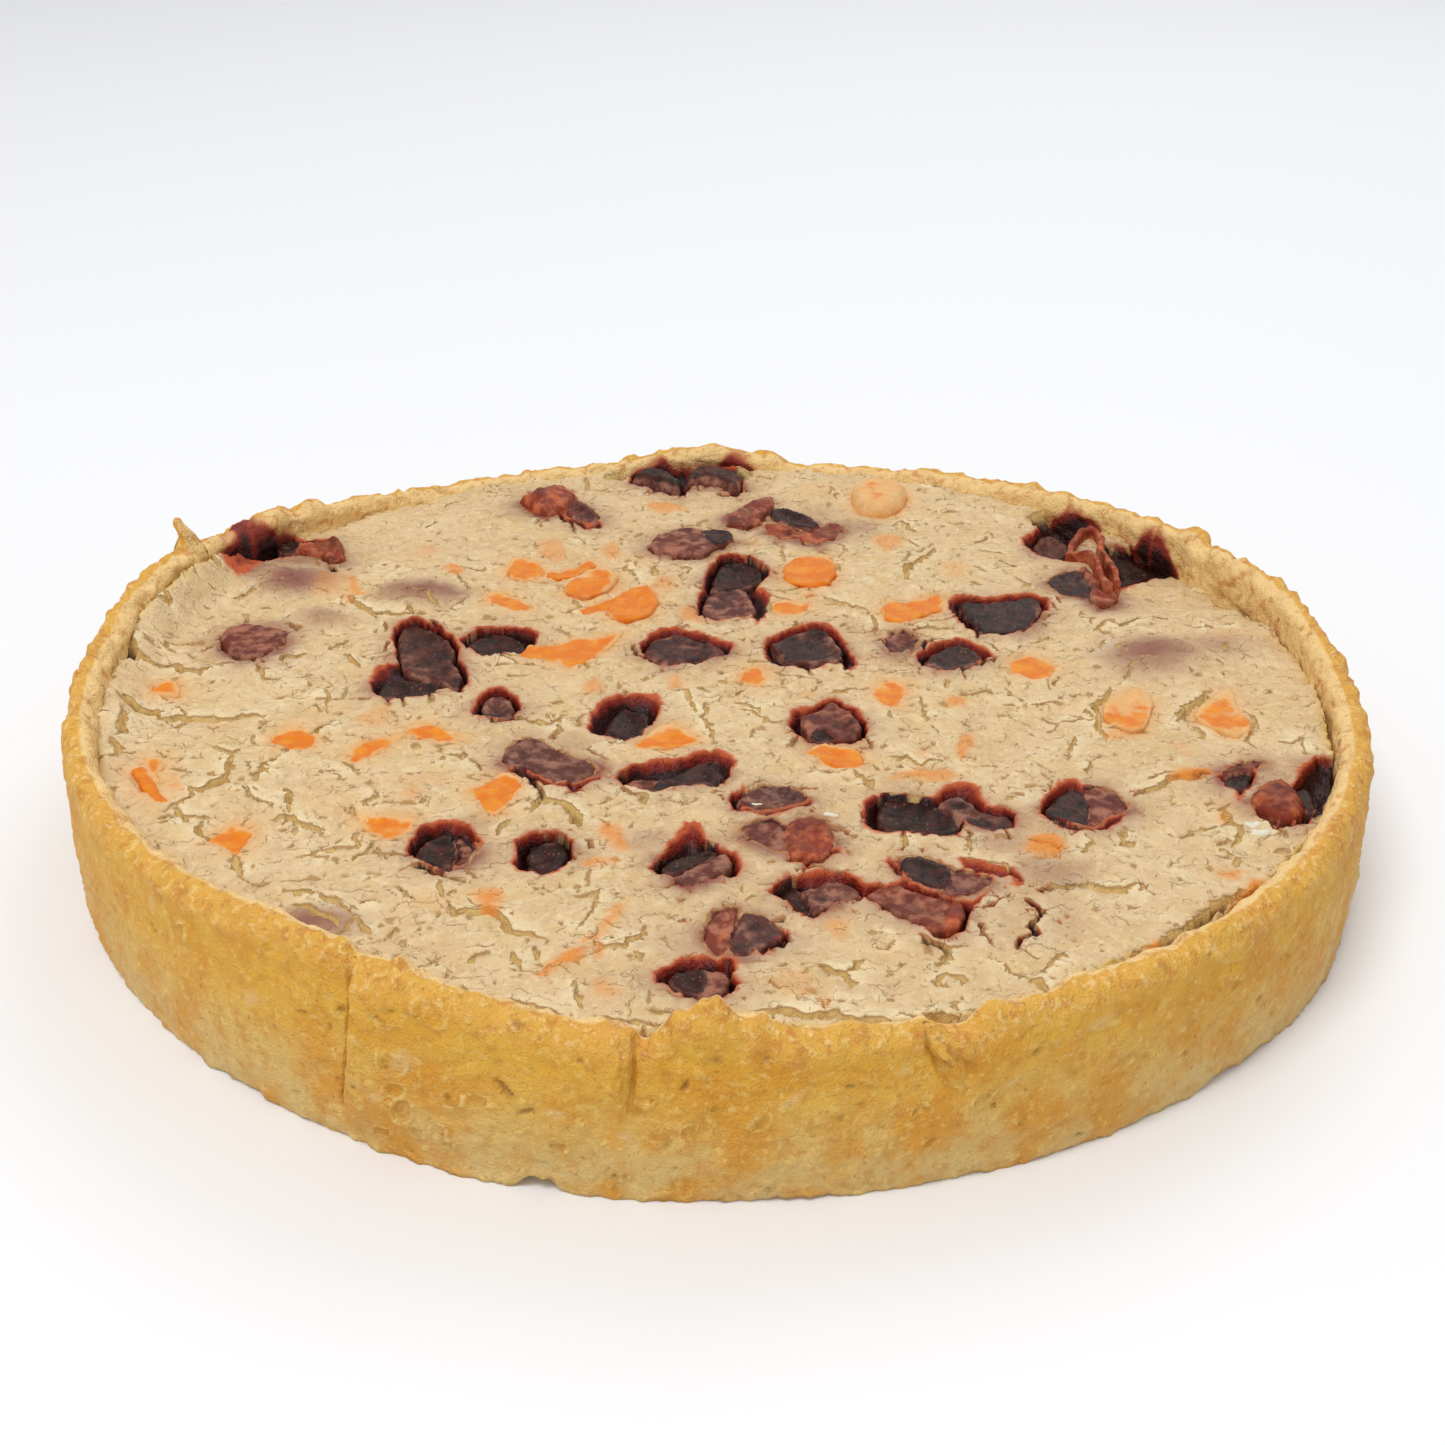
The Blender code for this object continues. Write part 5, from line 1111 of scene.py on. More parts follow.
    (31, 0.5, 2.0, 0.65, 0.1, 946, 868, 965, 873, 980, 877, 993, 880, 990, 888, 978, 894, 965, 899, 950,
     900, 938, 895, 948, 884),
    (31, 0.3, 1.5, 0.55, 0.4, 866, 894, 879, 888, 898, 885, 913, 890, 929, 894, 944, 899, 958, 903, 952,
     920, 945, 931, 933, 931, 919, 924, 904, 916, 889, 909, 874, 903),
    (31, 0.5, 1.0, 0.0, 0.0, 912, 897, 922, 895, 935, 903, 938, 911, 928, 916, 919, 910),
    (31, 1.2, 1.8, 0.3, 1.0, 941, 912, 946, 904, 956, 902, 964, 908, 965, 918, 958, 930, 948, 935, 942,
     925),
    (32, 0.8, 2.0, 0.4, 0.0, 734, 928, 743, 915, 755, 915, 768, 920, 779, 927, 785, 935, 776, 944, 762,
     950, 750, 957, 737, 960, 728, 953, 730, 940),
    (32, 0.7, 4.0, 0.9, 0.6, 702, 946, 703, 928, 712, 914, 728, 908, 742, 912, 738, 926, 733, 942, 728,
     955, 714, 957),
    (33, -0.2, 1.2, 0.1, 0.0, 668, 979, 676, 971, 692, 969, 706, 969, 712, 979, 706, 990, 694, 994, 682,
     990, 673, 985),
    (33, -0.3, 1.2, 0.65, 0.2, 704, 970, 716, 969, 727, 971, 730, 980, 727, 991, 720, 999, 708, 1002,
     695, 999, 690, 993, 703, 989, 708, 979),
    (34, -0.8, 1.5, 0.1, 0.0, 415, 852, 424, 841, 434, 835, 446, 833, 453, 838, 459, 848, 455, 859, 445,
     867, 435, 869, 425, 863, 417, 858),
    (34, 0.2, 3.0, 0.9, 0.3, 451, 838, 462, 833, 472, 840, 478, 850, 472, 862, 460, 869, 450, 869, 456,
     855),
    (35, -1.8, 0.8, 0.0, 0.0, 526, 856, 531, 847, 545, 843, 560, 842, 568, 848, 569, 858, 563, 869, 550,
     872, 535, 871, 526, 866),
)
# Corners of the pits
PITS = (
    (702, 587, 706, 575, 711, 567, 719, 558, 735, 555, 750, 559, 762, 565, 770, 573, 767, 582, 757, 590,
     765, 590, 772, 598, 773, 610, 765, 618, 758, 627, 752, 619, 730, 621, 712, 623, 698, 616, 697,
     603),
    (1020, 541, 1033, 532, 1042, 524, 1060, 521, 1076, 523, 1083, 532, 1080, 545, 1073, 553, 1066, 562,
     1050, 561, 1036, 557, 1030, 550),
    (1100, 550, 1112, 546, 1140, 547, 1162, 545, 1168, 556, 1165, 572, 1157, 578, 1135, 586, 1118, 592,
     1105, 585, 1098, 566),
    (947, 602, 957, 598, 985, 599, 1010, 596, 1030, 594, 1047, 599, 1050, 608, 1039, 620, 1030, 630,
     1015, 636, 1000, 638, 985, 637, 976, 637, 966, 632, 956, 622, 949, 611),
    (226, 574, 232, 556, 246, 547, 262, 540, 280, 540, 300, 541, 328, 541, 329, 549, 312, 550, 297, 557,
     285, 560, 270, 562, 255, 567, 247, 578, 240, 584, 228, 582),
    (393, 641, 396, 628, 403, 622, 420, 621, 440, 629, 453, 637, 460, 648, 458, 660, 467, 673, 470, 684,
     460, 692, 445, 691, 430, 697, 408, 700, 384, 702, 374, 697, 369, 687, 372, 676, 379, 668, 392, 666,
     397, 666, 396, 655),
    (459, 642, 470, 636, 481, 628, 500, 626, 516, 627, 530, 631, 538, 638, 534, 646, 528, 652, 515, 655,
     500, 658, 482, 658, 470, 652),
    (639, 648, 648, 637, 660, 631, 675, 628, 690, 632, 705, 637, 722, 641, 733, 648, 728, 655, 712, 661,
     690, 666, 670, 669, 655, 667, 644, 659),
    (764, 656, 764, 645, 772, 638, 785, 633, 800, 628, 815, 626, 831, 629, 841, 637, 848, 650, 853, 658,
     859, 668, 850, 673, 840, 667, 825, 668, 810, 673, 795, 669, 780, 669, 769, 668),
    (917, 657, 924, 651, 940, 645, 955, 640, 971, 642, 984, 649, 992, 656, 984, 664, 970, 670, 950, 674,
     937, 674, 924, 669, 917, 663),
    (470, 719, 474, 707, 480, 697, 490, 690, 505, 690, 516, 697, 521, 708, 517, 718, 509, 727, 498, 723,
     485, 722, 475, 722),
    (587, 733, 589, 718, 596, 707, 607, 700, 622, 697, 640, 696, 656, 697, 661, 704, 659, 713, 653, 725,
     646, 733, 635, 740, 622, 744, 608, 739, 595, 738),
    (788, 728, 791, 716, 800, 711, 812, 711, 824, 703, 835, 701, 844, 706, 856, 711, 865, 722, 868, 733,
     864, 743, 850, 748, 840, 745, 820, 745, 804, 742, 794, 735),
    (508, 771, 518, 768, 530, 775, 545, 783, 560, 788, 577, 786, 592, 782, 602, 775, 600, 783, 583, 789,
     573, 798, 565, 793, 548, 789, 533, 785, 520, 778),
    (615, 781, 624, 772, 640, 765, 660, 761, 680, 758, 700, 754, 718, 752, 733, 756, 738, 765, 731, 771,
     730, 781, 723, 788, 705, 789, 690, 787, 675, 791, 655, 794, 640, 791, 624, 788),
    (728, 803, 733, 793, 745, 789, 741, 797, 740, 808, 755, 813, 770, 815, 787, 811, 803, 807, 812, 801,
     812, 807, 796, 812, 780, 816, 765, 818, 748, 814, 735, 810),
    (786, 862, 792, 858, 810, 860, 830, 855, 838, 850, 838, 858, 828, 864, 812, 865, 808, 871, 803, 865,
     790, 866),
    (861, 818, 864, 806, 873, 799, 890, 796, 905, 797, 925, 800, 945, 806, 959, 814, 964, 826, 959, 836,
     945, 839, 925, 839, 905, 837, 888, 835, 871, 833, 863, 827),
    (933, 801, 940, 791, 955, 785, 972, 785, 980, 794, 986, 806, 1005, 811, 1017, 816, 1015, 827, 1000,
     833, 985, 832, 970, 827, 958, 819, 947, 811),
    (1038, 816, 1042, 803, 1050, 792, 1062, 784, 1076, 782, 1082, 789, 1066, 794, 1056, 803, 1050, 815,
     1066, 827, 1080, 832, 1095, 829, 1112, 821, 1126, 815, 1118, 825, 1098, 832, 1080, 836, 1062, 832,
     1047, 823),
    (1216, 780, 1225, 773, 1240, 768, 1256, 772, 1254, 784, 1246, 793, 1240, 803, 1236, 793, 1226, 790),
    (1250, 806, 1262, 812, 1280, 822, 1296, 824, 1292, 786, 1299, 770, 1316, 758, 1334, 758, 1330, 792,
     1322, 812, 1308, 826, 1290, 832, 1270, 826, 1256, 817),
    (648, 873, 658, 862, 667, 850, 677, 836, 687, 827, 699, 827, 704, 838, 707, 847, 723, 848, 733, 854,
     742, 869, 739, 877, 722, 877, 705, 885, 695, 891, 682, 892, 671, 881, 660, 876),
    (766, 894, 777, 888, 788, 882, 800, 876, 820, 871, 839, 872, 854, 879, 868, 888, 864, 896, 846, 904,
     829, 909, 819, 918, 808, 924, 797, 916, 787, 906, 775, 899),
    (1000, 868, 988, 866, 975, 864, 962, 858, 958, 862, 965, 870, 980, 875, 996, 878, 1012, 880, 1018,
     890, 1024, 888, 1018, 876, 1010, 869),
    (895, 866, 890, 860, 885, 862, 892, 872, 900, 878, 910, 884, 924, 891, 940, 897, 955, 901, 970, 903,
     985, 897, 992, 893, 978, 908, 969, 920, 966, 936, 952, 941, 939, 941, 924, 932, 904, 922, 885, 912,
     868, 904, 863, 895, 862, 887, 880, 886, 900, 884, 905, 880),
    (755, 951, 765, 946, 778, 941, 785, 931, 789, 937, 783, 945, 770, 951, 763, 959),
    (653, 976, 664, 970, 675, 963, 690, 959, 702, 957, 716, 962, 731, 959, 737, 966, 733, 975, 740, 985,
     731, 996, 721, 1004, 705, 1005, 690, 1002, 677, 994, 667, 986, 657, 984),
    (406, 853, 413, 839, 424, 829, 440, 822, 456, 821, 469, 828, 479, 839, 484, 846, 474, 845, 462, 836,
     454, 838, 458, 850, 456, 862, 452, 876, 442, 876, 430, 869, 419, 864, 409, 860),
    (515, 843, 523, 837, 540, 833, 555, 832, 567, 837, 574, 846, 573, 858, 568, 869, 559, 874, 543, 875,
     530, 873, 517, 872, 510, 865, 518, 858, 516, 850),
    (560, 515, 572, 522, 588, 528, 600, 525, 603, 529, 585, 531, 568, 524),
    (628, 483, 640, 489, 655, 492, 670, 498, 684, 498, 692, 487, 705, 488, 720, 490, 735, 500, 742, 497,
     744, 480, 735, 470, 705, 466, 680, 470, 650, 470, 634, 476),
)

# %% Outlines of carrot
# The same columns as for beetroot
CARROT_PARTS = (
    (1, 3.2, 3.0, 0.95, 0.0, 850, 496, 858, 489, 872, 485, 888, 486, 904, 491, 908, 501, 903, 511, 892,
     517, 877, 519, 861, 515, 852, 506),
    (2, 1.4, 1.0, 0.05, 0.3, 783, 582, 783, 570, 792, 563, 810, 560, 828, 559, 836, 568, 837, 578, 829,
     587, 815, 591, 800, 589, 789, 586),
    (3, 0.3, 1.0, 0.35, 0.0, 771, 603, 785, 600, 800, 602, 814, 605, 808, 612, 795, 616, 780, 616, 771,
     612),
    (4, 0.8, 1.2, 0.05, 0.55, 880, 611, 890, 603, 905, 605, 922, 601, 938, 596, 947, 603, 941, 613, 925,
     617, 910, 623, 895, 625, 883, 620),
    (5, 0.8, 1.5, 0.3, 0.0, 506, 570, 511, 562, 520, 558, 530, 560, 541, 567, 546, 575, 538, 581, 525,
     583, 512, 580),
    (5, 0.6, 1.0, 0.15, 0.0, 544, 573, 560, 574, 575, 569, 590, 563, 599, 567, 585, 573, 572, 578, 558,
     581, 546, 578),
    (6, 1.8, 1.5, 0.15, 0.0, 563, 592, 575, 583, 585, 577, 600, 574, 613, 575, 619, 582, 613, 591, 602,
     598, 590, 601, 576, 601, 566, 598),
    (6, 1.3, 1.2, 0.05, 0.1, 606, 614, 613, 603, 621, 596, 635, 591, 649, 589, 656, 597, 660, 607, 651,
     616, 640, 622, 625, 624, 611, 622),
    (6, 0.5, 1.0, 0.1, 0.0, 579, 613, 590, 606, 605, 602, 618, 600, 615, 609, 600, 612, 587, 616),
    (7, 0.3, 1.0, 0.15, 0.0, 484, 599, 491, 593, 503, 592, 512, 597, 523, 603, 534, 610, 520, 612, 505,
     609, 491, 604),
    (8, 0.5, 1.2, 0.1, 0.0, 518, 656, 529, 646, 545, 648, 560, 645, 575, 640, 590, 640, 605, 636, 625,
     633, 616, 643, 604, 653, 595, 659, 580, 666, 568, 669, 559, 664, 545, 663, 529, 661),
    (9, 0.2, 1.0, 0.35, 0.0, 741, 674, 749, 667, 760, 665, 768, 672, 769, 680, 761, 687, 748, 686, 740,
     681),
    (10, 0.3, 1.2, 0.35, 0.0, 871, 693, 879, 684, 893, 681, 906, 684, 909, 692, 902, 699, 898, 708, 886,
     709, 877, 701),
    (11, 0.3, 1.2, 0.15, 0.0, 1008, 666, 1017, 658, 1030, 655, 1044, 659, 1057, 667, 1053, 677, 1040,
     681, 1025, 680, 1013, 675),
    (12, 1.2, 1.0, 0.6, 0.0, 1101, 713, 1107, 703, 1118, 695, 1135, 693, 1150, 697, 1154, 708, 1150,
     722, 1144, 733, 1130, 734, 1115, 729, 1103, 723),
    (13, 0.8, 1.2, 0.55, 0.0, 1192, 716, 1199, 707, 1210, 700, 1222, 692, 1231, 690, 1236, 702, 1241,
     714, 1252, 723, 1249, 733, 1238, 739, 1225, 736, 1210, 729, 1198, 723),
    (14, 0.8, 1.5, 0.35, 0.0, 149, 691, 158, 685, 168, 682, 178, 683, 182, 692, 179, 699, 165, 698, 153,
     696),
    (15, 0.3, 1.2, 0.1, 0.0, 268, 744, 274, 735, 284, 728, 297, 724, 307, 730, 319, 740, 313, 749, 300,
     751, 284, 750),
    (16, 0.4, 1.0, 0.3, 0.0, 349, 763, 351, 752, 364, 744, 380, 739, 396, 735, 410, 731, 400, 742, 382,
     751, 369, 760, 355, 764),
    (17, 0.4, 1.0, 0.3, 0.0, 405, 733, 414, 724, 426, 721, 440, 727, 450, 734, 461, 740, 448, 743, 432,
     741, 418, 739),
    (18, 0.4, 1.5, 0.25, 0.0, 632, 748, 645, 737, 656, 727, 672, 723, 686, 730, 696, 737, 701, 743, 687,
     747, 666, 749, 648, 750),
    (19, 0.3, 1.0, 0.15, 0.1, 808, 754, 814, 745, 825, 742, 840, 747, 859, 751, 866, 760, 861, 769, 848,
     771, 832, 768, 817, 761),
    (20, 0.8, 1.0, 0.05, 0.2, 131, 773, 145, 768, 158, 788, 169, 803, 166, 808, 154, 804, 142, 791),
    (20, 0.6, 1.0, 0.1, 0.1, 142, 768, 147, 757, 160, 759, 166, 768, 158, 775, 161, 784, 151, 776),
    (21, 0.4, 1.2, 0.2, 0.0, 468, 790, 480, 787, 490, 782, 497, 774, 507, 772, 518, 778, 528, 787, 516,
     798, 506, 809, 495, 816, 484, 811, 477, 802),
    (22, 0.3, 1.2, 0.35, 0.0, 350, 813, 362, 815, 380, 816, 405, 816, 418, 820, 412, 831, 403, 839, 387,
     841, 372, 836, 358, 824),
    (23, 0.4, 1.2, 0.2, 0.0, 208, 843, 224, 829, 235, 823, 244, 828, 257, 833, 254, 844, 244, 849, 239,
     859, 228, 853, 218, 847),
)
# How strongly the carrot shows through, then its corners
CARROT_PATCHES = (
    (0.9, 471, 894, 482, 891, 501, 891, 503, 900, 496, 908, 498, 919, 485, 917, 478, 905),
    (0.8, 596, 828, 605, 822, 618, 825, 624, 838, 630, 848, 620, 851, 609, 846, 599, 838),
    (0.85, 583, 862, 600, 860, 618, 862, 613, 867, 595, 868, 585, 868),
    (0.85, 617, 905, 629, 901, 623, 912, 613, 926, 606, 936, 592, 941, 580, 943, 584, 937, 598, 934,
     608, 915),
    (0.95, 530, 978, 545, 967, 560, 959, 575, 951, 587, 949, 582, 960, 568, 966, 555, 973, 545, 979),
    (0.7, 591, 945, 600, 944, 605, 953, 603, 963, 594, 961),
    (0.5, 588, 986, 600, 978, 613, 984, 625, 998, 605, 1002, 591, 998),
    (0.7, 645, 505, 662, 503, 680, 505, 688, 511, 670, 514, 651, 512),
    (0.55, 538, 545, 550, 540, 561, 542, 567, 552, 563, 561, 552, 563, 542, 557),
    (0.6, 601, 552, 605, 544, 613, 542, 620, 550, 618, 560, 607, 560),
    (0.55, 653, 580, 664, 575, 677, 582, 673, 592, 660, 593, 654, 588),
    (0.6, 680, 612, 690, 606, 700, 616, 706, 624, 696, 627, 685, 621),
    (0.6, 873, 543, 881, 537, 895, 537, 910, 541, 900, 548, 888, 553, 879, 550),
    (0.25, 940, 568, 952, 563, 966, 569, 960, 579, 945, 581),
    (0.8, 945, 701, 955, 696, 967, 703, 961, 709, 947, 708),
    (0.8, 960, 738, 970, 734, 976, 745, 969, 755, 963, 763, 956, 755),
    (0.75, 888, 781, 900, 775, 915, 771, 935, 771, 957, 773, 959, 780, 940, 783, 920, 781, 905, 784),
    (0.35, 798, 695, 808, 690, 817, 697, 808, 703),
    (0.5, 826, 922, 840, 919, 851, 928, 847, 939, 835, 941, 826, 932),
    (0.75, 788, 993, 800, 985, 812, 990, 806, 999, 794, 998),
    (0.25, 768, 985, 780, 972, 805, 970, 818, 982, 814, 998, 785, 999),
    (0.5, 818, 1002, 826, 1000, 832, 1008, 822, 1012),
    (0.95, 1167, 777, 1177, 770, 1195, 767, 1211, 770, 1217, 777, 1200, 779, 1185, 778),
    (0.45, 1170, 745, 1180, 744, 1192, 756, 1184, 758),
    (0.7, 1215, 812, 1224, 811, 1229, 824, 1219, 824),
    (0.8, 1210, 868, 1224, 868, 1240, 875, 1244, 879, 1226, 877),
    (0.95, 1025, 848, 1031, 838, 1045, 834, 1059, 839, 1068, 848, 1059, 858, 1042, 859, 1029, 856),
    (0.85, 346, 577, 352, 576, 359, 588, 368, 596, 357, 598, 350, 592),
    (0.6, 338, 598, 350, 594, 356, 602, 346, 604),
    (0.3, 308, 585, 325, 573, 346, 574, 350, 590, 338, 600, 315, 600),
    (0.85, 443, 571, 449, 564, 459, 566, 467, 576, 455, 578),
    (0.3, 413, 552, 425, 543, 438, 550, 430, 562),
    (0.6, 581, 691, 588, 682, 598, 679, 606, 688, 601, 697, 587, 698),
    (0.55, 666, 683, 675, 676, 684, 683, 679, 691, 669, 690),
    (0.4, 400, 795, 412, 788, 425, 795, 412, 803),
    (0.8, 167, 782, 174, 776, 182, 783, 184, 793, 173, 790),
    (0.45, 353, 722, 364, 714, 377, 707, 388, 706, 393, 713, 388, 723, 375, 728, 361, 728),
    (0.5, 1100, 735, 1115, 731, 1135, 735, 1130, 740, 1112, 740),
    (0.35, 750, 545, 757, 541, 762, 549, 754, 553), (0.4, 800, 596, 812, 592, 822, 597, 812, 601),
    (0.35, 915, 752, 925, 748, 930, 756, 920, 758),
    (1.0, 1216, 920, 1234, 900, 1252, 880, 1270, 880, 1262, 896, 1240, 914, 1224, 926),
    (1.0, 1126, 970, 1138, 956, 1156, 942, 1168, 946, 1156, 960, 1140, 970),
    (0.8, 1216, 872, 1230, 868, 1246, 872, 1240, 882, 1224, 880),
)

print("outlined parts:", len(BEETROOT_PARTS), "and", len(CARROT_PARTS))

# %% Level of the skin


def skin_level(x, y):
    """How high the skin lies before it cracked."""
    level = FILLING_TOP + 0.7 * field(x, y, 0, size=46) + 0.35 * field(x, y, 0, size=13)
    for lump_x, lump_y, radius, height in COVERED_LUMPS:
        away = np.hypot(x - lump_x, y - lump_y) / radius
        level += height * (1 - smooth(0.2, 1, away))
    for bit_x, bit_y, radius in CARROT_BITS:
        away = np.hypot(x - bit_x, y - bit_y) / radius
        level += 0.5 * (1 - smooth(0.4, 1, away))
    azimuth = azimuth_of(x, y)
    from_wall = inner_radius(azimuth, FILLING_TOP) - np.hypot(x, y)
    return level + eased(WALL_CLIMB, azimuth) * (1 - smooth(0.5, 8.5, from_wall))


def edge_radius(azimuth):
    """Where the top of the filling ends: against the wall, or a gap away from it."""
    gap = np.maximum(0, 1.15 * eased(SHRINK_GAPS, azimuth) - 0.75)
    rough = 0.5 * ripple(azimuth, 0, 6, 1.9) + 0.35 * ripple(azimuth, 0, 2.1, 3.9)
    against_wall = inner_radius(azimuth, FILLING_TOP) + 0.35
    return against_wall - gap * (1 + 0.5 * rough) + 0.25 * rough * (gap > 0.2)


centre = np.array([0.0])
print("level at the centre:", round(float(skin_level(centre, centre)[0]), 1))

# %% Put the outlines on the skin


def on_skin(pixels, rise=0.0):
    """The corners of an outline, in mm, where the pixels' rays meet the skin."""
    corners = []
    for px, py in pixels:
        level = FILLING_TOP + rise
        for _ in range(2):
            x, y = on_level(px, py, level)
            level = float(skin_level(np.array([x]), np.array([y]))[0]) + rise
        corners.append(on_level(px, py, level))
    return corners


def pieces_of(kind, table):
    """The parts of each piece by its name: rise, rounding, film, redness and corners on the skin."""
    pieces = {}
    for number, rise, rounding, film, red, *corners in table:
        part = (rise, rounding, film, red, on_skin(pairs(corners), min(rise, 0)))
        pieces.setdefault(f"{kind}_{number:02d}", []).append(part)
    return pieces


def nearest_outline(x, y, outlines, reach=9.0):
    """For each point the distance from the nearest outline, less than 0 inside, and its number."""
    best = np.full(x.shape, reach)
    number = np.full(x.shape, -1)
    for index, corners in enumerate(outlines):
        close = near_corners(x, y, corners, reach)
        away = distance_to_outline(x[close], y[close], corners)
        nearer = away < best[close]
        best[close] = np.where(nearer, away, best[close])
        number[close] = np.where(nearer, index, number[close])
    return best, number


beetroot_pieces = pieces_of("beetroot", BEETROOT_PARTS)
carrot_pieces = pieces_of("carrot", CARROT_PARTS)
beetroot_outlines = [part[4] for parts in beetroot_pieces.values() for part in parts]
beetroot_rises = [part[0] for parts in beetroot_pieces.values() for part in parts]
carrot_outlines = [part[4] for parts in carrot_pieces.values() for part in parts]
pit_outlines = [on_skin(pairs(row)) for row in PITS]
patch_outlines = [on_skin(pairs(row[1:])) for row in CARROT_PATCHES]
print("outlines:", len(beetroot_outlines), len(carrot_outlines), len(pit_outlines), len(patch_outlines))

# %% [markdown]
# ## Cracks
#
# A skin that shrinks as it dries breaks into plates, like mud. The cracks that show plainly have
# lines of their own, bent by noise so that their edges are ragged, and the plates beside them curl
# up a little, one side more than the other. Between them runs a network of hairlines. The borders
# between the cells of a Voronoi pattern look like that once the cells are stretched and most of the
# borders are left closed.

# %% Cracks of the skin


def cell_borders(x, y, cell, seed, bend):
    """Distance to the nearest border of the cells, and random numbers of that border and the cell."""
    bent_x, bent_y = pushed(x, y, seed, (bend, 6, 1.1, 5.7), (0.4 * bend, 2, 2.3, 8.1))
    here = np.stack([bent_x / cell[0], bent_y / cell[1], np.full(x.shape, seed)], axis=1)
    first = np.empty(here.shape)
    second = np.empty(here.shape)
    for index, place in enumerate(here.tolist()):
        centres = noise.voronoi(place)[1]
        first[index] = centres[0]
        second[index] = centres[1]
    across = first - second
    middle = 0.5 * (first + second)
    steep = np.hypot(across[:, 0] / cell[0], across[:, 1] / cell[1])
    distance = np.abs(((here - middle) * across).sum(1)) / np.maximum(steep, 1e-6)
    return distance, random_of(*middle.T), random_of(*first.T)


def skin_wholeness(x, y):
    """0 where the skin is cracked all over, up to 1 where it stayed smooth."""
    return strongest_oval(x, y, SMOOTH_SKIN, 0.6, 1.15)


# Size of the cells, share of their borders that are open, least and most half width of a crack
CRACK_NETS = (((8.6, 5.8), 8.2, 0.50, 0.06, 0.40), ((4.6, 3.4), 3.7, 0.34, 0.05, 0.24))
CRACK_REACH = 6.0  # how far a crack still curls the skin
wide_cracks = [(row[0], pairs(row[1:])) for row in CRACKS]
wide_cracks += [(row[0], on_skin(pairs(row[1:]))) for row in WALL_CRACKS]
print("cracks with a line of their own:", len(wide_cracks))


def crack_field(x, y):
    """For each point: distance from the nearest crack's edge (less than 0 inside it), how deep that
    crack goes, how much the plates curl and how high they swell between their borders."""
    bent_x, bent_y = pushed(x, y, 0, (0.9, 5, 6.6, 9.6), (0.55, 1.8, 3.6, 2.6))
    fading = field(x, y, 0, 4.4, 5)
    edge = np.full(x.shape, 9.0)
    deep = np.zeros(x.shape)
    curl = np.zeros(x.shape)
    swell = np.zeros(x.shape)
    whole = skin_wholeness(x, y)
    for cell, seed, share, thinnest, widest in CRACK_NETS:
        distance, border, plate = cell_borders(x, y, cell, seed, 0.16 * cell[0])
        domed = 0.055 * cell[0] * (0.25 + plate) * smooth(0, 0.2 * cell[0], distance)
        swell += domed * (1 - 0.75 * whole)
        open_share = share * (1 - 0.85 * whole) + 0.42 * fading
        present = smooth(0, 0.12, open_share - border) * smooth(0, 0.06, open_share)
        half = (thinnest + (widest - thinnest) * random_of(border * 9.1) ** 2) * present
        own_edge = np.where(present > 0.05, distance - half, 9.0)
        nearer = own_edge < edge
        edge = np.where(nearer, own_edge, edge)
        deep = np.where(nearer, present * (0.45 + 1.5 * half), deep)
        higher = 2 * random_of(border * 3.7) - 1
        curl += (0.09 + 0.14 * higher) * present * np.exp(-(((distance - half - 0.3) / 0.8) ** 2))
    for number, (width, corners) in enumerate(wide_cracks):
        close = near_corners(x, y, corners, CRACK_REACH)
        away, along, side = distance_to_line(bent_x[close], bent_y[close], corners)
        open_here = smooth(-0.04, 0.2, along) * (1 - smooth(0.8, 1.04, along))
        half = 0.42 * width * (0.3 + 0.7 * open_here) + 0.03
        own_edge = away - half
        nearer = own_edge < edge[close]
        edge[close] = np.where(nearer, own_edge, edge[close])
        deep[close] = np.where(nearer, (0.5 + 0.85 * width) * (0.4 + 0.6 * open_here), deep[close])
        higher = math.sin(2.4 * number + 0.6)  # side of the crack whose plate stands higher
        fall = np.exp(-np.maximum(own_edge, 0) / 1.5)
        curl[close] += (0.22 + 0.20 * higher * side) * min(1.4, 0.5 + width) * open_here * fall
    return edge, deep, curl, swell


# %% [markdown]
# ## The skin of the filling
#
# The top is a grid, bent to the level of the skin. Only the parts near a crack or a pit need small
# faces, so bmesh.ops.subdivide_edges halves the edges there, twice. Beyond the filling's edge the
# grid folds down as its side, and its border is extruded down to the floor and closed, so that the
# piece is one closed body.

# %% Pits in the skin


def pit_field(x, y):
    """For each point: distance from the nearest pit's edge (less than 0 inside), how deep the pit is
    there, the distances from the nearest beetroot, carrot and patch of carrot, with its number, and
    whether the point lies behind the beetroot, 1, or in front of it, 0."""
    bent_x, bent_y = pushed(x, y, 0, (0.45, 3.4, 2.7, 4.7), (0.4, 1.4, 5.7, 8.7))
    pit, _ = nearest_outline(bent_x, bent_y, pit_outlines)
    beetroot, number = nearest_outline(x, y, beetroot_outlines)
    carrot, _ = nearest_outline(x, y, carrot_outlines)
    patch, patch_number = nearest_outline(bent_x, bent_y, patch_outlines)
    rise = np.array(beetroot_rises)[number] * (beetroot < 4)
    share = np.clip(-pit / np.maximum(1e-3, -pit + np.maximum(0, beetroot)), 0, 1)
    deepest = 3.0 + np.maximum(0, -rise)
    depth = np.where(pit < 0, deepest * smooth(0, 1, share) ** 0.8, 0)
    depth = np.maximum(depth, (1.4 + np.maximum(0, -rise)) * smooth(-0.5, -1.3, beetroot))
    depth = np.where((beetroot < -0.9) & (pit < 0.5), 5.0, depth)
    middle_y = np.array([np.mean([corner[1] for corner in corners]) for corners in beetroot_outlines])
    behind = smooth(-2.0, 3.5, y - middle_y[number])
    return pit, depth, beetroot, carrot, patch, patch_number, behind


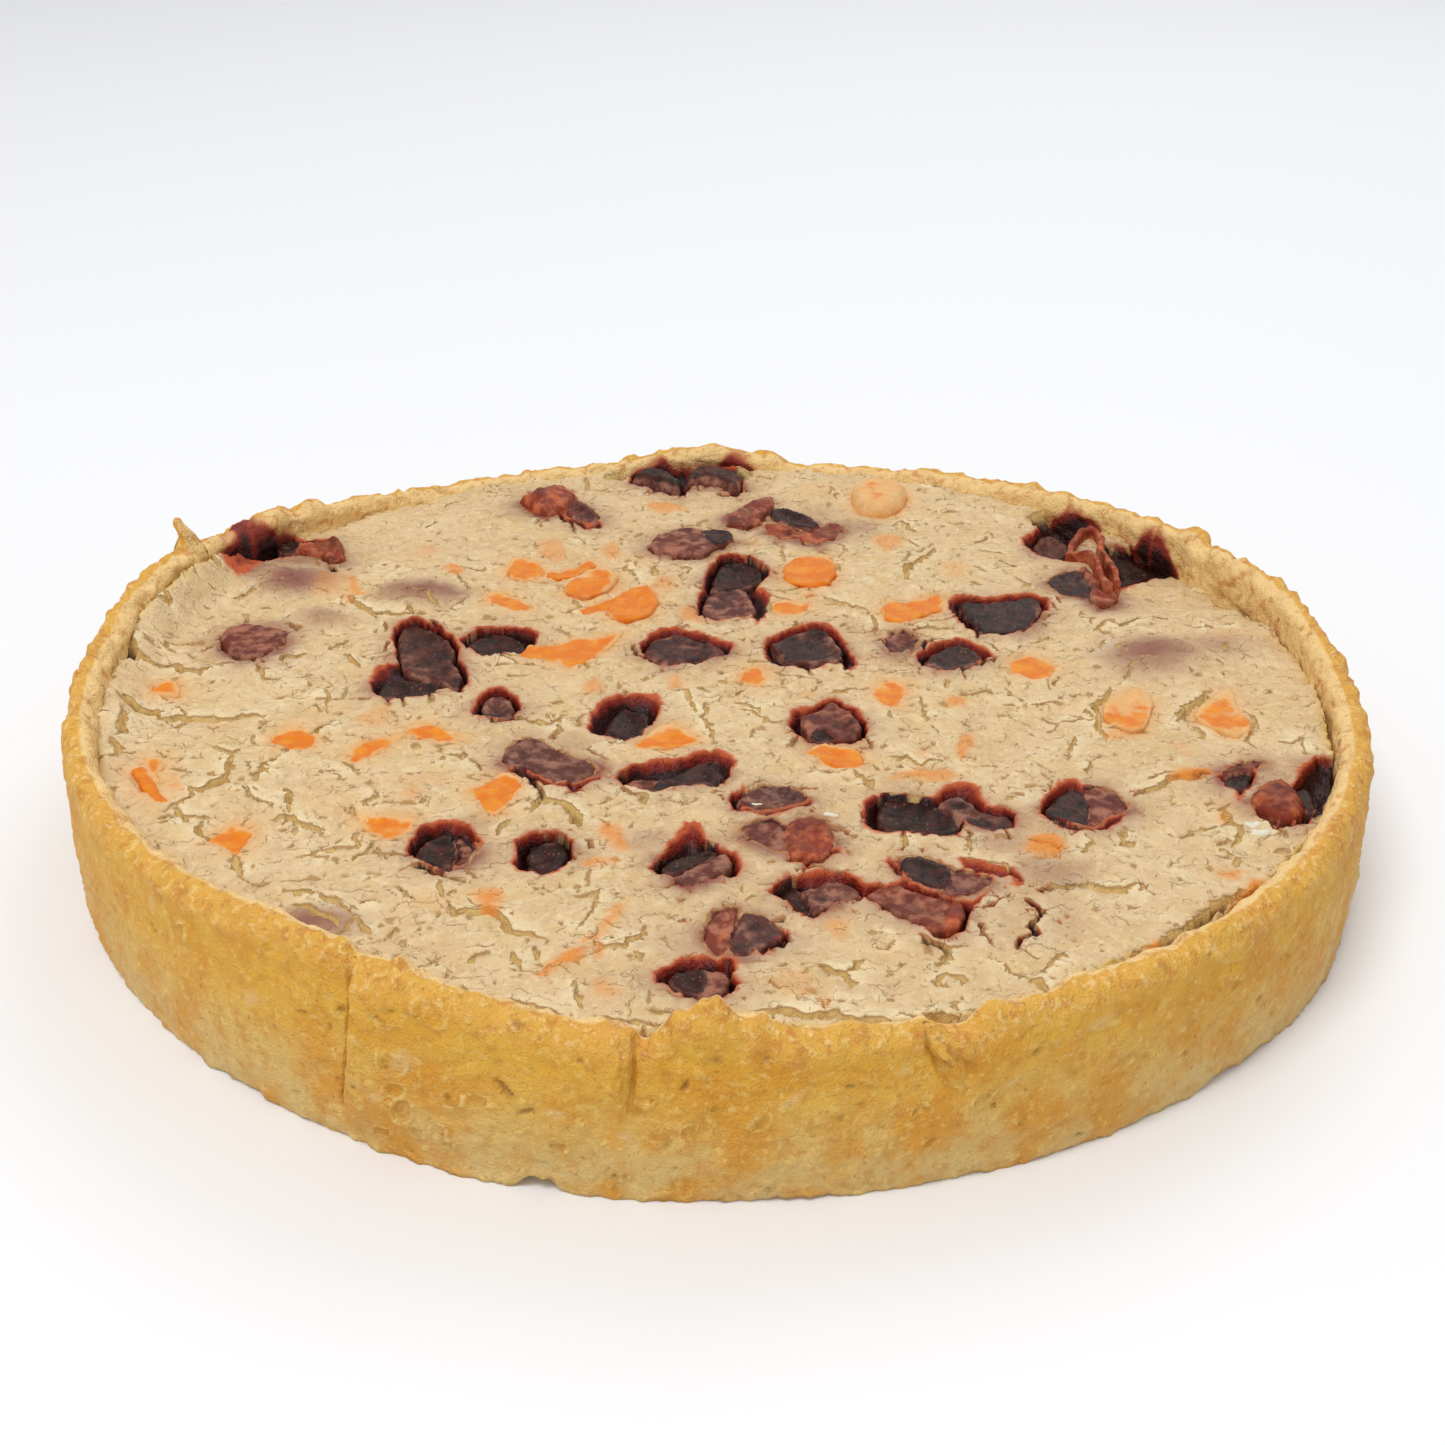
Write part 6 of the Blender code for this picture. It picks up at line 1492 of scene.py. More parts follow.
def pocket_field(x, y):
    """How deep the pockets beside the wall are."""
    depth = np.zeros(x.shape)
    rough = 0.18 * field(x, y, 0, 3.2, 4) + 0.1 * field(x, y, 0, 6.2, 1.7)
    for place_x, place_y, length, width, turn, deepest in WALL_POCKETS:
        turn = math.radians(turn)
        away = oval_away(x - place_x, y - place_y, 0.5 * length, 0.5 * width, turn) + rough
        depth = np.maximum(depth, deepest * np.sqrt(np.clip(1.1 - away**2, 0, 1)))
    return depth


# %% Build the grid and refine it
GRID_SPACING = 1.3
GRID_REACH = 132.0
FOLD_WIDTH = 5.0  # of the grid beyond the edge, which becomes the side
CRACK_BAND = (1.0, 0.38)  # how close to a crack the faces are halved, first and second time
PIT_BAND = (1.4, 0.5)


def from_flake(x, y):
    """Distance from the middle of the nearest flake, in half lengths."""
    away = np.full(x.shape, 9.0)
    for px, py, half_length, half_width in FLAKES:
        flake_x, flake_y = on_skin([(px, py)])[0]
        away = np.minimum(away, oval_away(x - flake_x, y - flake_y, half_length, half_width))
    return away


def arrays_of(shape):
    points = np.array([vert.co[:] for vert in shape.verts])
    return points[:, 0], points[:, 1]


def refine(shape, crack_band, pit_band):
    """Halves the edges near cracks, pits and the filling's edge."""
    x, y = arrays_of(shape)
    crack_edge, *_ = crack_field(x, y)
    pit_edge, *_ = pit_field(x, y)
    fold = np.hypot(x, y) - edge_radius(azimuth_of(x, y))
    wanted = (crack_edge < crack_band) | ((pit_edge < pit_band) & (pit_edge > -4 * pit_band))
    wanted |= (np.abs(fold) < 0.8 * pit_band) | (from_flake(x, y) < 2.5)
    wanted &= fold < 1.5
    shape.verts.index_update()
    marks = wanted.tolist()
    edges = [e for e in shape.edges if marks[e.verts[0].index] and marks[e.verts[1].index]]
    bmesh.ops.subdivide_edges(shape, edges=edges, cuts=1, use_grid_fill=True, use_single_edge=True)
    print("halved", len(edges), "edges, faces now", len(shape.faces))


def build_skin():
    cells = round(2 * GRID_REACH / GRID_SPACING)
    shape = bmesh.new()
    bmesh.ops.create_grid(shape, x_segments=cells, y_segments=cells, size=GRID_REACH)
    x, y = arrays_of(shape)
    beyond = np.hypot(x, y) - edge_radius(azimuth_of(x, y)) > FOLD_WIDTH
    outside = [vert for vert, out in zip(shape.verts, beyond.tolist()) if out]
    bmesh.ops.delete(shape, geom=outside, context="VERTS")
    for crack_band, pit_band in zip(CRACK_BAND, PIT_BAND):
        refine(shape, crack_band, pit_band)
    return shape


skin_shape = build_skin()

# %% [markdown]
# Each point of the grid now gets its height: the level of the skin with the swell of each small
# plate, less cracks, pits and pockets. The same numbers say where beetroot and carrot juice has
# soaked in, and they are stored for the material. In one place, in front of the largest group of
# beetroot, the juice seeped a long way through the cracks.

# %% Give the skin its height and stains
LOWEST_SKIN = 8.0
SEEP_PIXEL = (1024, 916)  # where the juice seeped furthest
SEEP_CORE, SEEP_END = 7.0, 14.0
skin_x, skin_y = arrays_of(skin_shape)
skin_azimuth = azimuth_of(skin_x, skin_y)
reach = np.hypot(skin_x, skin_y)
crack_edge, crack_deep, crack_curl, crack_swell = crack_field(skin_x, skin_y)
pits = pit_field(skin_x, skin_y)
pit_edge, pit_depth, from_beetroot, from_carrot, from_patch, patch_number, behind = pits
pocket_depth = pocket_field(skin_x, skin_y)


def skin_noise(seed, size=1.0):
    return field(skin_x, skin_y, 0, seed, size)


crack_depth = crack_deep * (1 - smooth(-0.30, 0.06, crack_edge)) * smooth(-1.0, 0.3, from_carrot)
whole = skin_wholeness(skin_x, skin_y)
beside_wall = 1 - smooth(1.0, 6.0, inner_radius(skin_azimuth, FILLING_TOP) - reach)
grain = 0.20 * field(skin_x / 3.0, skin_y / 2.6, 0, 3.0) + 0.10 * skin_noise(7.0, 1.2)
crumbs = 0.75 * skin_noise(5.0, 2.2) * beside_wall
plates = 0.50 * field(skin_x / 6.5, skin_y / 4.6, 0, 21.0) * (1.2 - 0.6 * whole)
top = skin_level(skin_x, skin_y) + plates + crack_swell + crack_curl * (pit_edge > -0.3)
top = top + grain * (1.45 - 0.7 * whole) + crumbs
top = top + 0.25 * np.exp(-((np.maximum(0, pit_edge) / 1.3) ** 2)) * (from_carrot > 1.5)
top = top + 0.3 * smooth(0.6, -2.2, from_patch) - 1.0 * smooth(-0.25, -1.0, from_carrot)
flake = 1 - smooth(0.75, 1.15, from_flake(skin_x, skin_y) + 0.3 * skin_noise(19.0))
top = top + 0.55 * flake
sunk = np.maximum(crack_depth * (1 - flake), np.maximum(pocket_depth, pit_depth))
height = np.maximum(top - sunk, LOWEST_SKIN)

# Fold the outermost ring down as the side of the filling.
rim_of_filling = edge_radius(skin_azimuth)
fold = np.maximum(0, reach - rim_of_filling)
side_height = height - 2.2 * fold
wall_room = inner_radius(skin_azimuth, np.maximum(side_height, 9)) - 0.1
new_reach = np.where(fold > 0, np.minimum(rim_of_filling + 0.25 * fold, wall_room + 0.35), reach)
scale = np.where(reach > 1, new_reach / np.maximum(reach, 1), 1)
height = np.where(fold > 0, side_height, height)
places = np.stack([skin_x * scale, skin_y * scale, height], axis=1)
for vert, place in zip(skin_shape.verts, places.tolist()):
    vert.co = place

juice_noise = 0.5 + 0.5 * skin_noise(12.5, 7) + 0.3 * skin_noise(4.5, 2.5)
beet_halo = np.exp(-np.maximum(0, from_beetroot - 0.8) / 2.6) * np.clip(0.4 + 0.9 * juice_noise, 0, 1.2)
beet_halo *= 1 - 0.5 * behind
seep_x, seep_y = on_skin([SEEP_PIXEL])[0]
from_seep = np.hypot(skin_x - seep_x, skin_y - seep_y) + 3 * (juice_noise - 0.5)
seeping = 1 - smooth(SEEP_CORE, SEEP_END, from_seep)
beet_halo = np.maximum(beet_halo, 0.22 * seeping)
carrot_halo = np.exp(-np.maximum(0, from_carrot - 0.1) / 1.6) * np.clip(0.4 + 0.7 * juice_noise, 0, 1.1)
ragged = juice_noise - 0.5
beet_shadow = strongest_oval(skin_x, skin_y, BEETROOT_SHADOWS, 0.1, 1.15, 0.25 * ragged)
carrot_shadow = strongest_oval(skin_x, skin_y, CARROT_SHADOWS, 0.1, 1.1, 0.3 * ragged)
patch_strength = np.array([row[0] for row in CARROT_PATCHES])[patch_number]
bits = patch_strength * smooth(0.9, -1.1, from_patch + 0.8 * ragged)
print("points of the skin:", len(height), "in pits:", int((pit_edge < 0).sum()))

# %% Close the filling below its skin
FILLING_BOTTOM = 7.0
BOTTOM_RADIUS = 117.5
MOST_TRIANGLES = 196000
near_beetroot = 1 - smooth(1.5, 6.0, from_beetroot + 1.5 * ragged)
near_beetroot = np.maximum(near_beetroot, seeping)
bleed = behind * np.clip(0.05 + 0.5 * juice_noise, 0, 0.7)  # of juice over the edge, in mm
near_pit = 1 - smooth(-0.15, 0.45 + bleed, pit_edge)
wet = np.clip(near_pit + smooth(1.2, 3.6, pocket_depth), 0, 1) * (from_beetroot < from_carrot + 2)
wet = np.maximum(wet, smooth(0.45, -0.1, from_beetroot) * (pit_edge < 1.2))
wet = np.maximum(wet, near_beetroot * smooth(0.05, 0.5, crack_depth))
wet = np.maximum(wet, smooth(0.0, -0.4, from_beetroot))
# depth drives painted shade: darker the deeper a point is sunk, less on lit far walls behind a piece
depth = sunk * (1.9 - 0.9 * behind * (pit_edge < 0.5)) * (1 + 0.6 * skin_noise(17.0, 2))
depth = depth + 1.6 * smooth(0.1, -0.5, from_beetroot)
# Painted highlight along the curled lips of cracks and round the rims of pits
lip_highlight = np.clip(2.2 * crack_curl + 0.5 * np.exp(-((pit_edge / 0.8) ** 2)), 0, 1) * (from_beetroot > 0)
values = {
    "beetroot_film": np.clip(np.maximum(beet_halo, beet_shadow), 0, 1),
    "carrot_film": np.clip(np.maximum(carrot_halo, carrot_shadow), 0, 1),
    "carrot_bit": bits,
    "flake": flake,
    "depth": depth,
    "wet": wet,
    "edge": smooth(-1.1, 0.3, reach - rim_of_filling),
    "lip_highlight": lip_highlight,
}
layers = {name: skin_shape.verts.layers.float.new(name) for name in values}
for name, place in layers.items():
    for vert, value in zip(skin_shape.verts, values[name].tolist()):
        vert[place] = value

border = [edge for edge in skin_shape.edges if edge.is_boundary]
lower = bmesh.ops.extrude_edge_only(skin_shape, edges=border)["geom"]
for item in lower:
    if isinstance(item, bmesh.types.BMVert):
        flat = item.co.xy.normalized() * BOTTOM_RADIUS
        item.co = (flat.x, flat.y, FILLING_BOTTOM)
bottom_edges = [item for item in lower if isinstance(item, bmesh.types.BMEdge)]
bmesh.ops.holes_fill(skin_shape, edges=bottom_edges, sides=0)
bmesh.ops.triangulate(skin_shape, faces=[face for face in skin_shape.faces if len(face.verts) > 4])
bmesh.ops.recalc_face_normals(skin_shape, faces=skin_shape.faces)
open_edges = sum(1 for edge in skin_shape.edges if not edge.is_manifold)
print("filling: points", len(skin_shape.verts), "open edges", open_edges)
filling = make_piece("cracked_filling", skin_shape, "filling", slot="filling")
fewer = filling.modifiers.new("fewer_faces", "DECIMATE")
fewer.ratio = min(1.0, MOST_TRIANGLES / triangles_of(filling.data))
evaluated_mesh(filling)
finish_mesh(filling)

# %% [markdown]
# ## The vegetables
#
# Diced beetroot and carrot shrank and wrinkled in the oven. Each part of a piece starts from its
# outline: the corners become one face, which bmesh.ops.extrude_face_region draws down into the
# filling. A voxel remesh welds the parts and gives them small even faces, and smoothing rounds the
# corners. Then the points move: the top follows the skin at its own rise and rolls off towards the
# edge, slow noise makes it irregular, and beetroot gets a sunken top and wrinkles. A pale seed
# clings to one of them.
#
# One piece has no outline: a thin slice of beetroot that curled over. It starts as two bent lines,
# which bmesh.ops.extrude_edge_only draws up into strips and bmesh.ops.solidify thickens.

# %% Bodies of the vegetables
VOXEL = 0.45
SMOOTHING = 2
ROOT_DEPTH = 10.0  # how far a piece reaches down
ROOT_LEVEL = FILLING_TOP - ROOT_DEPTH


def outlined_piece(name, parts, slot):
    """The parts of a piece, drawn down from their outlines and welded into one body."""
    shape = bmesh.new()
    for *_, outline in parts:
        face = shape.faces.new([shape.verts.new((x, y, FILLING_TOP)) for x, y in outline])
        face.normal_update()
        drawn = bmesh.ops.extrude_face_region(shape, geom=[face], use_keep_orig=True)
        lower = [item for item in drawn["geom"] if isinstance(item, bmesh.types.BMVert)]
        bmesh.ops.translate(shape, vec=(0, 0, -ROOT_DEPTH), verts=lower)
    bmesh.ops.recalc_face_normals(shape, faces=shape.faces)
    piece = make_piece("diced_" + name, shape, name, slot=slot)
    small_faces(piece, VOXEL, SMOOTHING)
    return piece


print("a piece goes down to", ROOT_LEVEL)

# %% Surface of beetroot and carrot
# The piece that a pale seed clings to, the seed's pixel, and its half length and half width in mm
SEED = ("beetroot_25", (757, 803), 1.2, 0.5)


def wrinkle_beetroot(points, facing_up, inward, draw):
    """Beetroot dries most: a sunken top between raised edges, and wrinkles that run one way."""
    x, y, z = points.T
    along, across = turned(x, y, draw.uniform(0, math.pi))
    seed = draw.uniform(0, 50)
    move = 0.34 * field(x, y, z, seed, 5.0) + 0.15 * field(x, y, z, seed, 1.9)
    folds = 1 - np.abs(2.2 * field(along / 5.5, across / 1.6, z / 2.5, seed + 9))
    move += 0.30 * np.clip(folds, 0, 1) ** 2 - 0.10
    move += 0.10 * field(x, y, z, seed, 0.9)
    return move - draw.uniform(0.2, 0.9) * facing_up * smooth(0.5, 3.4, inward)


def soften_carrot(points, facing_up, inward, draw):
    """Carrot keeps its cut faces: a slight dip and a soft lump here and there."""
    x, y, z = points.T
    seed = draw.uniform(0, 50)
    move = 0.5 * field(x, y, z, seed, 3.8) + 0.16 * field(x, y, z, seed, 1.6)
    return move - draw.uniform(0.1, 0.4) * facing_up * smooth(0.3, 3.0, inward)


def seed_on(name, x, y):
    """1 on the seed, 0 beside it."""
    piece, pixel, half_length, half_width = SEED
    if name != piece:
        return np.zeros(x.shape)
    seed_x, seed_y = on_skin([pixel], 0.6)[0]
    return 1 - smooth(0.6, 1.1, oval_away(x - seed_x, y - seed_y, half_length, half_width))


print("the seed's piece:", SEED[0])

# %% Dress the beetroot


def dress_vegetable(name, parts, kind):
    piece = outlined_piece(name, parts, kind)
    mesh = piece.data
    points, normals = points_of(mesh), normals_of(mesh)
    draw = random.Random("look_" + name)
    x, y, z = points.T
    edge, number = nearest_outline(x, y, [part[4] for part in parts], 30.0)
    rise, rounding, film, red = (np.array(column)[number] for column in list(zip(*parts))[:4])
    inward = np.maximum(0, -edge)
    rolled = np.clip(1 - inward / rounding, 0, 1)
    crisp = 1.0 if kind == "beetroot" else 0.25 + 0.5 * np.maximum(0, rise - 0.3)
    fall = np.where(rise > 2, rise + 0.6, np.minimum(rounding, crisp))
    level = skin_level(x, y)
    top = level + rise - fall * (1 - np.sqrt(1 - rolled**2 * 0.98))
    share = np.clip((z - ROOT_LEVEL) / ROOT_DEPTH, 0, 1)
    points = np.stack([x, y, ROOT_LEVEL + share * (top - ROOT_LEVEL)], axis=1)
    facing_up = smooth(0.35, 0.85, normals[:, 2])
    move = (wrinkle_beetroot if kind == "beetroot" else soften_carrot)(points, facing_up, inward, draw)
    seed = seed_on(name, x, y) * (facing_up > 0.3)
    move_points(mesh, points + normals * (move + 0.45 * seed)[:, None])
    points, normals = points_of(mesh), normals_of(mesh)
    x, y, z = points.T
    below = level - z
    facing_up = smooth(0.1, 0.7, normals[:, 2])
    cloud = field(x, y, z, draw.uniform(0, 50), 5) + 0.5 * field(x, y, z, 3.0, 1.7)
    if kind == "beetroot":
        at_edge = np.exp(-inward / 1.4)
        towards_front = smooth(0.1, 0.6, -normals[:, 1]) * smooth(0.9, 0.5, normals[:, 2])
        cover = smooth(0.1, 0.8, film - 0.12 + 0.45 * towards_front + 0.4 * at_edge + 0.35 * cloud)
        cover *= smooth(4.2, 1.4, below)
    else:
        far_side = smooth(-0.3, 0.9, (y - y.mean()) / (0.5 * np.ptp(y)))
        soft_edge = np.exp(-inward / (0.6 + 1.2 * far_side)) * (0.75 + 0.55 * far_side)
        cover = smooth(0.2, 1.15, film - 0.2 + soft_edge + 0.5 * cloud) * (0.4 + 0.6 * facing_up)
    paint(
        mesh,
        seed=seed,
        film=np.clip(cover, 0, 1),
        upward=facing_up,
        # deep: how far below the skin; the beetroot finish turns it near black there as painted shade
        deep=np.clip(below / 5.0, 0, 1),
        red=np.clip(red * (0.8 + 0.6 * cloud), 0, 1),
    )
    finish_mesh(piece)
    return piece


beetroots = [dress_vegetable(name, parts, "beetroot") for name, parts in beetroot_pieces.items()]
print("pieces of beetroot from outlines:", len(beetroots))

# %% The curled slice, and the carrots
CURL_RING = (
    1064, 562, 1068, 551, 1077, 541, 1088, 536, 1097, 538, 1103, 547, 1102, 559, 1108, 572, 1116, 586,
    1119, 596,
)
CURL_FOLD = (1066, 560, 1078, 560, 1090, 562, 1098, 574, 1102, 588, 1112, 598)
CURL_FOOT = 3.0  # below the skin
CURL_HEIGHT = 2.3  # above it
CURL_THICKNESS = 1.5
CURL_VOXEL = 0.36
CURL_SMOOTHING = 3


def curled_slice(name):
    """A thin slice of beetroot that dried standing up and rolled over itself."""
    shape = bmesh.new()
    for pixels in (CURL_RING, CURL_FOLD):
        line = [shape.verts.new((x, y, FILLING_TOP - CURL_FOOT)) for x, y in on_skin(pairs(pixels))]
        edges = [shape.edges.new(pair) for pair in zip(line, line[1:])]
        bmesh.ops.subdivide_edges(shape, edges=edges, cuts=3)
        edges = [edge for edge in shape.edges if edge.is_wire]
        drawn = bmesh.ops.extrude_edge_only(shape, edges=edges)["geom"]
        upper = [item for item in drawn if isinstance(item, bmesh.types.BMVert)]
        bmesh.ops.translate(shape, vec=(0.3, 0.4, CURL_FOOT + CURL_HEIGHT), verts=upper)
    bmesh.ops.solidify(shape, geom=shape.faces[:], thickness=CURL_THICKNESS)
    bmesh.ops.recalc_face_normals(shape, faces=shape.faces)
    piece = make_piece("curled_" + name, shape, name, slot="beetroot")
    mesh = small_faces(piece, CURL_VOXEL, CURL_SMOOTHING)
    points, normals = points_of(mesh), normals_of(mesh)
    x, y, z = points.T
    move = 0.30 * field(x, y, z, 6.0, 3.4) + 0.12 * field(x, y, z, 6.0, 1.2)
    points = points + normals * move[:, None]
    points[:, 2] += 0.8 * field(x, y, 0, 3.3, 5) * smooth(FILLING_TOP, FILLING_TOP + 3, z)
    move_points(mesh, points)
    cloud = field(x, y, z, 8.0, 4)
    paint(
        mesh,
        film=np.clip(0.7 + 0.5 * cloud, 0, 1),
        upward=smooth(0.1, 0.7, normals[:, 2]),
        # deep: how far below the skin; the finish turns it near black there as painted shade
        deep=np.clip((FILLING_TOP - 0.8 - points[:, 2]) / 5.0, 0, 1),
        red=np.clip(0.85 + 0.3 * cloud, 0, 1),
    )
    finish_mesh(piece)
    return piece


beetroots.append(curled_slice("beetroot_09"))
carrots = [dress_vegetable(name, parts, "carrot") for name, parts in carrot_pieces.items()]
print("pieces of carrot:", len(carrots))
dressed = {"crust", "filling", "beetroot_09", *beetroot_pieces, *carrot_pieces}
print("nodes without a piece:", sorted(set(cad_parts) - dressed))

# %% [markdown]
# ## Colours and shared effects
#
# Colours are written as they look on a screen, from 0 to 255, and turned into the linear values
# that a shader needs. Each effect that more than one finish uses is a node group with named
# sockets: mottling in large soft patches, fine specks, cracks too fine for the mesh, juice that
# stains what lies under it, the grain of a baked surface, and the colour of the filling's skin.

# %% Colours and nodes


def tone(red, green, blue):
    """A linear colour from a screen colour."""
    parts = [part / 255 for part in (red, green, blue)]
    linear = [part / 12.92 if part <= 0.04045 else ((part + 0.055) / 1.055) ** 2.4 for part in parts]
    return (*linear, 1.0)


def feed(tree, socket, value):
    """Links another node's output to a socket, or writes a constant on the socket."""
    if isinstance(value, bpy.types.NodeSocket):
        tree.links.new(value, socket)
    else:
        socket.default_value = value


def put(tree, kind, sockets, **settings):
    """Adds a node. settings are its options, and sockets its inputs: a value or another's output."""
    node = tree.nodes.new("ShaderNode" + kind)
    for name, value in settings.items():
        setattr(node, name, value)
    for name, value in sockets.items():
        feed(tree, node.inputs[name], value)
    return node


def blend(tree, share, low, high):
    """The colour low where share is 0 and high where it is 1."""
    node = put(tree, "Mix", {}, data_type="RGBA")
    for index, value in ((0, share), (6, low), (7, high)):
        feed(tree, node.inputs[index], value)
    return node.outputs[2]


print("linear tone of a mid grey:", [round(part, 2) for part in tone(128, 128, 128)])

# %% Shorthands for nodes


def maths(tree, how, *values, clamp=False):
    return put(tree, "Math", dict(enumerate(values)), operation=how, use_clamp=clamp).outputs[0]


def times(tree, first, second):
    return maths(tree, "MULTIPLY", first, second)


def layer(tree, base, share, strength, colour):
    """Lays a colour over the base, as strongly as this where share is 1."""
    return blend(tree, times(tree, share, strength), base, colour)


def ramp(tree, value, low, high, low_out=0.0, high_out=1.0):
    """Stretches low..high of a value to low_out..high_out, with soft ends."""
    sockets = {"Value": value, "From Min": low, "From Max": high, "To Min": low_out, "To Max": high_out}
    return put(tree, "MapRange", sockets, interpolation_type="SMOOTHSTEP").outputs["Result"]


def in_units(tree, place, across, deep, high):
    """A place divided by a size in each direction."""
    sizes = put(tree, "CombineXYZ", {"X": across, "Y": deep, "Z": high}).outputs[0]
    return put(tree, "VectorMath", {0: place, 1: sizes}, operation="DIVIDE").outputs[0]


def clouds(tree, place, scale, detail, roughness=0.5):
    sockets = {"Vector": place, "Scale": scale, "Detail": detail, "Roughness": roughness}
    return put(tree, "TexNoise", sockets).outputs


def stored(tree, name):
    """A value that was painted on the mesh."""
    return put(tree, "Attribute", {}, attribute_name=name).outputs["Fac"]


# %% Helpers for groups


def new_group(name, inputs, outputs):
    """A node group whose sockets all have names: name, kind and default of each."""
    group = bpy.data.node_groups.new(name, "ShaderNodeTree")
    for socket_name, kind, default in inputs:
        socket = group.interface.new_socket(socket_name, in_out="INPUT", socket_type="NodeSocket" + kind)
        if default is not None:
            socket.default_value = default
    for socket_name, kind in outputs:
        group.interface.new_socket(socket_name, in_out="OUTPUT", socket_type="NodeSocket" + kind)
    start = group.nodes.new("NodeGroupInput")
    end = group.nodes.new("NodeGroupOutput")
    return group, start.outputs, end.inputs


def use_group(tree, group, **sockets):
    node = tree.nodes.new("ShaderNodeGroup")
    node.node_tree = group
    for name, value in sockets.items():
        feed(tree, node.inputs[name], value)
    return node.outputs


# %% Groups for patches and specks
PLACE = ("Place", "Vector", None)
patches_group, given, result = new_group(
    "soft patches",
    [PLACE, ("Size", "Float", 10.0), ("Low", "Float", 0.4), ("High", "Float", 0.6)],
    [("Mask", "Float")],
)
tree = patches_group
scaled = in_units(tree, given["Place"], given["Size"], given["Size"], given["Size"])
cloud = clouds(tree, scaled, 1.0, 3.0, 0.55)["Fac"]
tree.links.new(ramp(tree, cloud, given["Low"], given["High"]), result["Mask"])

specks_group, given, result = new_group(
    "fine specks",
    [PLACE, ("Size", "Float", 1.0), ("Share", "Float", 0.2), ("Edge", "Float", 0.1)],
    [("Mask", "Float")],
)
tree = specks_group
scaled = in_units(tree, given["Place"], given["Size"], given["Size"], given["Size"])
cells = put(tree, "TexVoronoi", {"Vector": scaled, "Scale": 1.0, "Randomness": 1.0}).outputs
picked = put(tree, "SeparateColor", {0: cells["Color"]}).outputs
chosen = maths(tree, "LESS_THAN", picked[0], given["Share"])
radius = maths(tree, "MULTIPLY_ADD", picked[1], 0.25, 0.12)
dot = ramp(tree, cells["Distance"], radius, maths(tree, "SUBTRACT", radius, given["Edge"]))
tree.links.new(times(tree, chosen, dot), result["Mask"])

print("masks:", patches_group.name, "and", specks_group.name)

# %% Group for fine cracks
crackle_group, given, result = new_group(
    "fine cracks",
    [PLACE, ("Size", "Float", 5.0), ("Width", "Float", 0.05), ("Share", "Float", 0.5)],
    [("Mask", "Float")],
)
tree = crackle_group
bend = clouds(tree, given["Place"], 0.33, 3.0, 0.6)["Color"]
centred = put(tree, "VectorMath", {0: bend, 1: (0.5, 0.5, 0.5)}, operation="SUBTRACT").outputs[0]
push = put(tree, "VectorMath", {0: centred, "Scale": 5.0}, operation="SCALE").outputs[0]
bent = put(tree, "VectorMath", {0: given["Place"], 1: push}, operation="ADD").outputs[0]
scaled = in_units(tree, bent, given["Size"], times(tree, given["Size"], 0.72), given["Size"])
flat_borders = {"feature": "DISTANCE_TO_EDGE", "voronoi_dimensions": "2D"}
borders = put(tree, "TexVoronoi", {"Vector": scaled, "Scale": 1.0}, **flat_borders).outputs
open_share = ramp(tree, clouds(tree, scaled, 1.15, 2.0)["Fac"], 0.46, 0.36)
shown = maths(tree, "MULTIPLY", open_share, given["Share"], clamp=True)
line = ramp(tree, borders["Distance"], times(tree, given["Width"], shown), 0.0)
tree.links.new(times(tree, line, ramp(tree, shown, 0.05, 0.4)), result["Mask"])

print("nodes for the fine cracks:", len(crackle_group.nodes))

# %% Groups for juice and grain
juice_group, given, result = new_group(
    "beetroot juice",
    [("Under", "Color", (0.8, 0.7, 0.5, 1)), ("Amount", "Float", 0.0), ("Depth", "Float", 0.0)],
    [("Color", "Color")],
)
tree = juice_group
# Deeper is darker: on the crust more juice, on the filling a deeper pit, there as painted shade
soaked = blend(tree, ramp(tree, given["Depth"], 0.1, 0.9), tone(190, 88, 44), tone(134, 34, 16))
soaked = blend(tree, ramp(tree, given["Depth"], 0.7, 2.5), soaked, tone(44, 10, 8))
tree.links.new(blend(tree, given["Amount"], given["Under"], soaked), result["Color"])

grain_group, given, result = new_group(
    "baked grain",
    [PLACE, ("Coarse", "Float", 1.0), ("Fine", "Float", 0.3)],
    [("Height", "Float")],
)
tree = grain_group
heights = []
for name, share in (("Coarse", 0.6), ("Fine", 0.4)):
    scaled = in_units(tree, given["Place"], given[name], given[name], given[name])
    heights.append(times(tree, clouds(tree, scaled, 1.0, 2.0)["Fac"], share))
tree.links.new(maths(tree, "ADD", *heights), result["Height"])
print("groups so far:", len(bpy.data.node_groups))

# %% Group for the colour of the filling's skin


def patchy(tree, place, size, low, high):
    return use_group(tree, patches_group, Place=place, Size=size, Low=low, High=high)["Mask"]


def speckled(tree, place, size, share, edge):
    return use_group(tree, specks_group, Place=place, Size=size, Share=share, Edge=edge)["Mask"]


def patch_layers(tree, base, place, rows):
    """Lays patches of colour over the base. Rows: size, low and high of the mask, strength, tone."""
    for size, low, high, strength, colour in rows:
        base = layer(tree, base, patchy(tree, place, size, low, high), strength, tone(*colour))
    return base


skin_group, given, result = new_group("set skin", [PLACE], [("Color", "Color"), ("Specks", "Float")])
tree = skin_group
place = given["Place"]
base = blend(tree, patchy(tree, place, 16.0, 0.35, 0.65), tone(216, 184, 136), tone(222, 193, 148))
skin_patches = (
    (6.0, 0.45, 0.7, 0.5, (217, 184, 122)),
    (2.4, 0.46, 0.66, 0.5, (198, 166, 120)),
    (1.3, 0.52, 0.68, 0.5, (236, 214, 172)),
)
base = patch_layers(tree, base, place, skin_patches)
light_specks = speckled(tree, place, 0.9, 0.35, 0.12)
base = layer(tree, base, light_specks, 0.35, tone(246, 230, 190))
base = layer(tree, base, speckled(tree, place, 1.15, 0.14, 0.1), 0.5, tone(146, 108, 66))
tree.links.new(base, result["Color"])
tree.links.new(light_specks, result["Specks"])
print("shared groups:", [group.name for group in bpy.data.node_groups])
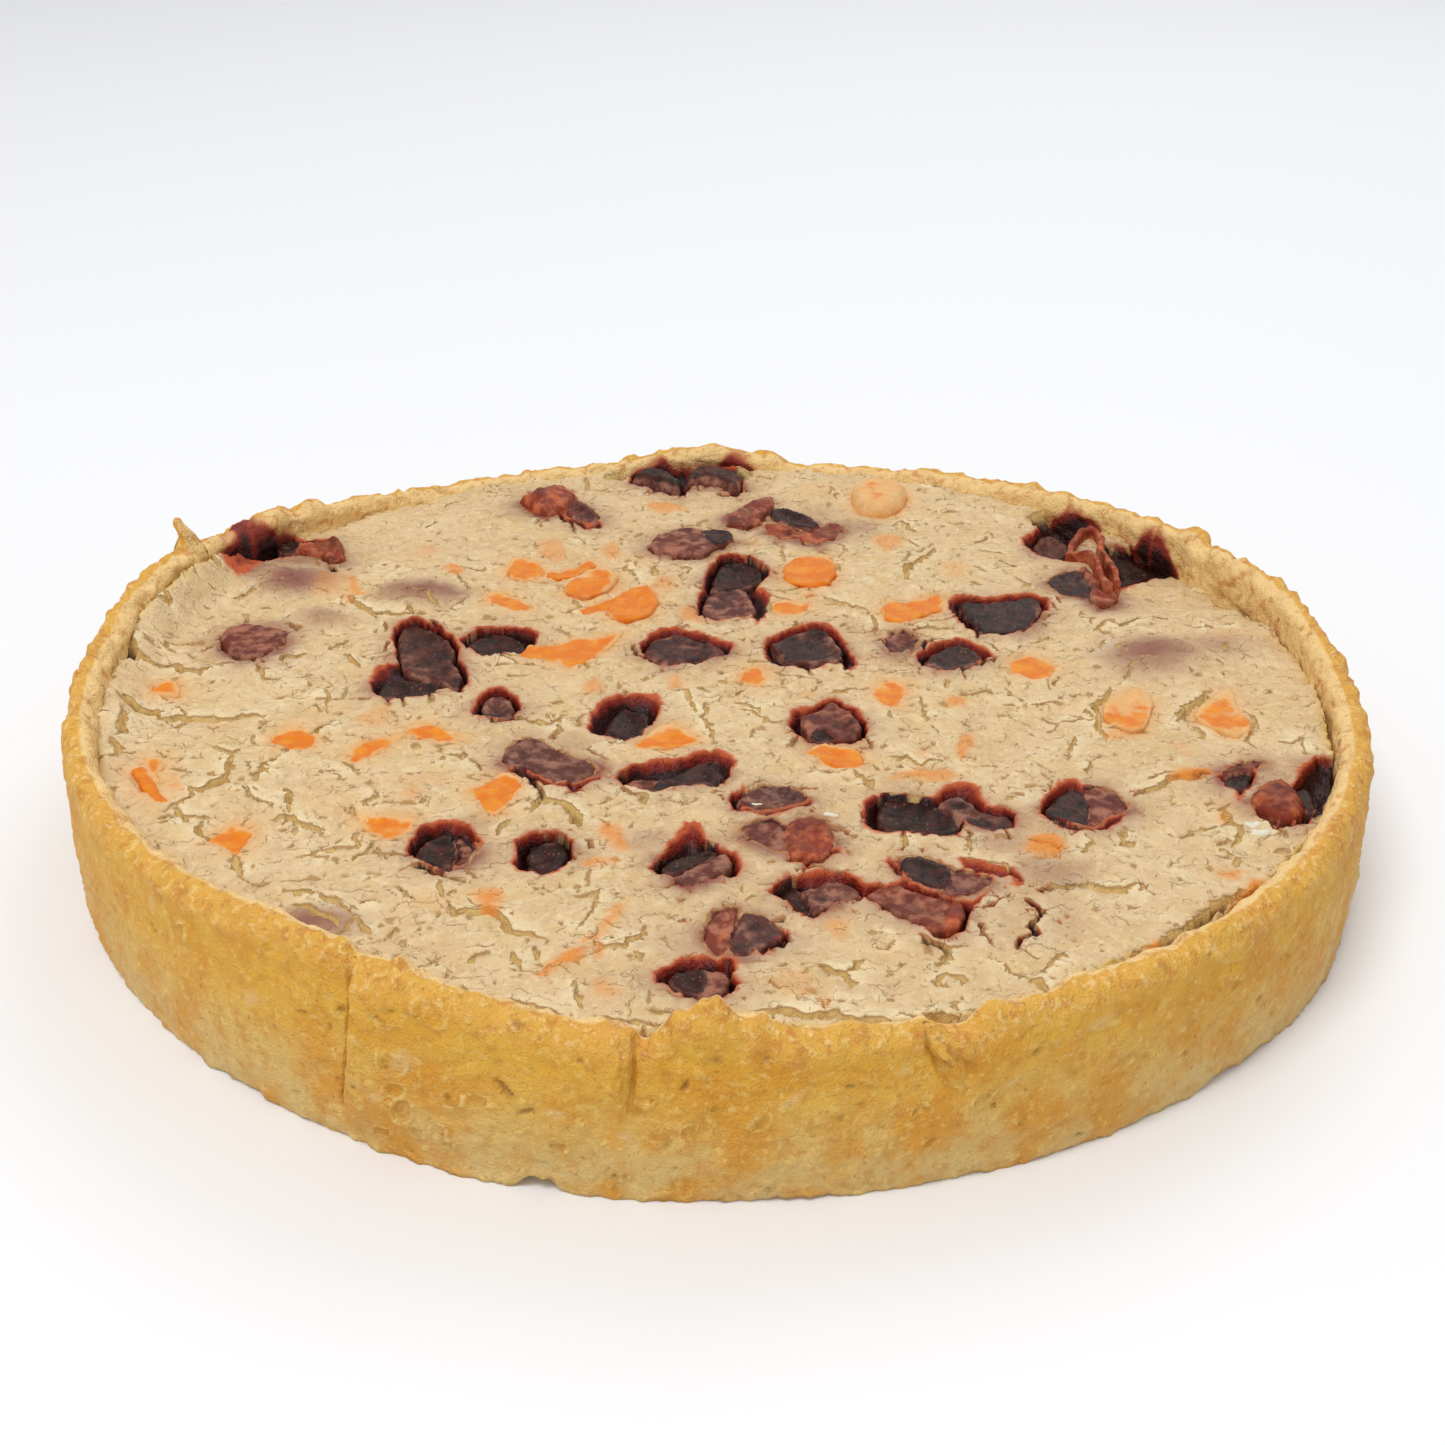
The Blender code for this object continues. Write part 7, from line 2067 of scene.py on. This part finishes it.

# %% [markdown]
# ## Shortcrust
#
# Baked shortcrust is khaki-yellow under orange-gold patches, where the oven browned it. It's paler
# and duller towards the foot, tan at the rim, and full of fine pale specks of flour and fat. Its
# hollows get painted shade and its raised marks painted highlight, and the inner wall is paler,
# partly its own colour and partly painted light against its shade. The base colour is mixed from
# these layers, and the juice group stains the inside.

# %% Shortcrust material


def new_material(name):
    """A new material's tree and the place of the point that is shaded, in millimetres."""
    made = bpy.data.materials.new(name)
    made.use_nodes = True
    tree = made.node_tree
    place = put(tree, "TexCoord", {}).outputs["Object"]
    millimetres = put(tree, "VectorMath", {0: place, "Scale": 1 / MM}, operation="SCALE").outputs[0]
    return made, tree, millimetres


def grain_of(tree, place, coarse, fine):
    return use_group(tree, grain_group, Place=place, Coarse=coarse, Fine=fine)["Height"]


def finish_shader(tree, colour, rough, specular, height, bump):
    """Feeds the shader. bump is how far apart, in mm, the lowest and highest grain stand."""
    shader = tree.nodes["Principled BSDF"].inputs
    tree.links.new(colour, shader["Base Color"])
    tree.links.new(rough, shader["Roughness"])
    shader["Specular IOR Level"].default_value = specular
    bumped = put(tree, "Bump", {"Height": height, "Distance": bump * MM, "Strength": 1.0})
    tree.links.new(bumped.outputs["Normal"], shader["Normal"])


shortcrust, tree, place = new_material("baked_shortcrust")
up_the_wall = ramp(tree, put(tree, "SeparateXYZ", {0: place}).outputs["Z"], 1.0, 26.0)
hollow, stain = stored(tree, "hollow"), stored(tree, "stain")
base = blend(tree, up_the_wall, tone(216, 184, 116), tone(224, 170, 50))
oven_patches = (
    (11.0, 0.36, 0.66, 0.85, (214, 146, 24)),
    (2.6, 0.48, 0.72, 0.5, (198, 128, 28)),
    (1.7, 0.54, 0.70, 0.55, (236, 200, 112)),
)
base = patch_layers(tree, base, place, oven_patches)
# Painted highlight on the wall's raised rings and flecks
base = blend(tree, ramp(tree, hollow, -0.08, -0.45, 0.0, 0.7), base, tone(242, 208, 124))
base = layer(tree, base, stored(tree, "rim"), 0.6, tone(228, 172, 74))
# The inner wall is paler: part its own colour, part painted light to make up for its shade
base = layer(tree, base, stored(tree, "inside"), 0.85, tone(246, 210, 146))
rough_parts = maths(tree, "MAXIMUM", stored(tree, "rim"), stored(tree, "inside"))
rough_share = times(tree, rough_parts, 0.65)
rough_patches = (
    (2.6, 0.5, 0.66, rough_share, (202, 130, 50)),
    (1.5, 0.52, 0.68, rough_share, (246, 208, 132)),
)
base = patch_layers(tree, base, place, rough_patches)
base = layer(tree, base, speckled(tree, place, 0.7, 0.4, 0.2), 0.28, tone(244, 220, 168))
base = layer(tree, base, speckled(tree, place, 1.2, 0.14, 0.12), 0.4, tone(160, 92, 30))
base = layer(tree, base, stored(tree, "flour"), 0.35, tone(232, 204, 150))
# Painted shade in the wall's hollows
base = blend(tree, ramp(tree, hollow, 0.1, 1.0, 0.0, 0.55), base, tone(150, 98, 40))
soaked, juice_depth = ramp(tree, stain, 0.02, 0.34), ramp(tree, stain, 0.1, 1.0, 0.25, 2.9)
base = use_group(tree, juice_group, Under=base, Amount=soaked, Depth=juice_depth)["Color"]
rough = ramp(tree, stain, 0.2, 0.9, 0.62, 0.42)
finish_shader(tree, base, rough, 0.5, grain_of(tree, place, 1.5, 0.42), 1.05)
crust.data.materials.append(shortcrust)
print("nodes of the shortcrust:", len(tree.nodes))

# %% [markdown]
# ## Filling
#
# The set filling is pale beige and dull, with light and dark specks. Its cracks show a more yellow
# inside, set light to make up for their shade and painted darker deep down as shade, and their lips
# and the rims of pits get painted highlight. Near beetroot it is mauve, near carrot orange, and the
# walls of a beetroot's pit are soaked with juice, orange at the top and dark red below, darkened
# with depth as painted shade.

# %% Filling material
set_filling, tree, place = new_material("set_filling")
base = use_group(tree, skin_group, Place=place)["Color"]
plates = use_group(tree, crackle_group, Place=place, Size=6.5, Width=0.04, Share=1.0)["Mask"]
small_plates = use_group(tree, crackle_group, Place=place, Size=3.1, Width=0.055, Share=1.0)["Mask"]
crackle = maths(tree, "MAXIMUM", plates, times(tree, small_plates, 0.6))
for share, strength, colour in (
    (stored(tree, "edge"), 0.75, (224, 190, 86)),
    # painted highlight on the lips of cracks and pits
    (stored(tree, "lip_highlight"), 0.75, (244, 226, 184)),
    (crackle, 0.45, (176, 138, 84)),
    (stored(tree, "carrot_film"), 0.75, (230, 166, 98)),
    (stored(tree, "beetroot_film"), 0.95, (136, 78, 68)),
):
    base = layer(tree, base, share, strength, tone(*colour))
depth, wet = stored(tree, "depth"), stored(tree, "wet")
# Crack insides: yellower custard, set light against the crack's shade; deeper down, painted shade
inside_crack = blend(tree, ramp(tree, depth, 0.6, 1.4), tone(180, 142, 92), tone(214, 180, 114))
inside_crack = blend(tree, ramp(tree, depth, 2.6, 6.0), inside_crack, tone(140, 102, 52))
base = blend(tree, ramp(tree, depth, 0.05, 0.5), base, inside_crack)
base = layer(tree, base, stored(tree, "carrot_bit"), 0.95, tone(226, 138, 48))
# Pit walls soaked with juice, darkened with depth as painted shade
base = use_group(tree, juice_group, Under=base, Amount=wet, Depth=depth)["Color"]
base = blend(tree, ramp(tree, stored(tree, "flake"), 0.3, 0.8), base, tone(228, 222, 204))
wet_below = times(tree, wet, ramp(tree, depth, 0.2, 1.2))
rough = ramp(tree, wet_below, 0.2, 0.9, 0.66, 0.4)
height = maths(tree, "SUBTRACT", grain_of(tree, place, 1.7, 0.45), times(tree, crackle, 0.3))
finish_shader(tree, base, rough, 0.3, height, 0.65)
filling.data.materials.append(set_filling)
print("nodes of the filling:", len(tree.nodes))

# %% [markdown]
# ## Beetroot and carrot
#
# Dried beetroot is nearly black on top with a dull sheen, and dark red and wet down its sides,
# painted darker still, to near black, below the skin as the shade of its pit. The filling left a
# mauve film on it in patches. Carrot stays orange, paler where the film covers it.

# %% Beetroot material
beetroot, tree, place = new_material("dried_beetroot")
uneven = patchy(tree, place, 3.0, 0.4, 0.65)
film = stored(tree, "film")
flesh = blend(tree, uneven, tone(58, 14, 12), tone(128, 40, 24))
dry_top = blend(tree, uneven, tone(34, 17, 12), tone(62, 35, 27))
dry_top = layer(tree, dry_top, patchy(tree, place, 2.1, 0.5, 0.62), 0.4, tone(84, 28, 22))
base = blend(tree, ramp(tree, stored(tree, "upward"), 0.35, 0.95), flesh, dry_top)
filmy = blend(tree, uneven, tone(92, 50, 42), tone(152, 106, 88))
base = blend(tree, ramp(tree, film, 0.0, 0.7), base, filmy)
reddish = blend(tree, uneven, tone(150, 56, 30), tone(200, 104, 58))
base = layer(tree, base, stored(tree, "red"), 0.85, reddish)
specks = use_group(tree, skin_group, Place=place)["Specks"]
base = layer(tree, base, specks, 0.3, tone(176, 124, 98))
# Painted shade: beetroot turns near black the further below the skin it lies, down in its pit
base = blend(tree, ramp(tree, stored(tree, "deep"), 0.3, 0.9), base, tone(26, 8, 8))
base = blend(tree, ramp(tree, stored(tree, "seed"), 0.2, 0.7), base, tone(228, 232, 200))
rough = ramp(tree, film, 0.1, 0.8, 0.42, 0.6)
finish_shader(tree, base, rough, 0.17, grain_of(tree, place, 1.2, 0.4), 0.3)
print("nodes of the beetroot:", len(tree.nodes))

# %% Carrot material
carrot, tree, place = new_material("soft_carrot")
film = stored(tree, "film")
skin_colour = use_group(tree, skin_group, Place=place)["Color"]
base = blend(tree, patchy(tree, place, 4.0, 0.4, 0.65), tone(222, 116, 8), tone(228, 138, 26))
base = blend(tree, ramp(tree, stored(tree, "upward"), 0.9, 0.2), base, tone(214, 100, 10))
filmy = blend(tree, 0.5, skin_colour, tone(236, 158, 64))
filmy = blend(tree, ramp(tree, film, 0.7, 1.3), filmy, skin_colour)
base = blend(tree, ramp(tree, film, 0.0, 0.55), base, filmy)
base = layer(tree, base, speckled(tree, place, 1.0, 0.25, 0.12), 0.2, tone(248, 206, 136))
rough = ramp(tree, film, 0.1, 0.8, 0.36, 0.6)
finish_shader(tree, base, rough, 0.2, grain_of(tree, place, 1.4, 0.5), 0.4)

for pieces, finish in ((beetroots, beetroot), (carrots, carrot)):
    for piece in pieces:
        piece.data.materials.clear()
        piece.data.materials.append(finish)
print("finishes:", [made.name for made in (shortcrust, set_filling, beetroot, carrot)])

# %% [markdown]
# ## Stage and light
#
# The photograph is high-key: a near-white floor, a bright soft sky above, and a little more light
# from the front and above, which fills the wall and leaves only soft shadows. A large floor and
# two wide area lights over a pale world do the same.

# %% Floor, world and lights
FLOOR_REACH = 6.0
floor_shape = bmesh.new()
bmesh.ops.create_grid(floor_shape, x_segments=2, y_segments=2, size=FLOOR_REACH)
floor_mesh = bpy.data.meshes.new("floor")
floor_shape.to_mesh(floor_mesh)
floor_shape.free()
floor = add_object("floor", floor_mesh)
floor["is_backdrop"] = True
pale_floor = bpy.data.materials.new("pale_floor")
pale_floor.use_nodes = True
floor_shader = pale_floor.node_tree.nodes["Principled BSDF"]
floor_shader.inputs["Base Color"].default_value = tone(243, 244, 246)
floor_shader.inputs["Roughness"].default_value = 0.6
floor_mesh.materials.append(pale_floor)

world = bpy.data.worlds.new("pale_studio")
world.use_nodes = True
background = world.node_tree.nodes["Background"]
background.inputs["Color"].default_value = (1.0, 1.0, 1.0, 1.0)
background.inputs["Strength"].default_value = 0.62
bpy.context.scene.world = world


def add_light(name, place, target, size, power):
    data = bpy.data.lights.new(name, "AREA")
    data.shape = "DISK"
    data.size = size
    data.energy = power
    light = add_object(name, data)
    light.location = place
    light.rotation_euler = (Vector(target) - Vector(place)).to_track_quat("-Z", "Y").to_euler()


add_light("key", (-0.4, -0.6, 1.4), (0, 0, 0), 0.7, 11)
add_light("back_fill", (0.4, 1.1, 1.2), (0, 0, 0), 1.0, 5)

scene = bpy.context.scene
scene.view_settings.view_transform = "Standard"
scene.view_settings.look = "None"
scene.view_settings.exposure = 0.0
print("lights:", [light.name for light in bpy.data.lights])

# %% [markdown]
# ## The size
#
# The dressed part's box is measured against the solids' box, and how much it grew is printed.

# %% How much the box grew
made_low, made_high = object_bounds()
growth = (*(made_low - solid_low), *(made_high - solid_high))
print("grown by, in mm:", [round(v / MM, 2) for v in growth])
